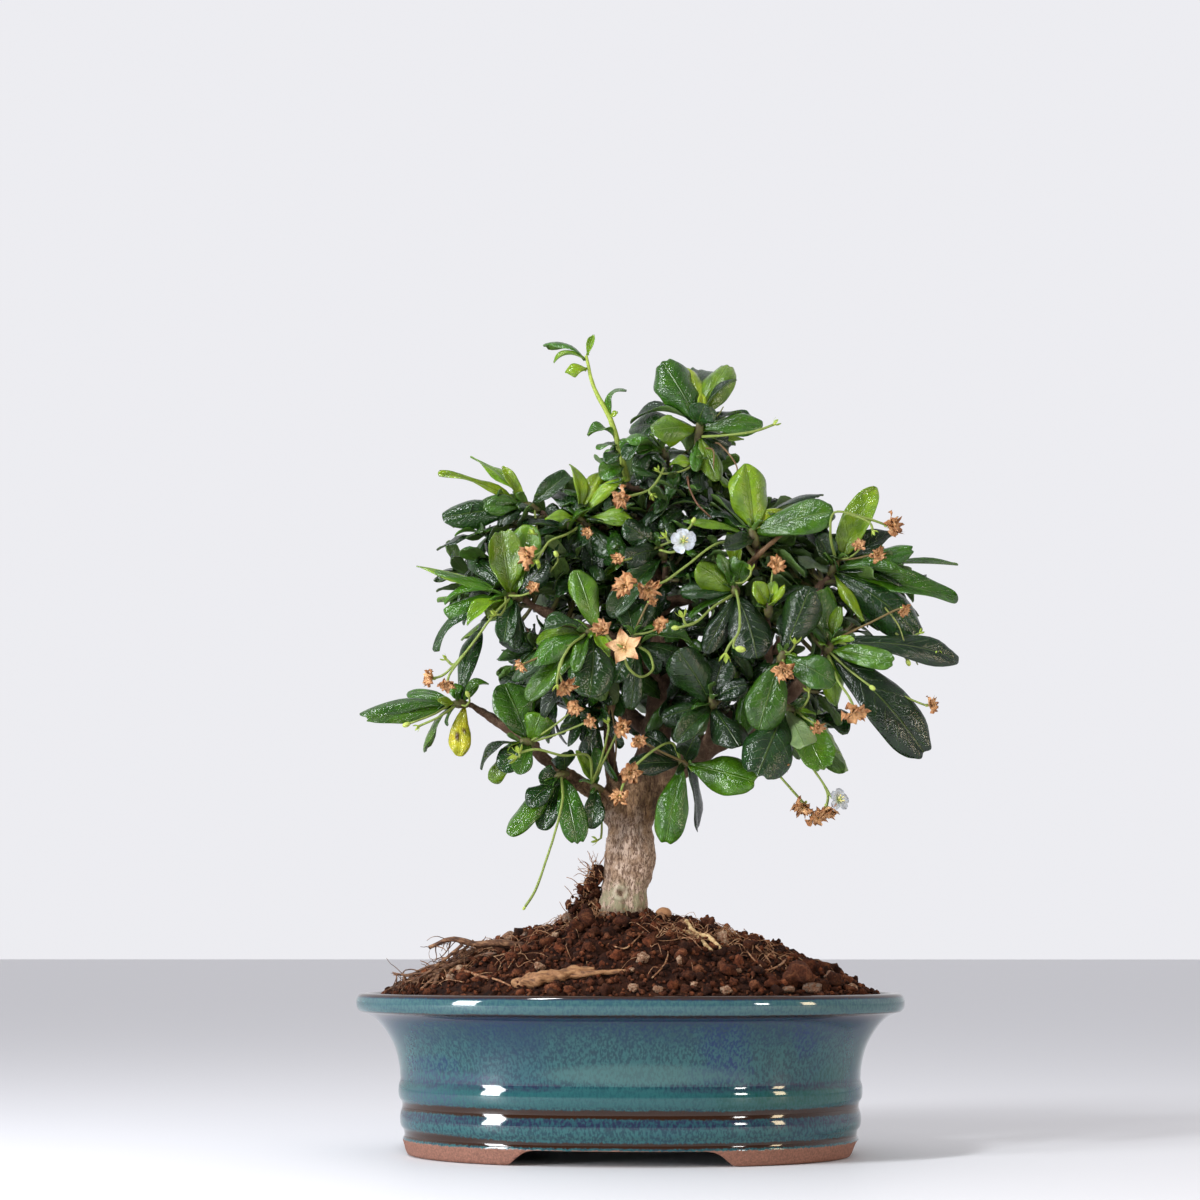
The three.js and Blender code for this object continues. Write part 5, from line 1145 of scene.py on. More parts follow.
# Sprays: name, how many of their leaves follow the rule, the twig from the limb, and the stem. Then the
# leaves that the photograph shows: place on the stem, the tip's across, up and depth, width, turn, arch,
# tone, and True where the tip is toothed.
sprayRows = [
    ("top_shoot", 1, [(11, 243.5, -1), (5, 245, -3)],
     [(-0.5, 248, -6), (-3.5, 260, -7), (-7, 272, -8), (-13.5, 285, -9), (-16.3, 297, -9)],
     [(1, -13.5, 305.5, -9, 3, 10, 0.4, 3), (0.97, -29.5, 295, -9, 4, 65, 2.5, 3),
      (0.9, -25, 291.5, -12, 6, 35, 1.5, 3), (0.5, -1.5, 286, -9, 6, 60, 4, 2),
      (0.5, -4.5, 275, -11, 2.5, 20, 0.4, 3), (0.35, -15.5, 265.5, -12, 7, 60, 3, 2),
      (0.28, -12.5, 261, -13, 5, 50, 1, 2), (0.22, -8.5, 255.5, -14, 6, 20, 1.5, 1),
      (0.12, -11, 250, -13, 8, 15, 1.5, 2), (0.3, 0.5, 262, -11, 6, 30, 1.5, 2)]),
    ("crown", 1, [(20, 252.5, -5), (24, 257.5, -8)], [(26, 262, -10), (26.5, 267, -12), (27, 273, -13)],
     [(0.9, 13, 294, -14, 16, 5, 2.5, 1.6, True), (0.95, 18.5, 293.5, -7, 12, 10, 1.5, 3.3),
      (1, 27, 294, -2, 10, 10, 1, 1), (0.9, 36.5, 295.5, -12, 13, 12, 2, 2.5, True),
      (0.9, 41, 288, -16, 5, 72, 2.5, 0), (0.6, 8.5, 268.5, -22, 12, 15, 1.5, 2.5),
      (0.8, 28.5, 282.5, -17, 4.5, 20, 0.6, 3), (0.7, 29, 278, -24, 11, 20, 2, 1),
      (0.6, 51, 272, -14, 9, 25, 1.5, 2), (0.7, 46, 275, -6, 6, 60, 1.5, 1),
      (0.4, 40, 263.5, -20, 5, 40, 1.5, 0), (0.4, 43.5, 264, -12, 4, 20, 0.5, 3),
      (0.8, -1, 275, -4, 7, 68, 3, 0), (0.5, -1.5, 272, 2, 11, 15, 1, 1),
      (0.3, 33, 248, -15, 8, 10, 1, 2.5), (0.35, 38.5, 258, -6, 7, 15, 1, 1),
      (0.2, 25, 252, -13, 5, 20, 0.6, 2)]),
    ("crown_left", 1, [(16, 249, -3), (15.5, 252, -3)],
     [(14.3, 255.5, -4), (13.5, 258, -6.5), (12.5, 261, -8)],
     [(0.9, -1.5, 264, -10, 8, 62, 4, 2), (0.8, -1.5, 256, -14, 8, 62, 5, 1),
      (0.6, 0, 253.5, -16, 7, 60, 3, 1), (0.9, 12.5, 270, -3, 5, 30, 0.6, 0),
      (0.4, 2, 249.5, -16, 8, 20, 1, 1), (0.3, 0, 245, -12, 7, 15, 1, 0),
      (0.3, 9, 244.5, -15, 6, 10, 0.8, 1), (0.7, 3, 259, -15, 6, 45, 2, 2)]),
    ("crown_right", 1, [(20, 252.5, -5), (22.5, 252, -6)],
     [(24.8, 252.5, -8.5), (26, 253.5, -11), (26.5, 255.5, -13.5)],
     [(0.9, 21, 265.5, -17, 5, 20, 0.8, 2), (0.6, 38.5, 246.5, -16, 5, 62, 1, 3),
      (0.7, 34.5, 249.3, -19, 5, 55, 1, 3), (0.7, 15.5, 256, -18, 6, 50, 1.5, 3),
      (0.5, 27, 244.5, -15, 7, 20, 0.8, 0), (0.5, 15, 244.8, -12, 8, 25, 1, 0)]),
    ("left_tip", 1, [(-28, 234, -5), (-31, 235, -6)], [(-34, 236.5, -7), (-37, 238, -8), (-40.5, 240, -9)],
     [(1, -72.5, 250.5, -14, 6, 55, 2.5, 3), (0.95, -48.5, 253.5, -12, 4.5, 15, 0.6, 3),
      (0.8, -60, 257, -8, 7, 50, 2.5, 3), (0.8, -55.5, 242, -16, 6, 50, 2, 1.6),
      (0.9, -54.5, 238, -18, 8, 20, 1, 1.8), (0.8, -70.5, 233.5, -14, 11, 12, 1.5, 1),
      (0.6, -49.5, 233, -18, 6, 45, 1, 0), (0.3, -42, 239, -18, 5, 30, 0.6, 1),
      (0.5, -22.5, 250.5, -6, 8, 15, 1, 1)]),
    ("left_middle", 1, [(-6, 232, -1), (-10, 230, -4)],
     [(-14, 230, -8), (-16.5, 231.5, -10), (-19.5, 234, -12)],
     [(1, -21.5, 255.5, -10, 6, 40, 3, 3), (1, -9, 255, -10, 6, 25, 1.5, 3),
      (0.9, -1.5, 252, -16, 5, 25, 1.5, 3), (0.9, -32, 234.5, -18, 6, 35, 1.5, 3),
      (0.6, 2.5, 234, -17, 7, 35, 2.5, 2.5), (0.5, -6, 220, -18, 9, 15, 1, 1),
      (0.4, -24, 221, -14, 9, 15, 1, 1), (0.8, -28, 246, -4, 7, 20, 1, 1),
      (0.3, -14, 212, -14, 9, 15, 1, 0)]),
    ("left_knob", 1, [(-32, 198, -13), (-36.5, 200.5, -14.5)],
     [(-40.5, 203, -16), (-43, 203.8, -17.5), (-46.5, 204.3, -20)],
     [(0.7, -49, 228.5, -24, 13, 8, 1.5, 2.5, True), (0.5, -38, 231, -20, 13, 8, 1.5, 2.3),
      (0.9, -70.5, 202.5, -22, 7, 62, 3.5, 2), (0.95, -67, 202, -16, 6, 50, 1, 1),
      (0.9, -70, 199.5, -26, 8, 40, 1.5, 2), (0.95, -62, 195.5, -28, 6, 45, 1, 3),
      (0.9, -78, 187, -24, 7, 60, 4, 1), (0.9, -53.5, 195.5, -30, 5, 35, 0.6, 3),
      (0.8, -80, 214.5, -14, 6, 65, 1.5, 3), (0.8, -73.5, 212.5, -20, 7, 45, 1.5, 2),
      (0.7, -60, 221.5, -12, 8, 25, 1, 1), (0.5, -47.5, 187, -24, 8, 10, 1, 1),
      (0.4, -43, 184, -20, 7, 12, 1, 1), (0.3, -30, 216.5, -22, 10, 15, 1.5, 0)]),
    ("left_arm", 1, [(-52, 158.5, -10), (-57, 161.5, -12)],
     [(-60.5, 163, -14), (-63, 163.3, -15.5), (-66.5, 163.5, -17)],
     [(0.8, -101, 160.5, -20, 8, 52, 3.5, 1.4), (0.8, -98, 157, -26, 8, 25, 1, 2, True),
      (0.25, -64.5, 143.8, -19, 8, 10, 0.8, 4), (0.5, -57.5, 193.5, -12, 8, 20, 1.5, 1),
      (0.6, -65.5, 171, -18, 5.5, 20, 0.6, 2), (0.3, -57.5, 172.5, -14, 4.5, 20, 0.5, 2),
      (0.9, -71, 165, -24, 4, 30, 0.5, 3), (0.9, -79, 164, -12, 4.5, 60, 0.8, 3),
      (0.3, -52.5, 172, -17, 5, 50, 2.5, 2), (0.8, -84, 168, -10, 6, 50, 2, 2)]),
    ("left_lower", 1, [(-34, 144.6, -7), (-34.5, 147, -12)],
     [(-36, 148.5, -17), (-38, 149, -19.5), (-41, 149, -21)],
     [(0.4, -47, 170.5, -20, 16, 10, 2, 1.7), (0.3, -33, 158.8, -27, 11, 5, 1, 2.2),
      (0.8, -56, 138.8, -24, 7, 62, 5, 0), (0.7, -48.5, 139, -26, 9, 15, 1.2, 1),
      (0.9, -53, 134.8, -20, 7, 20, 0.8, 2.5), (0.4, -40.5, 137.3, -29, 8, 25, 1, 1.5)]),
    ("left_low", 1, [(-16, 132, -3.5), (-20, 136, -8)],
     [(-23, 137.5, -12), (-25.5, 137, -14), (-28, 135.5, -16)],
     [(0.3, -33.5, 134.3, -22, 8, 15, 1, 1), (0.6, -37.5, 125.5, -22, 9, 35, 1.5, 0.5),
      (0.8, -44.2, 114, -20, 9, 12, 1.2, 2), (0.6, -32, 116.2, -18, 9, 15, 1.2, 1),
      (0.4, -20, 112.3, -22, 11, 10, 1, 2, True), (0.3, -24.5, 145, -20, 9, 15, 0.8, 0.5)]),
    ("trunk_left", 0, [(-4, 127, -4), (-8, 129, -7.5)],
     [(-10.5, 131, -10), (-12.5, 132, -12), (-14, 133.5, -14)],
     [(0.6, -14, 117, -17, 8, 12, 0.8, 1), (0.9, -12, 147, -18, 5, 25, 0.8, 2),
      (0.8, -19.5, 146, -21, 5, 25, 0.6, 3), (0.9, -14.5, 160.5, -13, 8, 15, 1, 0.5)]),
    ("middle_left", 1, [(-6, 174, -12), (-7, 184, -22)],
     [(-11, 190.5, -30), (-13.5, 190.5, -33), (-16.5, 190, -36)],
     [(0.3, -19, 214.5, -34, 10.5, 8, 1.5, 2.3), (0.8, -37.8, 178.5, -42, 10, 38, 4, 2),
      (0.6, -7, 181, -44, 4.5, 20, 0.6, 3), (0.9, -21.5, 177, -46, 6, 20, 1, 2),
      (0.5, -14, 165.5, -42, 17, 8, 2, 1), (0.9, -36.8, 164, -38, 11, 25, 2.5, 2),
      (0.9, -32, 192, -38, 7, 55, 2.5, 1), (0.8, -46.5, 174.5, -28, 8, 35, 2, 1),
      (0.7, -32.2, 158, -30, 7, 30, 2, 0)]),
    ("middle", 1, [(12, 168, -1), (8, 178, -12)], [(3.5, 184, -21), (2.5, 186.5, -24), (1.5, 189.5, -27)],
     [(0.4, 24.5, 189, -30, 8, 55, 3, 1.5), (0.3, 22, 181.5, -26, 8, 30, 1.5, 1),
      (0.9, -1, 200.8, -24, 11, 12, 1, 1), (0.3, 12, 175.5, -27, 7, 15, 0.8, 1),
      (0.4, 1.5, 161, -22, 8, 12, 1, 1), (0.8, 8, 204, -22, 8, 15, 1, 0.5),
      (0.4, -6, 172, -28, 8, 15, 1, 1)]),
    ("upper_middle", 1, [(11, 203, 1), (13.5, 212, -7)],
     [(13, 218, -14), (12.5, 220.5, -16), (11, 223, -18)],
     [(0.3, -6.5, 196, -26, 10, 20, 2.5, 1), (0.5, 10, 238.8, -14, 11, 12, 1.2, 0),
      (0.8, -2, 232, -22, 10, 15, 1.5, 0.5), (0.7, 20.5, 236, -12, 9, 15, 1, 0),
      (0.9, 0, 219, -30, 9, 15, 1, 0), (0.3, 28.5, 228, -14, 8, 15, 1, 0)]),
    ("right_upper", 1, [(46, 215, -14), (48, 219, -16)],
     [(48, 222.5, -18), (47.2, 226, -19.5), (46, 230, -20)],
     [(0.9, 43.5, 255, -22, 16, 10, 1.5, 2.7, True), (0.8, 30.5, 242.3, -14, 6, 60, 1, 0.5),
      (0.7, 24, 236, -10, 8, 35, 1, 2), (0.6, 20.5, 232, -22, 5, 55, 2.5, 2.5),
      (0.7, 77, 236.5, -26, 14, 20, 2.5, 1.9), (0.9, 79, 240.5, -14, 9, 30, 2.5, 1.3),
      (0.95, 73.5, 244.3, -9, 6, 68, 3, 0), (0.9, 58.5, 238.5, -17, 6, 20, 0.8, 3.2),
      (0.5, 36, 222, -27, 8, 15, 1.2, 0)]),
    ("right_inner", 1, [(31, 206, -7.5), (37, 203.5, -16)],
     [(40, 203.5, -22), (40, 206, -24.5), (39.5, 209, -26.5)],
     [(0.6, 42.5, 217.5, -31, 10, 12, -1.5, 2), (0.4, 26, 216.5, -30, 11, 15, 1.5, 2.5),
      (0.3, 49, 181, -34, 16, 8, 2.5, 0), (0.3, 29, 182, -30, 8, 10, 1.2, 0),
      (0.5, 19, 206, -26, 8, 25, 1.2, 1), (0.4, 21.5, 197, -32, 5, 50, 1.5, 2),
      (0.9, 38.5, 228, -26, 6, 20, 1, 2.5), (0.9, 34, 220, -32, 4, 30, 0.6, 2)]),
    ("right_centre", 1, [(52, 176, -4), (52.5, 188, -16)],
     [(52, 196, -25), (52.3, 198.5, -28), (52.5, 201.5, -30)],
     [(0.8, 47, 209.5, -34, 7, 20, 1, 3), (0.9, 54.5, 210, -32, 6, 20, 1, 3),
      (0.9, 58.5, 208, -36, 3, 30, 0.4, 3), (0.8, 70.5, 206, -22, 9, 40, 2.5, 0.5)]),
    ("right_low", 1, [(46, 157, -6), (53, 171, -21)],
     [(56, 178, -30), (57, 180.5, -32.5), (58, 183.5, -34.5)],
     [(0.8, 69, 207, -38, 14, 10, 2, 0.5), (0.3, 47, 154.3, -40, 15, 5, 2, 1.7),
      (0.6, 77, 172.5, -42, 13, 10, 1.5, 1.5)]),
    ("right_cup", 1, [(68, 176, -16), (71, 179, -20)],
     [(73.5, 181.5, -24), (74.5, 184, -26), (75.5, 187, -28)],
     [(0.7, 72, 205.8, -32, 14, 10, -2, 2), (0.9, 79, 200, -31, 5, 30, 1, 2.5),
      (0.5, 99, 179.5, -36, 9, 15, 1, 2.2, True), (0.4, 113, 147, -34, 18, 12, 2.5, 0, True),
      (0.3, 78.5, 162, -28, 9, 10, 1, 3), (0.3, 69, 163, -24, 7, 45, 1, 6),
      (0.9, 125.5, 182, -28, 10, 25, 3.5, 0), (0.9, 84.5, 187.5, -34, 4, 30, 0.5, 3)]),
    ("right_top", 1, [(70, 206, -9), (73, 209.5, -10.5)],
     [(75.5, 212, -12), (77, 214.5, -14), (78.5, 218, -15)],
     [(0.9, 93, 247, -20, 12, 15, 1, 3), (0.6, 71, 227, -18, 8, 20, 1, 1),
      (0.3, 63.5, 219, -16, 6, 40, 0.5, 6), (0.7, 67, 231, -8, 10, 20, 1, 0),
      (0.7, 100, 228.5, -16, 8, 40, 1, 0), (0.6, 107, 221.5, -20, 9, 30, 1.5, 2, True),
      (0.8, 89, 224, -10, 8, 25, 1, 1), (0.5, 105, 214, -24, 6, 45, 1, 2, True),
      (0.4, 104, 209.5, -18, 7, 55, 2.5, 0), (0.4, 123.5, 216, -16, 6, 60, 2, 1.5),
      (0.3, 124, 202, -22, 11, 20, 2, 2), (0.3, 110, 192.5, -26, 15, 10, 2, 0.5, True),
      (0.3, 88.5, 194.5, -26, 5, 30, 0.8, 3)]),
    ("centre_right", 1, [(27, 146, -3), (30, 154, -13)],
     [(31, 161, -20), (31, 163.5, -22.5), (30.5, 166, -24.5)],
     [(0.5, 19, 184, -30, 15, 8, 2, 0.5), (0.9, 35, 181, -26, 12, 12, 1.5, 0),
      (0.3, 12, 159.5, -28, 9, 18, 1.2, 0.5), (0.3, 17, 150, -32, 8, 15, 1, 1),
      (0.3, 40, 147, -34, 13, 8, 1.5, 0), (0.8, 44, 171, -30, 9, 30, 1.5, 0)]),
    ("right_bottom", 1, [(46, 157, -6), (52, 160, -16)],
     [(57, 161.5, -24), (59, 161.5, -26.5), (62, 161, -28)],
     [(0.9, 73, 139.3, -32, 14, 8, 1.5, 2.2, True), (0.3, 49, 137.5, -36, 18, 8, 2, 0.5, True),
      (0.6, 64.5, 146.5, -40, 9, 155, 1, 6)]),
    ("centre_low", 1, [(16, 138.5, 0), (17, 140.5, -9)],
     [(18.5, 141, -15), (20, 141.3, -17.5), (22, 141, -20)],
     [(0.8, 46.5, 133.5, -26, 15, 12, 1.5, 2.2, True), (0.3, 13, 112.2, -22, 12, 6, 1, 2, True),
      (0.6, 25, 152, -27, 9, 12, 1, 0), (0.3, 0, 141, -29, 9, 20, 1.2, 0),
      (0.4, 6, 153, -28, 8, 20, 1, 0)]),
    ("rear_left", 7, [(-38, 190, 26), (-42, 193, 28)], [(-46, 196, 30), (-49, 198, 31), (-52, 200, 32)]),
    ("rear_low_left", 7, [(-16, 172.5, 16), (-20, 168, 24)],
     [(-24, 166, 31), (-27, 166, 34), (-30, 167, 37)]),
    ("rear_upper_left", 7, [(-24, 180, 20), (-22, 194, 26)],
     [(-21, 205, 29), (-21, 208, 30), (-22, 212, 31)]),
    ("rear_top", 7, [(6, 226, 2), (4, 232, 10)], [(2, 238, 17), (1, 241, 19), (0, 245, 20)]),
    ("rear_crown", 7, [(24, 216, 30), (28, 224, 28)], [(31, 231, 26), (32, 234, 25), (33, 238, 24)]),
    ("rear_middle", 7, [(20, 184, 14), (14, 194, 30)], [(11, 200, 38), (10, 202, 41), (8, 205, 44)]),
    ("rear_upper_right", 7, [(24, 208, 28), (38, 213, 28)], [(48, 216, 28), (51, 217, 28), (55, 219, 28)]),
    ("rear_right", 7, [(70, 182, 26), (76, 186, 27)], [(81, 190, 28), (84, 192, 28), (87, 195, 28)]),
    ("rear_low_right", 7, [(48, 167, 18), (54, 160, 28)], [(58, 156, 34), (60, 155, 37), (62, 155, 40)]),
    ("rear_low", 7, [(8, 143, 1), (9, 148, 14)], [(11, 152, 24), (12, 153, 27), (13, 155, 30)]),
]

sprays = []
for name, fill, branch, stem, *leaves in sprayRows:
    sprays.append({
        "name": "spray_" + name,
        "number": len(sprays),
        "fill": fill,
        "branch": branch,
        "path": seenPath(stem),
        "radius": 1 if len(stem) > 3 else 1.8,
        "leaves": leaves[0] if leaves else [],
        "front": bool(leaves),
    })


def trunkBase(bm):
    grid = bmesh.ops.create_grid(bm, x_segments=trunk["sides"], y_segments=trunk["rows"], size=1)
    for vert in grid["verts"]:
        up = between(trunkStations[0][1], trunkStations[-1][1], (vert.co.y + 1) / 2)
        low = max(i for i, station in enumerate(trunkStations[:-1]) if station[1] <= up + 1e-6)
        below, above = trunkStations[low], trunkStations[low + 1]
        across, _, halfWidth, halfDepth = mixed(below, above, smoothRise(up, below[1], above[1]))
        angle = math.pi * (vert.co.x + 1)
        ridge = 1
        for depth, count, lean, turn in trunk["ridges"]:
            ridge += depth * math.sin(count * angle + up * lean + turn)
        vert.co = (across + math.cos(angle) * halfWidth * ridge, math.sin(angle) * halfDepth * ridge, up)
    closeRoll(bm, grid["verts"])


def trunkWood():
    bm = bmesh.new()
    trunkBase(bm)
    for degrees in trunk["rootAngles"]:
        angle = math.radians(degrees)
        points = [(reach * math.cos(angle) - 2, reach * math.sin(angle) * pot["depthRatio"], height)
                  for reach, height in trunk["rootLine"]]
        addTube(bm, Path(points), trunk["rootRadii"], 16, 24)
    for points, radii in woodLimbs:
        path = seenPath(points)
        addTube(bm, path, radii, 18, max(16, int(path.lengths[-1] / 1.5)), uneven=0.16, seed=len(points))
    for spray in sprays:
        heading = spray["path"].headingAt(0)
        end = spray["path"].points[0] - heading * 0.3
        path = Path([sight(*point) for point in spray["branch"]] + [end - heading * 2, end])
        addTube(bm, path, trunk["twigRadii"], 12, max(8, int(path.lengths[-1] / 1.5)), uneven=0.1)
    return bm


def barkPush(point):
    # How far the bark stands out: upright furrows low down, rings and knots on the limbs
    x, y, z = point
    low = 1 - smoothRise(z, 112, 140)
    wavy = Vector((x, y, z * 0.32)) + Vector((0.9, 0.5, 0)) * math.sin(z * 0.21 + x * 0.12)
    furrow = noise.noise(wavy * 0.95) + 0.6 * noise.noise(wavy * 2.1)
    rings = noise.noise(Vector((x * 0.25, y * 0.25, z * 1.25))) * 0.16 * (1 - low)
    knots = noise.noise(point * 0.3) * 0.28
    if y < 0:
        knotX, knotZ, knotSize = trunk["knot"]
        gone = math.hypot((x - knotX) / knotSize, (z - knotZ) / knotSize)
        knots += 0.7 * math.exp(-((gone - 0.8) / 0.3) ** 2) - 0.5 * math.exp(-(gone / 0.4) ** 2)
    return trunk["striation"] * furrow * low * smoothRise(math.hypot(x, y), 4, 8) + rings + knots


# Light and dark tints of the bark at the foot, higher up and on the limbs
barkTints = [
    ((0.6, 0.45, 0.35), (0.36, 0.24, 0.16)),
    ((0.36, 0.22, 0.12), (0.2, 0.115, 0.055)),
    ((0.19, 0.118, 0.074), (0.085, 0.05, 0.03)),
]


def barkFinish():
    finish = Finish("bark_tan")
    place = finish.place()
    x, y, z = finish.split(place)
    up = z / mm
    across = (x - potMiddle.x) / mm
    wide = finish.grain(place, 130, 3)
    warp = finish.stretched(place, (1, 1, 0.32))
    flecks = finish.grain(warp, 1250, 4, 0.62, 1.2)
    hairline = finish.grain(finish.stretched(place, (1, 1, 0.5)), 3000, 3, 0.6, 0.6)
    blotch = finish.grain(place, 320, 4, 0.65)
    pale, tan, dark = (finish.mix(finish.rise(blotch, 0.38, 0.62), *tints) for tints in barkTints)
    colour = finish.mix(finish.rise(up + (wide - 0.5) * 30, 114, 126), pale, tan)
    colour = finish.mix(finish.rise(up + (wide - 0.5) * 24, 130, 142), colour, dark)
    colour = finish.mix(finish.rise(flecks, 0.48, 0.58) * 0.85, colour, (0.1, 0.05, 0.03))
    colour = finish.mix(finish.rise(hairline, 0.54, 0.66) * 0.5, colour, (0.075, 0.036, 0.02))
    # Lichen and a pale ringed knot near the ground
    low = 1 - finish.rise(up + (wide - 0.5) * 14, 90, 99)
    lichen = finish.rise(blotch, 0.44, 0.58)
    colour = finish.mix(low * lichen * 0.7, colour, (0.33, 0.33, 0.2))
    knotX, knotZ, knotSize = trunk["knot"]
    gone = (((across - knotX) / knotSize) ** 2 + ((up - knotZ) / knotSize) ** 2) ** 0.5
    gone = gone + (blotch - 0.5) * 1.6 + (flecks - 0.5) * 0.8
    front = 1 - finish.rise(y, -0.003, 0)
    colour = finish.mix(finish.band(gone, 0.6, 1.05, 0.16) * front * 0.6, colour, (0.52, 0.47, 0.34))
    colour = finish.mix((1 - finish.rise(gone, 0.2, 0.45)) * front * 0.8, colour, (0.12, 0.07, 0.04))
    # darker at the foot of the trunk, below about 83 to 89 mm
    darkFoot = 1 - finish.rise(up + (wide - 0.5) * 12, 83, 89)
    colour = finish.mix(darkFoot * 0.8, colour, (0.1, 0.038, 0.016))
    height = 1 - flecks * 0.9 - hairline * 0.4 + blotch * 0.4
    normal = finish.bump(height, 0.9, 0.0009)
    return finish.skin({"Base Color": colour, "Roughness": 0.85, "Normal": normal,
                        "Specular IOR Level": 0.3})


def makeTrunk():
    piece = addPiece("trunk_wood", trunkWood(), [barkFinish()], Matrix.Identity(4), ["trunk"])
    fuse = piece.modifiers.new("fuse", "REMESH")
    fuse.mode = "VOXEL"
    fuse.voxel_size = trunk["voxel"]
    soften = piece.modifiers.new("soften", "SMOOTH")
    soften.factor, soften.iterations = trunk["soften"]
    applyModifiers(piece)
    bm = bmesh.new()
    bm.from_mesh(piece.data)
    pushes = [(vert, barkPush(vert.co)) for vert in bm.verts]
    for vert, push in pushes:
        vert.co += vert.normal * push
    bm.transform(treePlace)
    bm.to_mesh(piece.data)
    bm.free()
    piece.data.shade_smooth()


makeTrunk()
print("trunk and limbs")


# Leaves

leaf = {
    "toothedGrid": (18, 14),
    "posedGrid": (10, 12),
    "fillGrid": (6, 8),
    "innerGrid": (4, 6),
    "thick": 0.42,
    "petiole": 0.55,
    "tipWidths": {"full": 0.36, "small": 0.4, "simple": 0.48},
    "missBy": 0.75,                  # mm that a solid's tip may lie from where its leaf is worked out
    "depthBends": [0, -2.5, 2.5, -5, 5, -8, 8, -11, 11, -15, 15, 19],
    "turnBends": 14,
    "bendTurn": 0.47,
    "spots": [(0.3, 0.5, 0.21), (-0.3, 0.62, 0.21)],       # on the yellow leaf: across, along and size
    "spotTone": (0.07, 0.025, 0.006),
    # Least and most of what makes each leaf its own
    "fold": (0.1, 0.36),
    "cup": (-0.85, -0.15),             # below nought, the sides roll under
    "wave": (0.6, 2),
    "twist": (-0.32, 0.32),
    "sickle": (-0.05, 0.05),
    "hook": (-0.04, 0.2),
    # The same for all: the cup of leaves whose sides stand up, and how deep the midrib lies in mm
    "stoodUp": 0.2,
    "groove": 0.3,
}
goldenAngle = math.radians(137.508)
# Leaves by the rule. Each pair is the least, and how much more it may be: the place on the stem, the
# length in mm, and width and arch by length.
ruled = {
    "place": (0.35, 0.62),
    "length": (15, 13),
    "width": (0.38, 0.1),
    "arch": (0.05, 0.09),
    "droop": 0.1,
    "tones": [0, 1, 1, 2, 2.4],
}
# Sprays that also have a side shoot, which leaves the stem for the inside of the crown
shootOwners = [
    "spray_middle_left", "spray_middle", "spray_right_upper", "spray_right_cup", "spray_centre_right",
    "spray_rear_low_left", "spray_rear_upper_left", "spray_rear_top", "spray_rear_middle",
    "spray_rear_upper_right", "spray_rear_low_right", "spray_rear_low",
]
sideShoots = {
    "leaves": 4,
    "radii": [0.9, 0.8, 0.7],
    "bends": 24,
    "start": 0.3,                    # the place on the stem where one starts
    "length": (16, 8),               # the least, and how much more it may be
}
crownHeart = Vector((12, 8, 200))
# Linear colours by tone: 0 deepest to 3 lime, 4 yellow, 6 grey
leafTones = [(0.006, 0.02, 0.005), (0.012, 0.043, 0.006), (0.038, 0.118, 0.005), (0.16, 0.26, 0.008),
             (0.5, 0.42, 0.02), (0.5, 0.42, 0.02), (0.13, 0.18, 0.1)]


def leafWidth(along, pointed):
    # The dressed leaf keeps the solid's widest part and fills out below it
    if pointed:
        return along ** 0.8 * max(0, 1 - along ** 2.2) ** 0.85 / 0.477
    return along ** 0.74 * max(0, 1 - along ** 2.7) ** 0.58 / 0.585


def faceDirection(reach, turn):
    viewer = Vector((0, -1, 0))
    toViewer = (viewer - reach * viewer.dot(reach)).normalized()
    toSky = reach.cross(toViewer).normalized()
    lift = toSky.z if abs(toSky.z) > 0.15 else toSky.x
    if lift < 0:
        toSky.negate()
    return toViewer * math.cos(turn) + toSky * math.sin(turn)


def leafBase(spray, place, toward):
    axis = spray["path"].pointAt(place)
    heading = spray["path"].headingAt(place)
    outward = toward - axis
    outward -= heading * outward.dot(heading)
    return axis + outward.normalized() * 0.55 * spray["radius"]


def leaned(axis, turn, opening):
    # A direction that opens from the axis, turned round it
    one = Vector((0.2, 1, 0.1)).cross(axis).normalized()
    two = axis.cross(one)
    return axis * math.cos(opening) + (one * math.cos(turn) + two * math.sin(turn)) * math.sin(opening)


def upFace(base, tip, axis, skyward):
    # The side that a leaf turns to the light
    reach = (tip - base).normalized()
    up = axis + Vector((0, 0, skyward))
    return (up - reach * up.dot(reach)).normalized()


def posedLeaf(spray, row, number, bend):
    place, across, up, depth, width, turn, arch, tone = row[:8]
    toothed = len(row) > 8
    tip = sight(across, up, depth + leaf["depthBends"][bend])
    base = leafBase(spray, place, tip)
    reach = (tip - base).normalized()
    form = "full" if toothed or width >= 10 else "small"
    return {"base": base, "tip": tip, "width": width, "arch": arch, "toothed": toothed, "form": form,
            "face": faceDirection(reach, math.radians(turn)), "tone": tone, "number": number,
            "split": toothed and round(drawn(number, 5)) == 1}


def ruledLeaf(spray, order, count, number, bend):
    low, rise = ruled["place"]
    place = low + rise * (1 - order / count)
    axis = spray["path"].headingAt(place)
    turn = goldenAngle * order + fullTurn * drawn(spray["number"], 1) + bend * leaf["bendTurn"]
    opening = 0.45 + 0.95 * (order + 0.5) / count + 0.18 * (bend % 3 - 1)
    reach = leaned(axis, turn, opening)
    if spray["front"] and reach.y < 0.25:
        reach.y = 0.25 + 0.5 * abs(reach.y)
    reach.normalize()
    least, more = ruled["length"]
    length = (least + more * drawn(number, 2)) * (1 - 0.035 * bend)
    least, more = ruled["width"]
    width = length * (least + more * drawn(number, 3))
    base = leafBase(spray, place, spray["path"].pointAt(place) + reach)
    tip = base + reach * length
    tip.z -= ruled["droop"] * length
    least, more = ruled["arch"]
    tone = ruled["tones"][int(drawn(number, 6) * 5)]
    return {"base": base, "tip": tip, "width": width, "arch": length * (least + more * drawn(number, 4)),
            "toothed": False, "form": "simple", "face": upFace(base, tip, axis, 0.6), "tone": tone,
            "number": number, "split": False}


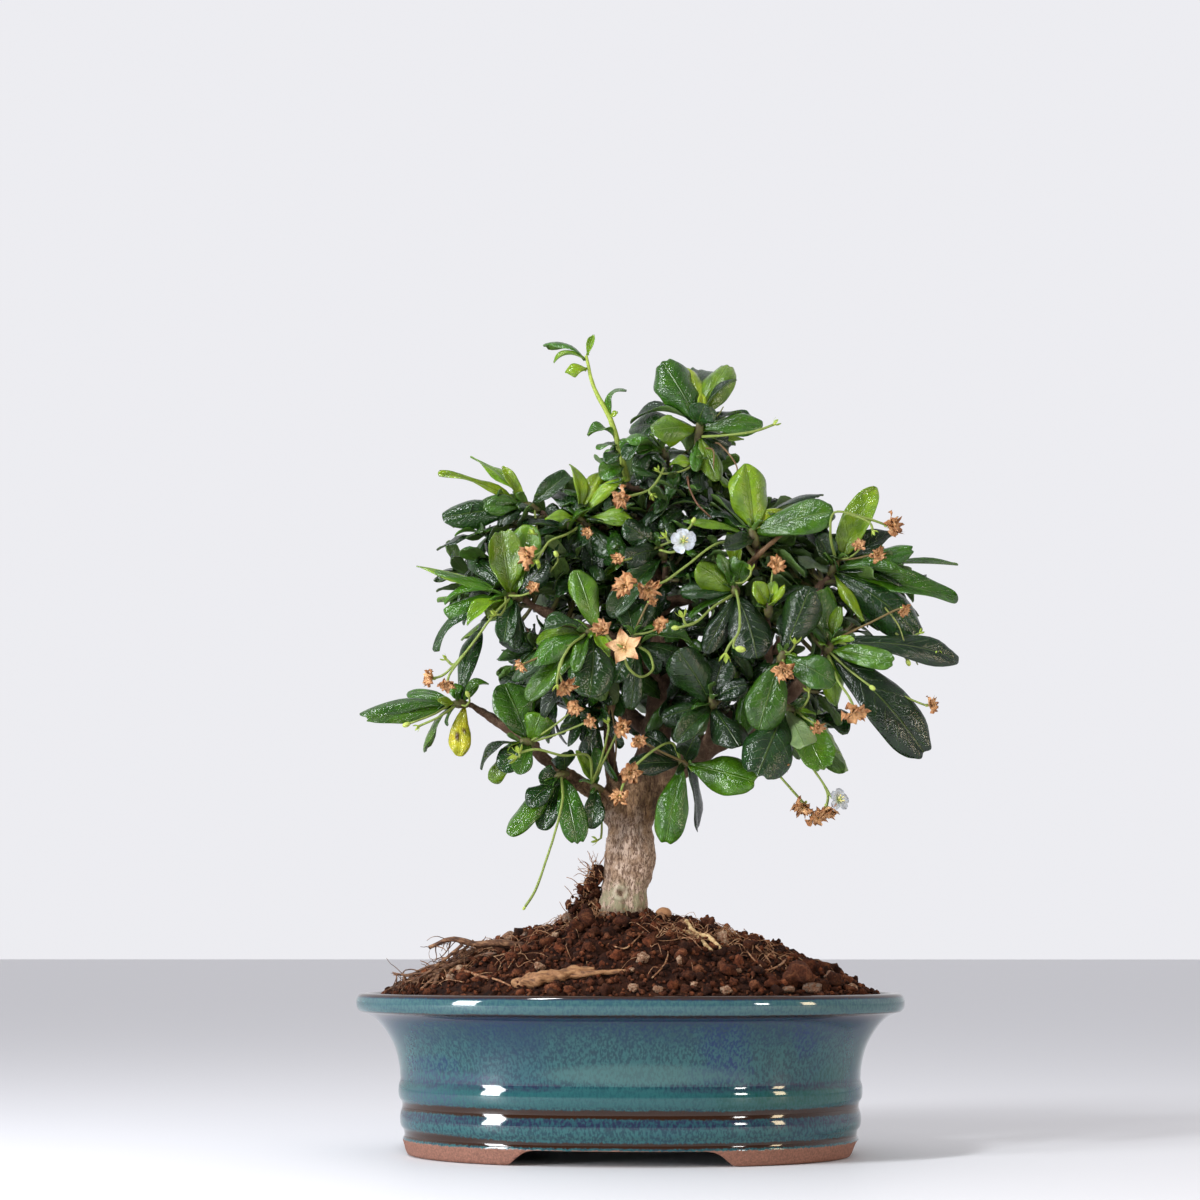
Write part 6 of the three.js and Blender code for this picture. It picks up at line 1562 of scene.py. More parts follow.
def sideShoot(spray, bend):
    # The path that a side shoot may have been bent to
    start = spray["path"].pointAt(sideShoots["start"])
    turn = goldenAngle * bend + fullTurn * drawn(spray["number"], 6)
    away = Vector((math.cos(turn), 0.75 if spray["front"] else -0.6, 0.75 * math.sin(turn)))
    away = (away + (crownHeart - start).normalized() * 0.6).normalized()
    least, more = sideShoots["length"]
    end = start + away * (least + more * drawn(spray["number"], 7) - 0.2 * bend)
    middle = (start + end) / 2
    middle.z -= 1.2
    return [start, middle, end]


def bladePoint(blade, along, across, lift):
    # A point of a blade: along 0 to 1 from base to tip, across and lift in mm
    chord = blade["tip"] - blade["base"]
    length = chord.length
    reach = chord / length
    face = blade["face"]
    arch = blade["arch"]
    side = face.cross(reach)
    normal = (face - reach * (4 * arch * (1 - 2 * along) / length)).normalized()
    return (blade["base"] + chord * along + face * (4 * arch * along * (1 - along))
            + side * across + normal * lift)


def tipCorners(blade):
    half = leaf["tipWidths"][blade["form"]] * blade["width"] / 2
    along = 0.96 if blade["toothed"] else 1
    fold = 0.07 * half if blade["toothed"] else 0
    return [bladePoint(blade, along, side * half, fold + lift) for side in (-1, 1) for lift in (-0.3, 0.3)]


def solidPoints(name):
    # The corners of a node's solid, in the tree's own millimetres
    back = treePlace.inverted()
    return [back @ vert.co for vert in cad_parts[name].data.vertices]


def fittedBlade(candidates, tree):
    # Of the places that a leaf may have been bent to, the one where its solid's tip is, if any
    def miss(blade):
        return sum(tree.find(corner)[2] for corner in tipCorners(blade)) / 4
    best = min(candidates, key=miss)
    return best if miss(best) < leaf["missBy"] else None


def bladeTemplate(columns, rows):
    # A flat blade with an upper and an under side, joined round the edge; x is across, y is along
    bm = bmesh.new()
    bmesh.ops.create_grid(bm, x_segments=columns, y_segments=rows, size=1)
    under = bmesh.ops.duplicate(bm, geom=bm.verts[:] + bm.edges[:] + bm.faces[:])["geom"]
    underVerts = [item for item in under if isinstance(item, bmesh.types.BMVert)]
    underFaces = [item for item in under if isinstance(item, bmesh.types.BMFace)]
    bmesh.ops.reverse_faces(bm, faces=underFaces)
    for vert in underVerts:
        vert.co.z = -1
    rim = [edge for edge in bm.edges if edge.is_boundary]
    bmesh.ops.bridge_loops(bm, edges=rim)
    bmesh.ops.recalc_face_normals(bm, faces=bm.faces)
    blade = bm.loops.layers.uv.new("blade")
    bm.verts.layers.float_color.new("tone")
    bm.verts.layers.float.new("upper")
    for face in bm.faces:
        for loop in face.loops:
            loop[blade].uv = ((loop.vert.co.x + 1) / 2, (loop.vert.co.y + 1) / 2)
    return meshFrom("blade_template", bm)


templates = {kind: bladeTemplate(*leaf[kind + "Grid"]) for kind in ("toothed", "posed", "fill", "inner")}


def leafColour(blade):
    number = blade["number"]
    low = int(min(blade["tone"], 5))
    shade = 0.85 + 0.35 * drawn(number, 7)
    warm = 0.85 + 0.3 * drawn(number, 8)
    red, green, blue = mixed(leafTones[low], leafTones[min(low + 1, 6)], blade["tone"] - low)
    return (red * shade * warm, green * shade, blue * shade)


def addLeaf(bm, blade, template):
    part = bmesh.new()
    part.from_mesh(templates[template])
    upper = part.verts.layers.float["upper"]
    number = blade["number"]
    length = (blade["tip"] - blade["base"]).length
    half = blade["width"] / 2
    pointed = 2.5 < blade["tone"] < 3.5
    # The midrib lies in a fold, and the sides roll under, or on one leaf in four stand up
    fold = drawnIn(leaf["fold"], number, 15) * (1.6 if pointed else 1)
    cup = drawnIn(leaf["cup"], number, 9) if drawn(number, 16) < 0.75 else leaf["stoodUp"]
    wave = drawnIn(leaf["wave"], number, 10)
    phase = 6.28 * drawn(number, 11)
    twist = drawnIn(leaf["twist"], number, 12)
    sickle = drawnIn(leaf["sickle"], number, 13)
    hook = between(*leaf["hook"], drawn(number, 14) ** 1.5)
    blunt = 0.98 if pointed else 0.93 if blade["toothed"] else 0.95
    spotted = []
    for vert in part.verts:
        u, v, under = vert.co.x, min(1, max(0, (vert.co.y + 1) / 2)), vert.co.z
        v = 1 - (1 - v) ** 1.35
        tipCurve = (1 - blunt) * math.sqrt(max(0, 1 - u * u * 0.98))
        if blade["toothed"] and not pointed:
            teeth = -math.cos(fullTurn * u) if blade["split"] else math.cos(3 * math.pi * u)
            tipCurve += 0.014 * teeth * (1 - u ** 6)
        along = v * blunt + v ** 9 * tipCurve
        wide = max(leafWidth(v * blunt, pointed) * half, leaf["petiole"])
        ripple = 1 + 0.025 * math.sin(v * 17 + phase) * abs(u)
        across = u * wide * ripple + sickle * length * v * v
        lift = (fold * abs(u) + cup * abs(u) ** 2.4) * wide
        lift += wave * math.sin(v * 9 + phase + u * 1.4) * abs(u) ** 2 * min(1.2, half / 5) * 0.85
        lift += twist * u * wide * v - hook * length * v ** 4
        lift -= leaf["groove"] * math.exp(-(u * wide) ** 2 / 1.1) * min(1, half / 4)
        thick = leaf["thick"] * (1 - 0.55 * abs(u))
        vert.co = bladePoint(blade, along, across, lift + (thick / 2 if under > -0.5 else -thick / 2))
        vert[upper] = 1 if under > -0.5 else 0
        if any(math.hypot(u - spotU, (v - spotV) * 2.4) < size for spotU, spotV, size in leaf["spots"]):
            spotted.append(vert)
    paint(part, "tone", part.verts, leafColour(blade))
    if blade["tone"] == 4:
        paint(part, "tone", spotted, leaf["spotTone"])
    appendPart(bm, part)


def addTwig(bm, path, radii, sides, steps, seed):
    part = bmesh.new()
    addTube(part, path, radii, sides, steps, uneven=0.25, seed=seed)
    for face in part.faces:
        face.material_index = 1
    appendPart(bm, part)


def leafFinish():
    finish = Finish("leaf_green")
    place = finish.place()
    u, v, w = finish.split(finish.bladeMap())
    across = abs(u * 2 - 1)
    upper = finish.rise(finish.attribute("upper"), 0.3, 0.7)
    tone = finish.attribute("tone", "Color")
    patch = finish.grain(place, 180, 3)
    speck = finish.grain(place, 3800, 2, 0.5)
    pimple = finish.cells(place, 1500)
    # Side veins leave the midrib and lean to the tip
    phase = (v - across * 0.22 + patch * 0.12) * 8
    vein = finish.rise((phase * 6.2832).wave(), 0.8, 1) * finish.rise(across, 0.02, 0.3) * (1 - across)
    midrib = 1 - finish.rise(across, 0.01, 0.06)
    light = finish.mix(0.5, tone, (0.24, 0.36, 0.05))
    deep = finish.mix(1, tone, (0.55, 0.62, 0.6), "MULTIPLY")
    yellow = finish.mix(1, tone, (1.7, 1.12, 0.7), "MULTIPLY")
    colour = finish.mix(finish.rise(patch, 0.4, 0.68), tone, deep)
    colour = finish.mix((1 - finish.rise(patch, 0.3, 0.44)) * 0.3, colour, yellow)
    colour = finish.mix(vein * 0.14, colour, light)
    colour = finish.mix(midrib * 0.28, colour, light)
    colour = finish.mix(finish.rise(speck, 0.7, 0.76) * 0.3 * upper, colour, (0.4, 0.46, 0.36))
    under = finish.mix(0.36, colour, (0.16, 0.27, 0.05))
    colour = finish.mix(upper, under, colour)
    rough = 0.42 - upper * 0.32 + patch * 0.1
    height = midrib * -1.4 - vein * 0.9 + speck * 0.12 + patch * 2 - pimple * 0.5
    normal = finish.bump(height, 0.65, 0.00045)
    return finish.skin({"Base Color": colour, "Roughness": rough, "Normal": normal,
                        "Subsurface Weight": 0.12, "Subsurface Radius": (0.6, 1, 0.12),
                        "Subsurface Scale": 0.0012, "Specular IOR Level": 0.55})


def stemFinish(name, tints):
    finish = Finish(name)
    place = finish.place()
    grain = finish.grain(place, 700, 4, 0.6)
    fine = finish.grain(place, 3000, 3)
    colour = finish.ramp(grain, list(zip((0.3, 0.5, 0.7), tints)))
    normal = finish.bump(grain + fine * 0.5, 0.5, 0.0004)
    return finish.skin({"Base Color": colour, "Roughness": 0.6, "Normal": normal})


# Leaves at a shoot's end: width and arch by length, how much each one's lean may differ, the mm
# between two of them, and how far they hang by length
rosette = {
    "widths": (0.28, 0.42),
    "arches": (0.03, 0.13),
    "spread": (0.85, 1.15),
    "apart": 0.8,
    "droop": 0.08,
    "grow": (0.8, 1.1),              # leaves get longer from the shoot's tip down
}


def addRosette(bm, at, axis, count, lengths, opening, tones, seed):
    # Leaves round a shoot's end by the golden angle, the lower ones wider open
    for order in range(count):
        number = seed * 17.3 + order
        turn = goldenAngle * order + fullTurn * drawn(seed, 21)
        lean = between(*opening, (order + 0.5) / count) * drawnIn(rosette["spread"], number, 22)
        length = drawnIn(lengths, number, 23) * between(*rosette["grow"], (order + 1) / count)
        base = at - axis * rosette["apart"] * order
        tip = base + leaned(axis, turn, lean).normalized() * length
        tip.z -= rosette["droop"] * length
        blade = {"base": base, "tip": tip, "width": length * drawnIn(rosette["widths"], number, 24),
                 "arch": length * drawnIn(rosette["arches"], number, 25), "toothed": False,
                 "split": False, "face": upFace(base, tip, axis, 0.5), "number": number,
                 "tone": between(*tones, drawn(number, 26) ** 2)}
        addLeaf(bm, blade, "inner")


def makeSprays(green, stem, young):
    number = 0
    blades = {spray["name"]: [] for spray in sprays}
    trees = {spray["name"]: treeOf(solidPoints(spray["name"])) for spray in sprays}
    for spray in sprays:
        for row in spray["leaves"]:
            number += 1
            choices = [posedLeaf(spray, row, number, bend) for bend in range(len(leaf["depthBends"]))]
            template = "toothed" if choices[0]["toothed"] else "posed"
            blades[spray["name"]].append((fittedBlade(choices, trees[spray["name"]]), template))
    # Leaves by the rule: first the stems' own, then the side shoots'
    bearers = [(spray["name"], spray, spray["fill"]) for spray in sprays]
    shoots = {}
    for spray in sprays:
        if spray["name"] in shootOwners:
            tree = trees[spray["name"]]
            paths = [sideShoot(spray, bend) for bend in range(sideShoots["bends"])]
            path = Path(min(paths, key=lambda points: tree.find(points[2])[2]))
            shoots[spray["name"]] = path
            shoot = {"path": path, "number": spray["number"] + 0.5, "radius": sideShoots["radii"][2],
                     "front": False}
            bearers.append((spray["name"], shoot, sideShoots["leaves"]))
    for name, bearer, count in bearers:
        for order in range(count):
            number += 1
            choices = [ruledLeaf(bearer, order, count, number, bend) for bend in range(leaf["turnBends"])]
            blades[name].append((fittedBlade(choices, trees[name]), "fill"))
    missed = 0
    for spray in sprays:
        bm = bmesh.new()
        if spray["name"] in shoots:
            path = shoots[spray["name"]]
            addTwig(bm, path, sideShoots["radii"], 8, 12, spray["number"])
            addRosette(bm, path.pointAt(1), path.headingAt(1), 4, (4, 9), (0.3, 1.2), (0.4, 2),
                       spray["number"] + 80.3)
        for blade, template in blades[spray["name"]]:
            if blade:
                addLeaf(bm, blade, template)
            else:
                missed += 1
        isTopShoot = spray["name"] == "spray_top_shoot"
        path, radius = spray["path"], spray["radius"]
        if not isTopShoot:
            addRosette(bm, path.pointAt(1), path.headingAt(1), 5, (4, 9), (0.25, 1.1),
                       (1.2, 2.8) if spray["front"] else (0.6, 2), spray["number"] + 3.3)
        addTwig(bm, path, [1.2, radius, 0.55 * radius], 10, max(6, int(path.lengths[-1] / 1.6)),
                spray["number"])
        looks = [green, young if isTopShoot else stem]
        addPiece(spray["name"] + "_leaves", bm, looks, treePlace, [spray["name"]])
    print("leaves", number, "left out", missed)


innerShoots = {
    "count": 185,
    "across": (-72, 106),
    "up": (134, 280),
    "depths": (-14, 34),
    "crownDeeper": (250, 8),         # above this height, shoots stand this much deeper
    "apart": 6.4,
    "leaves": (5, 8),
    "lengths": (12, 19),
    "opening": (0.5, 1.6),
    "tones": (0, 1.9),
    "twig": 0.75,
    "fromWood": (7, 34),             # how near and far the limb that carries a shoot may be
    "nearSolid": 9,                  # mm that a shoot may stand from a leaf or stem of the solids
    "parts": {"low": (0, 175), "middle": (175, 215), "top": (215, 400)},
    "seed": 29,
}
# The edge of the dense part of the crown: across and up
crownEdge = [
    (-66, 230), (-54, 236), (-32, 239), (-12, 249), (2, 260), (12, 268), (30, 266), (34, 257),
    (35, 246), (50, 240), (72, 232), (94, 218), (100, 206), (88, 190), (75, 170), (50, 152), (27, 154),
    (2, 166), (-7, 168), (-14, 140), (-30, 136), (-43, 146), (-48, 157), (-38, 174), (-40, 189),
    (-58, 199), (-68, 206), (-71, 219),
]


def insideEdge(across, up, edge):
    inside = False
    for (x1, z1), (x2, z2) in zip(edge, edge[1:] + edge[:1]):
        if (z1 > up) != (z2 > up) and across < x1 + (up - z1) / (z2 - z1) * (x2 - x1):
            inside = not inside
    return inside


def makeInnerShoots(green, stem):
    # Dark shoots inside the crown, each on a twig from the nearest limb
    limbs = [points for points, radii in woodLimbs] + [spray["branch"] for spray in sprays]
    wood = treeOf([path.pointAt(part / 24) for path in map(seenPath, limbs) for part in range(5, 25)])
    leafy = treeOf([point for spray in sprays for point in solidPoints(spray["name"])])
    dice = random.Random(innerShoots["seed"])
    crownUp, deeper = innerShoots["crownDeeper"]
    nearest, farthest = innerShoots["fromWood"]
    homes = []
    while len(homes) < innerShoots["count"]:
        across, up = dice.uniform(*innerShoots["across"]), dice.uniform(*innerShoots["up"])
        depth = dice.uniform(*innerShoots["depths"]) + (deeper if up > crownUp else 0)
        home = sight(across, up, depth)
        clear = all((home - other).length > innerShoots["apart"] for other in homes)
        near = leafy.find(home)[2] < innerShoots["nearSolid"]
        carried = nearest < wood.find(home)[2] < farthest
        if near and clear and carried and insideEdge(across, up, crownEdge):
            homes.append(home)
    twig = innerShoots["twig"]
    for part, (low, high) in innerShoots["parts"].items():
        bm = bmesh.new()
        for number, home in enumerate(homes):
            if not low <= home.z < high:
                continue
            own = random.Random(number)
            root = wood.find(home)[0]
            axis = (home - crownHeart).normalized() + (home - root).normalized() * 0.6
            axis += Vector((own.uniform(-0.4, 0.4), own.uniform(-0.4, 0.4), 0.35))
            axis.normalize()
            addRosette(bm, home, axis, own.randint(*innerShoots["leaves"]), innerShoots["lengths"],
                       innerShoots["opening"], innerShoots["tones"], number + 50.7)
            path = Path([root, (root + home) / 2 - axis * 1.6, home])
            addTwig(bm, path, [twig * 1.4, twig, twig * 0.9], 6, 9, number)
        addPiece("inner_shoots_" + part, bm, [green, stem], treePlace)


greenLeaf = leafFinish()
greenStem = stemFinish("green_stem", [(0.045, 0.026, 0.013), (0.09, 0.075, 0.02), (0.12, 0.15, 0.03)])
youngStem = stemFinish("young_stem", [(0.2, 0.26, 0.03), (0.28, 0.36, 0.04), (0.34, 0.42, 0.06)])
makeSprays(greenLeaf, greenStem, youngStem)
makeInnerShoots(greenLeaf, greenStem)
for template in templates.values():
    bpy.data.meshes.remove(template)
print("leaves")


# Flowers, calyces and their stalks

# Flower stalks: name, the spray and the place on its stem, then each head's kind, size, the way it looks,
# where on the first stalk its own begins, and the places that its stalk goes through.
cymeRows = [
    ("star", "middle", 0.3, [
        ("star", 6.4, (0, -1, 0.1), None,
         [(7.5, 182, -32), (8.6, 176, -38), (4, 173.5, -42), (-1, 178, -46), (-2, 184.5, -47)]),
        ("star", 4.2, (-0.4, -0.8, 0.4), 1, [(-6.5, 187, -47.5), (-9.5, 190.5, -47)])]),
    ("dried_pair", "right_upper", 0.3, [
        ("star", 4.6, (0.3, -0.8, -0.6), None,
         [(33, 224, -31), (22, 216, -35), (13, 209.5, -38), (6.5, 207.5, -40)]),
        ("star", 4.8, (-0.5, -0.9, 0.1), 1, [(3, 208, -41), (-1, 207.5, -42)])]),
    ("white_flower", "upper_middle", 0.7, [
        ("flower", 5.2, (0.15, -1, 0.1), None, [(12, 221.5, -25), (17, 221, -31), (20.5, 225, -34)]),
        ("calyx", 3.4, (-0.8, -0.4, 0.5), 1, [(15, 225, -33), (14, 226.5, -33.5)])]),
    ("green_pair", "right_inner", 0.7, [
        ("calyx", 4.6, (-0.1, -0.2, -1), None,
         [(40.5, 205, -33), (41.5, 197, -39), (40.8, 190, -41), (37.5, 185.5, -42), (36, 182.5, -42)]),
        ("bud", 2, (1, -0.2, -0.2), 0.8, [(39, 184.6, -42.5), (40, 184.2, -42.6)])]),
    ("curled", "right_inner", 0.35, [
        ("calyx", 4.2, (-0.3, -0.2, 1), None,
         [(31, 199.5, -34), (25.5, 194.5, -38), (21.5, 193, -39), (20.2, 196, -39.5)]),
        ("bud", 1.5, (-1, 0, 0), 0.8, [(19.5, 192.3, -39), (18.5, 192, -39)])]),
    ("right_top", "right_top", 0.8, [
        ("star", 4.6, (1, -0.5, 0), None,
         [(76, 228, -27), (77.5, 236, -31), (89, 234, -32), (98, 231, -32)]),
        ("calyx", 2.6, (0.6, 0, -0.8), 0.6, [(91, 232, -33), (92, 229, -34)])]),
    ("crown", "crown", 0.3, [
        ("calyx", 3.6, (0.8, -0.2, 0.6), None, [(38, 266, -25), (48, 267.5, -26), (55, 270, -26)])]),
    ("hanging_dried", "right_bottom", 0.15, [
        ("star", 4.2, (-0.4, -0.5, -0.8), None,
         [(52, 152, -23), (50, 143, -24), (57, 135, -25), (65, 125.8, -26)]),
        ("star", 4, (0.6, -0.6, -0.5), 1, [(66.5, 124, -25), (68.5, 122.3, -24.5)])]),
    ("hanging_white", "right_bottom", 0.5, [
        ("star", 4.4, (0.2, -0.5, -1), None,
         [(61, 148, -31), (69, 138, -34), (73.5, 130, -36), (73, 124.5, -37)]),
        ("flower", 4.4, (0.6, -0.9, 0.3), 0.8, [(75.5, 128, -38), (77.5, 127.5, -39)])]),
    ("left_middle", "left_middle", 0.5, [
        ("star", 4.8, (-1, -0.6, -0.1), None,
         [(-24, 227.5, -21), (-30, 225, -24), (-33.5, 220.5, -26), (-37, 219, -27)]),
        ("calyx", 4.4, (-0.3, -0.2, -1), 0.8, [(-34, 219, -27), (-34.5, 218, -27.5)])]),
    ("upper_dried", "crown_left", 0.25, [
        ("star", 4.2, (-0.6, -0.7, -0.4), None,
         [(12, 250.5, -20), (8, 245, -23), (2, 242.8, -25), (-2, 242, -26)]),
        ("calyx", 3, (0.4, -0.6, -0.7), 0.6, [(7.5, 244, -24.5), (8.5, 243, -25.5)])]),
    ("left_dried", "left_knob", 0.6, [
        ("calyx", 3, (-0.8, -0.2, 0.6), None,
         [(-52, 195.5, -34), (-60, 184.5, -32), (-66, 178, -30), (-68.5, 180, -30)]),
        ("star", 3.4, (-1, -0.5, 0), 0.8, [(-70, 174, -29), (-74, 172.8, -28)]),
        ("star", 3.2, (0, -0.6, -0.8), 0.8, [(-67.5, 174, -30.5), (-68, 171.5, -31)])]),
    ("arm_buds", "left_arm", 0.6, [
        ("calyx", 2.6, (-0.7, -0.3, -0.5), None, [(-71, 158.5, -24), (-78.5, 155, -25)])]),
    ("lower_green", "trunk_left", 0.85, [
        ("calyx", 4, (-0.2, -0.1, 1), None,
         [(-15.5, 144, -25), (-25, 144, -32), (-35, 146.3, -36), (-41, 145, -37)]),
        ("calyx", 4.4, (-1, -0.2, -0.3), 1, [(-41, 143.6, -37.5), (-42, 143.4, -37.5)])]),
    ("bare_stalk", "left_low", 0.45, [
        ("bud", 0.9, (-0.6, 0, -0.8), None,
         [(-25, 127, -29), (-27.5, 116, -30), (-31, 105, -30), (-35, 94, -30), (-38.5, 88.3, -30)])]),
    ("trunk_dried", "centre_low", 0.35, [
        ("star", 4.2, (0, -0.8, -0.6), None,
         [(16, 148.5, -25), (9, 146, -36), (3, 141, -37), (0.5, 138.5, -37)]),
        ("star", 3.4, (-0.3, -0.9, 0.1), 1, [(-2.5, 133, -35), (-3.5, 128.5, -32)])]),
    ("left_hanging", "middle_left", 0.9, [
        ("star", 4, (0.3, -0.7, -0.6), None, [(-23, 184, -50), (-26.5, 176, -50), (-24.5, 170.5, -49)]),
        ("calyx", 3.6, (-0.1, -0.2, -1), 0.6, [(-27, 173, -50), (-27, 170.5, -50)])]),
    ("right_dried", "right_cup", 0.25, [
        ("star", 4.8, (0.2, -0.6, -0.9), None, [(78, 172, -38), (82, 166, -41), (84, 161.5, -42)])]),
]
cyme = {
    "stalk": 0.5,
    "stalkStart": 0.75,
    "petals": {
        # Number, width by length, curl of the tips, lean of the petals, how pointed they are
        "star": {"count": 5, "wide": 0.56, "curl": 0.12, "open": [1.3], "point": 1, "crumple": 0.06},
        "dried": {"count": 5, "wide": 0.55, "curl": 0.45, "open": [0.55, 0.2], "point": 0.8,
                  "crumple": 0.26},
        "flower": {"count": 5, "wide": 0.78, "curl": 0.25, "open": [1.15], "point": 0.42, "crumple": 0.03},
        "calyx": {"count": 5, "wide": 0.4, "curl": -0.1, "open": [0.6], "point": 1.2, "crumple": 0},
    },
    "grid": (6, 8),
    "grow": {"star": 1.02, "dried": 1.02, "flower": 0.86, "calyx": 0.85},
    "stamens": 5,
    "stamenTone": (0.8, 0.72, 0.3),
    "stalkTone": (0.2, 0.27, 0.05),
}
headColours = {
    "star": ((0.46, 0.2, 0.08), (0.76, 0.49, 0.26), (0.6, 0.36, 0.13)),
    "dried": ((0.36, 0.15, 0.055), (0.62, 0.35, 0.16), (0.5, 0.34, 0.13)),
    "flower": ((0.42, 0.46, 0.53), (0.5, 0.54, 0.58), (0.36, 0.44, 0.26)),
    "calyx": ((0.24, 0.34, 0.03), (0.33, 0.45, 0.05), (0.5, 0.56, 0.12)),
    "bud": ((0.3, 0.42, 0.05), (0.42, 0.52, 0.1), (0.7, 0.72, 0.4)),
}


def petalTint(kind, v, draw):
    tip, body, heart = headColours[kind]
    tint = mixed(mixed(heart, body, smoothRise(v, 0.05, 0.4)), tip, smoothRise(v, 0.5, 1))
    return [value * (0.8 + 0.4 * draw) for value in tint]


def addHead(bm, kind, at, looks, size, seed):
    shape = cyme["petals"][kind]
    turn = looks.to_track_quat("Z", "Y").to_matrix()
    spin = 6.28 * drawn(seed, 1)
    size = size * cyme["grow"][kind]
    for petal in range(shape["count"] * len(shape["open"])):
        layer = petal // shape["count"]
        around = spin + fullTurn * petal / shape["count"] + layer * 0.6
        own = drawn(seed, 2 + petal)
        grid = bmesh.ops.create_grid(bm, x_segments=cyme["grid"][0], y_segments=cyme["grid"][1], size=1)
        cup = shape["open"][layer] * between(0.7, 1.3, own)
        for vert in grid["verts"]:
            u, v = vert.co.x, min(1, max(0, (vert.co.y + 1) / 2))
            wide = (0.28 + 1.9 * v - 0.6 * v * v) * max(0, 1 - v ** 2.2) ** shape["point"]
            lean = cup + shape["curl"] * 2.2 * max(0, v - 0.4) * between(0.6, 1.5, own)
            out = size * v * math.sin(min(lean, 2.3)) + 0.5
            up = size * v * math.cos(lean) * 0.85
            across = u * wide * size * shape["wide"] * 0.62
            if kind == "star":
                across = u * size * min(0.78 * v + 0.05, 0.62 * max(0, 1 - v) ** 0.9)
            up += u * u * size * 0.08
            crease = noise.noise(Vector((u * 1.3 + seed, v * 2.6, petal))) * shape["crumple"] * size
            up += crease * 2.4
            out += crease
            across += crease * 1.2
            local = Vector((out * math.cos(around) - across * math.sin(around),
                            out * math.sin(around) + across * math.cos(around), up))
            vert.co = at + turn @ local
            paint(bm, "tone", [vert], petalTint(kind, v, own))
        bmesh.ops.remove_doubles(bm, verts=grid["verts"], dist=0.02)
    if kind == "flower":
        addStamens(bm, at, turn, size)
    back = 0.3
    if kind in ("star", "dried"):
        addBud(bm, at - looks * 0.4, looks, 0.85, "dried")
        back = 1.7
    addBud(bm, at - looks * back, looks, 0.95 if kind == "flower" else 0.8,
           kind if kind == "calyx" else "bud")


def addStamens(bm, at, turn, size):
    for stamen in range(cyme["stamens"]):
        around = fullTurn * stamen / cyme["stamens"] + 0.5
        foot = at + turn @ Vector((0.4 * math.cos(around), 0.4 * math.sin(around), 0.2))
        top = at + turn @ Vector((1.3 * math.cos(around), 1.3 * math.sin(around), size * 0.55))
        bend = (foot + top) / 2 + turn @ Vector((0, 0, 0.2))
        paint(bm, "tone", addTube(bm, Path([foot, bend, top]), [0.16, 0.12, 0.3], 5, 6), cyme["stamenTone"])


def addBud(bm, at, looks, size, kind):
    turn = looks.to_track_quat("Z", "Y").to_matrix().to_4x4()
    place = Matrix.Translation(at + looks * 0.8 * size) @ turn
    made = bmesh.ops.create_uvsphere(bm, u_segments=12, v_segments=8, radius=size * 0.6,
                                     matrix=place @ Matrix.Diagonal((1, 1, 1.6, 1)))
    paint(bm, "tone", made["verts"], headColours[kind][1])


def addHeadOrBud(bm, kind, at, looks, size, seed):
    if kind == "bud":
        addBud(bm, at, looks, size, kind)
    else:
        addHead(bm, kind, at, looks, size, seed)


def flowerFinish():
    finish = Finish("petal")
    place = finish.place()
    tone = finish.attribute("tone", "Color")
    grain = finish.grain(place, 1300, 4, 0.6)
    fine = finish.grain(place, 4200, 2)
    dark = finish.mix(1, tone, (0.55, 0.48, 0.4), "MULTIPLY")
    colour = finish.mix(finish.rise(grain, 0.4, 0.72) * 0.7, tone, dark)
    normal = finish.bump(grain + fine * 0.4, 0.5, 0.0003)
    return finish.skin({"Base Color": colour, "Roughness": 0.62, "Normal": normal,
                        "Subsurface Weight": 0.2, "Subsurface Radius": (1, 0.8, 0.5),
                        "Subsurface Scale": 0.0008})


def makeCymes(petals):
    byName = {spray["name"]: spray for spray in sprays}
    for number, (name, owner, place, heads) in enumerate(cymeRows):
        spray = byName["spray_" + owner]
        start = spray["path"].pointAt(place)
        main = [sight(*point) for point in heads[0][-1]]
        if place < 0.5:
            thick = between(1.2, spray["radius"], 2 * place)
        else:
            thick = between(spray["radius"], 0.8 * spray["radius"], 2 * place - 1)
        start += (main[0] - start).normalized() * (thick + cyme["stalkStart"])
        mainSteps = min(5, 2 * len(main) - 3)
        mainPath = Path([start, *main])
        bm = newPart("tone")
        for order, (kind, size, looks, branchAt, points) in enumerate(heads):
            knot = round((branchAt or 0) * mainSteps) / mainSteps
            path = Path([mainPath.pointAt(knot)] + [sight(*point) for point in points])
            radii = [cyme["stalk"] * 1.1, cyme["stalk"] * 0.85, cyme["stalk"]]
            stalk = addTube(bm, path, radii, 8, max(5, int(path.lengths[-1] / 1.2)), uneven=0.2, seed=number)
            paint(bm, "tone", stalk, cyme["stalkTone"])
            if kind == "star" and (name, order) != ("star", 0):
                kind = "dried"
            addHeadOrBud(bm, kind, path.points[-1], Vector(looks).normalized(), size, number * 7 + order)
        addPiece("cyme_" + name + "_petals", bm, [petals], treePlace, ["cyme_" + name])


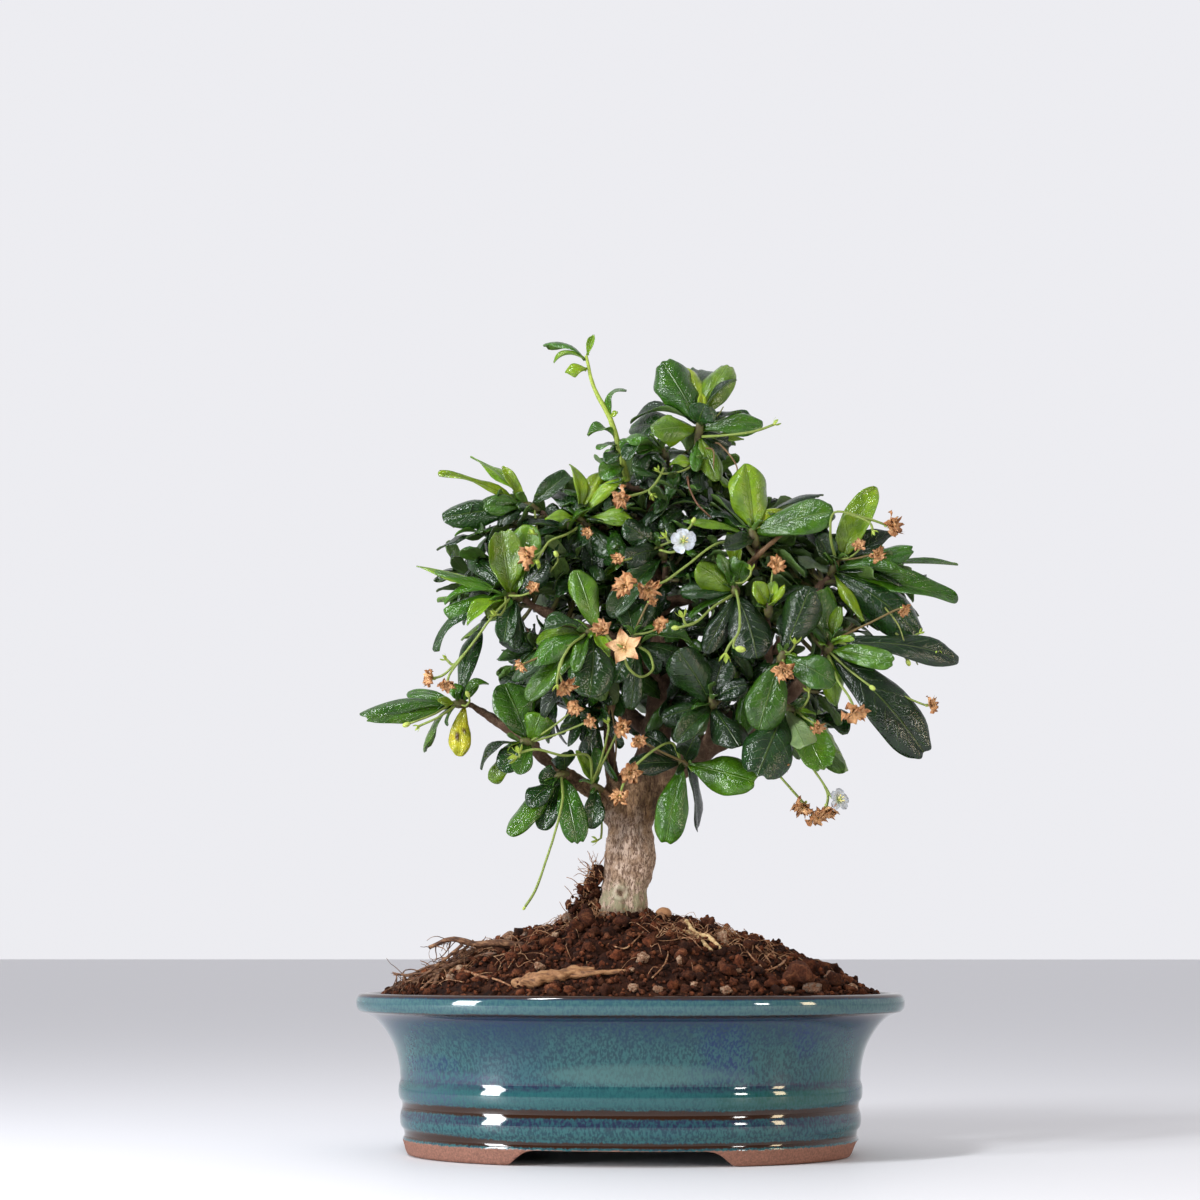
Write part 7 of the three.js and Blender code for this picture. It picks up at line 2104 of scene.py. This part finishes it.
# Small heads on thin stalks of their own: kind, across, up, depth, size and the way it looks
strayHeads = [
    ("calyx", 62, 186, -36, 4.4, (0.2, -0.5, 1)), ("calyx", 115, 184, -26, 3.6, (0.1, -0.2, -1)),
    ("calyx", 67, 168, -38, 3.4, (-0.4, -0.4, 1)), ("calyx", -12, 112.5, -13, 3, (-1, -0.3, 0)),
    ("calyx", 11, 252, -24, 2.6, (-0.6, -0.4, 0.7)), ("calyx", -50, 197, -33, 3.4, (-1, -0.4, 0.3)),
    ("calyx", -36, 228, -25, 3, (-0.7, -0.5, 0.6)), ("calyx", 109, 190, -27, 2.4, (0.8, -0.3, 0.5)),
    ("calyx", -8, 156, -37, 3, (-0.3, -0.5, 0.9)), ("calyx", 46, 214, -33, 2.8, (-0.2, -0.4, 1)),
    ("dried", 58, 176, -40, 4, (-0.2, -0.9, -0.3)), ("dried", 112, 163, -33, 3, (0.7, -0.6, 0.2)),
    ("dried", 93, 220, -27, 3, (0.4, -0.8, -0.2)), ("dried", 87, 223, -26, 2.6, (-0.3, -0.8, 0.4)),
    ("dried", 57, 141, -36, 2.6, (-0.5, -0.6, -0.6)), ("dried", 103, 199, -28, 2.4, (0.5, -0.6, -0.5)),
    ("dried", -20, 162, -36, 3, (-0.4, -0.8, -0.4)), ("dried", -3, 155, -36, 3.6, (0.1, -0.9, -0.3)),
    ("dried", -40, 178, -44, 2.4, (-0.6, -0.6, -0.5)), ("dried", -36, 207, -33, 2.4, (-0.3, -0.8, 0.2)),
    ("dried", -4, 218, -33, 2.4, (-0.2, -0.9, 0.2)), ("dried", -16, 228, -24, 2, (0.2, -0.9, 0.2)),
    ("dried", 12, 193, -36, 2.8, (-0.3, -0.9, 0)), ("dried", 55, 216, -31, 3.2, (0.3, -0.9, 0.1)),
    ("dried", 3, 150, -38, 3, (0.2, -0.9, -0.4)), ("dried", 70, 155, -41, 2.6, (0.3, -0.7, -0.6)),
    ("dried", -14, 157, -36, 2.6, (-0.5, -0.7, -0.5)), ("dried", 8, 202, -35, 2, (0.6, -0.8, 0.1)),
    ("bud", 104, 180, -30, 1.5, (0.3, -0.2, -0.9)), ("bud", -60, 166, -22, 1.4, (-0.4, -0.4, 0.8)),
    ("bud", 24, 232, -25, 1.4, (0.3, -0.6, 0.7)), ("bud", 90, 170, -38, 1.5, (0.5, -0.5, -0.5)),
    ("bud", -82, 156, -25, 1.6, (-1, -0.2, -0.4)), ("bud", -27, 219, -26, 1.5, (-0.4, -0.5, 0.7)),
]
# Bare dried stalks and thin twigs: radius, how brown, then across, up and depth
strayStalks = [
    (0.35, 0.9, [(33, 263, -14), (35, 262, -18), (41, 253, -20), (39, 247, -19)]),
    (0.3, 0.9, [(29, 261, -13), (32, 260, -18), (32, 253, -19)]),
    (0.45, 1, [(20, 253, -6), (22, 250, -14), (23, 245, -18), (26, 239, -19), (28, 237, -19),
               (31, 234, -18)]),
    (0.5, 0.9, [(-5, 133, -3), (-8.5, 144, -9), (-8, 158, -12), (-5.5, 175, -13)]),
    (0.35, 0.8, [(-6, 138, -5), (-5, 148, -12), (-6.5, 160, -15), (-9, 174, -16)]),
    (0.35, 0.3, [(26, 270, -12), (34, 274, -14), (36, 277, -15)]),
    (1.1, 0.9, [(44, 211, -13), (45, 216, -18), (50, 221, -21), (58, 228, -19)]),
    (0.4, 0.2, [(100, 190, -22), (105, 184, -26), (108, 178, -27)]),
    (0.35, 0.2, [(95, 201, -20), (101, 193, -29), (103, 187, -30)]),
]
strayStalkTones = [(0.2, 0.26, 0.05), (0.16, 0.07, 0.035)]


def makeStrays(petals):
    # Each head's stalk starts inside the nearest stem
    carriers = treeOf([spray["path"].pointAt(part / 10) for spray in sprays for part in range(3, 11)])
    bm = newPart("tone")
    for number, (kind, across, up, depth, size, looks) in enumerate(strayHeads):
        at = sight(across, up, depth)
        root = carriers.find(at)[0]
        aim = Vector(looks).normalized()
        bend = (root + at) / 2 - aim * 1.5 - Vector((0, 0.5, 0.8))
        path = Path([root, bend, at - aim, at])
        brown = 0.75 if kind == "dried" and number % 3 == 0 else 0
        part = newPart("tone")
        stalk = addTube(part, path, [0.5, 0.36, 0.42], 6, max(5, int(path.lengths[-1] / 2)), uneven=0.2)
        paint(part, "tone", stalk, mixed(*strayStalkTones, brown))
        addHeadOrBud(part, kind, at, aim, size, 200 + number)
        appendPart(bm, part)
    for radius, brown, points in strayStalks:
        part = newPart("tone")
        stalk = addTube(part, seenPath(points), [radius, radius * 0.9, radius * 0.6], 7, 18, uneven=0.4)
        paint(part, "tone", stalk, mixed(*strayStalkTones, brown))
        appendPart(bm, part)
    addPiece("stray_heads", bm, [petals], treePlace)


petalSkin = flowerFinish()
makeCymes(petalSkin)
makeStrays(petalSkin)
print("flowers")


bpy.data.meshes.remove(scratch)
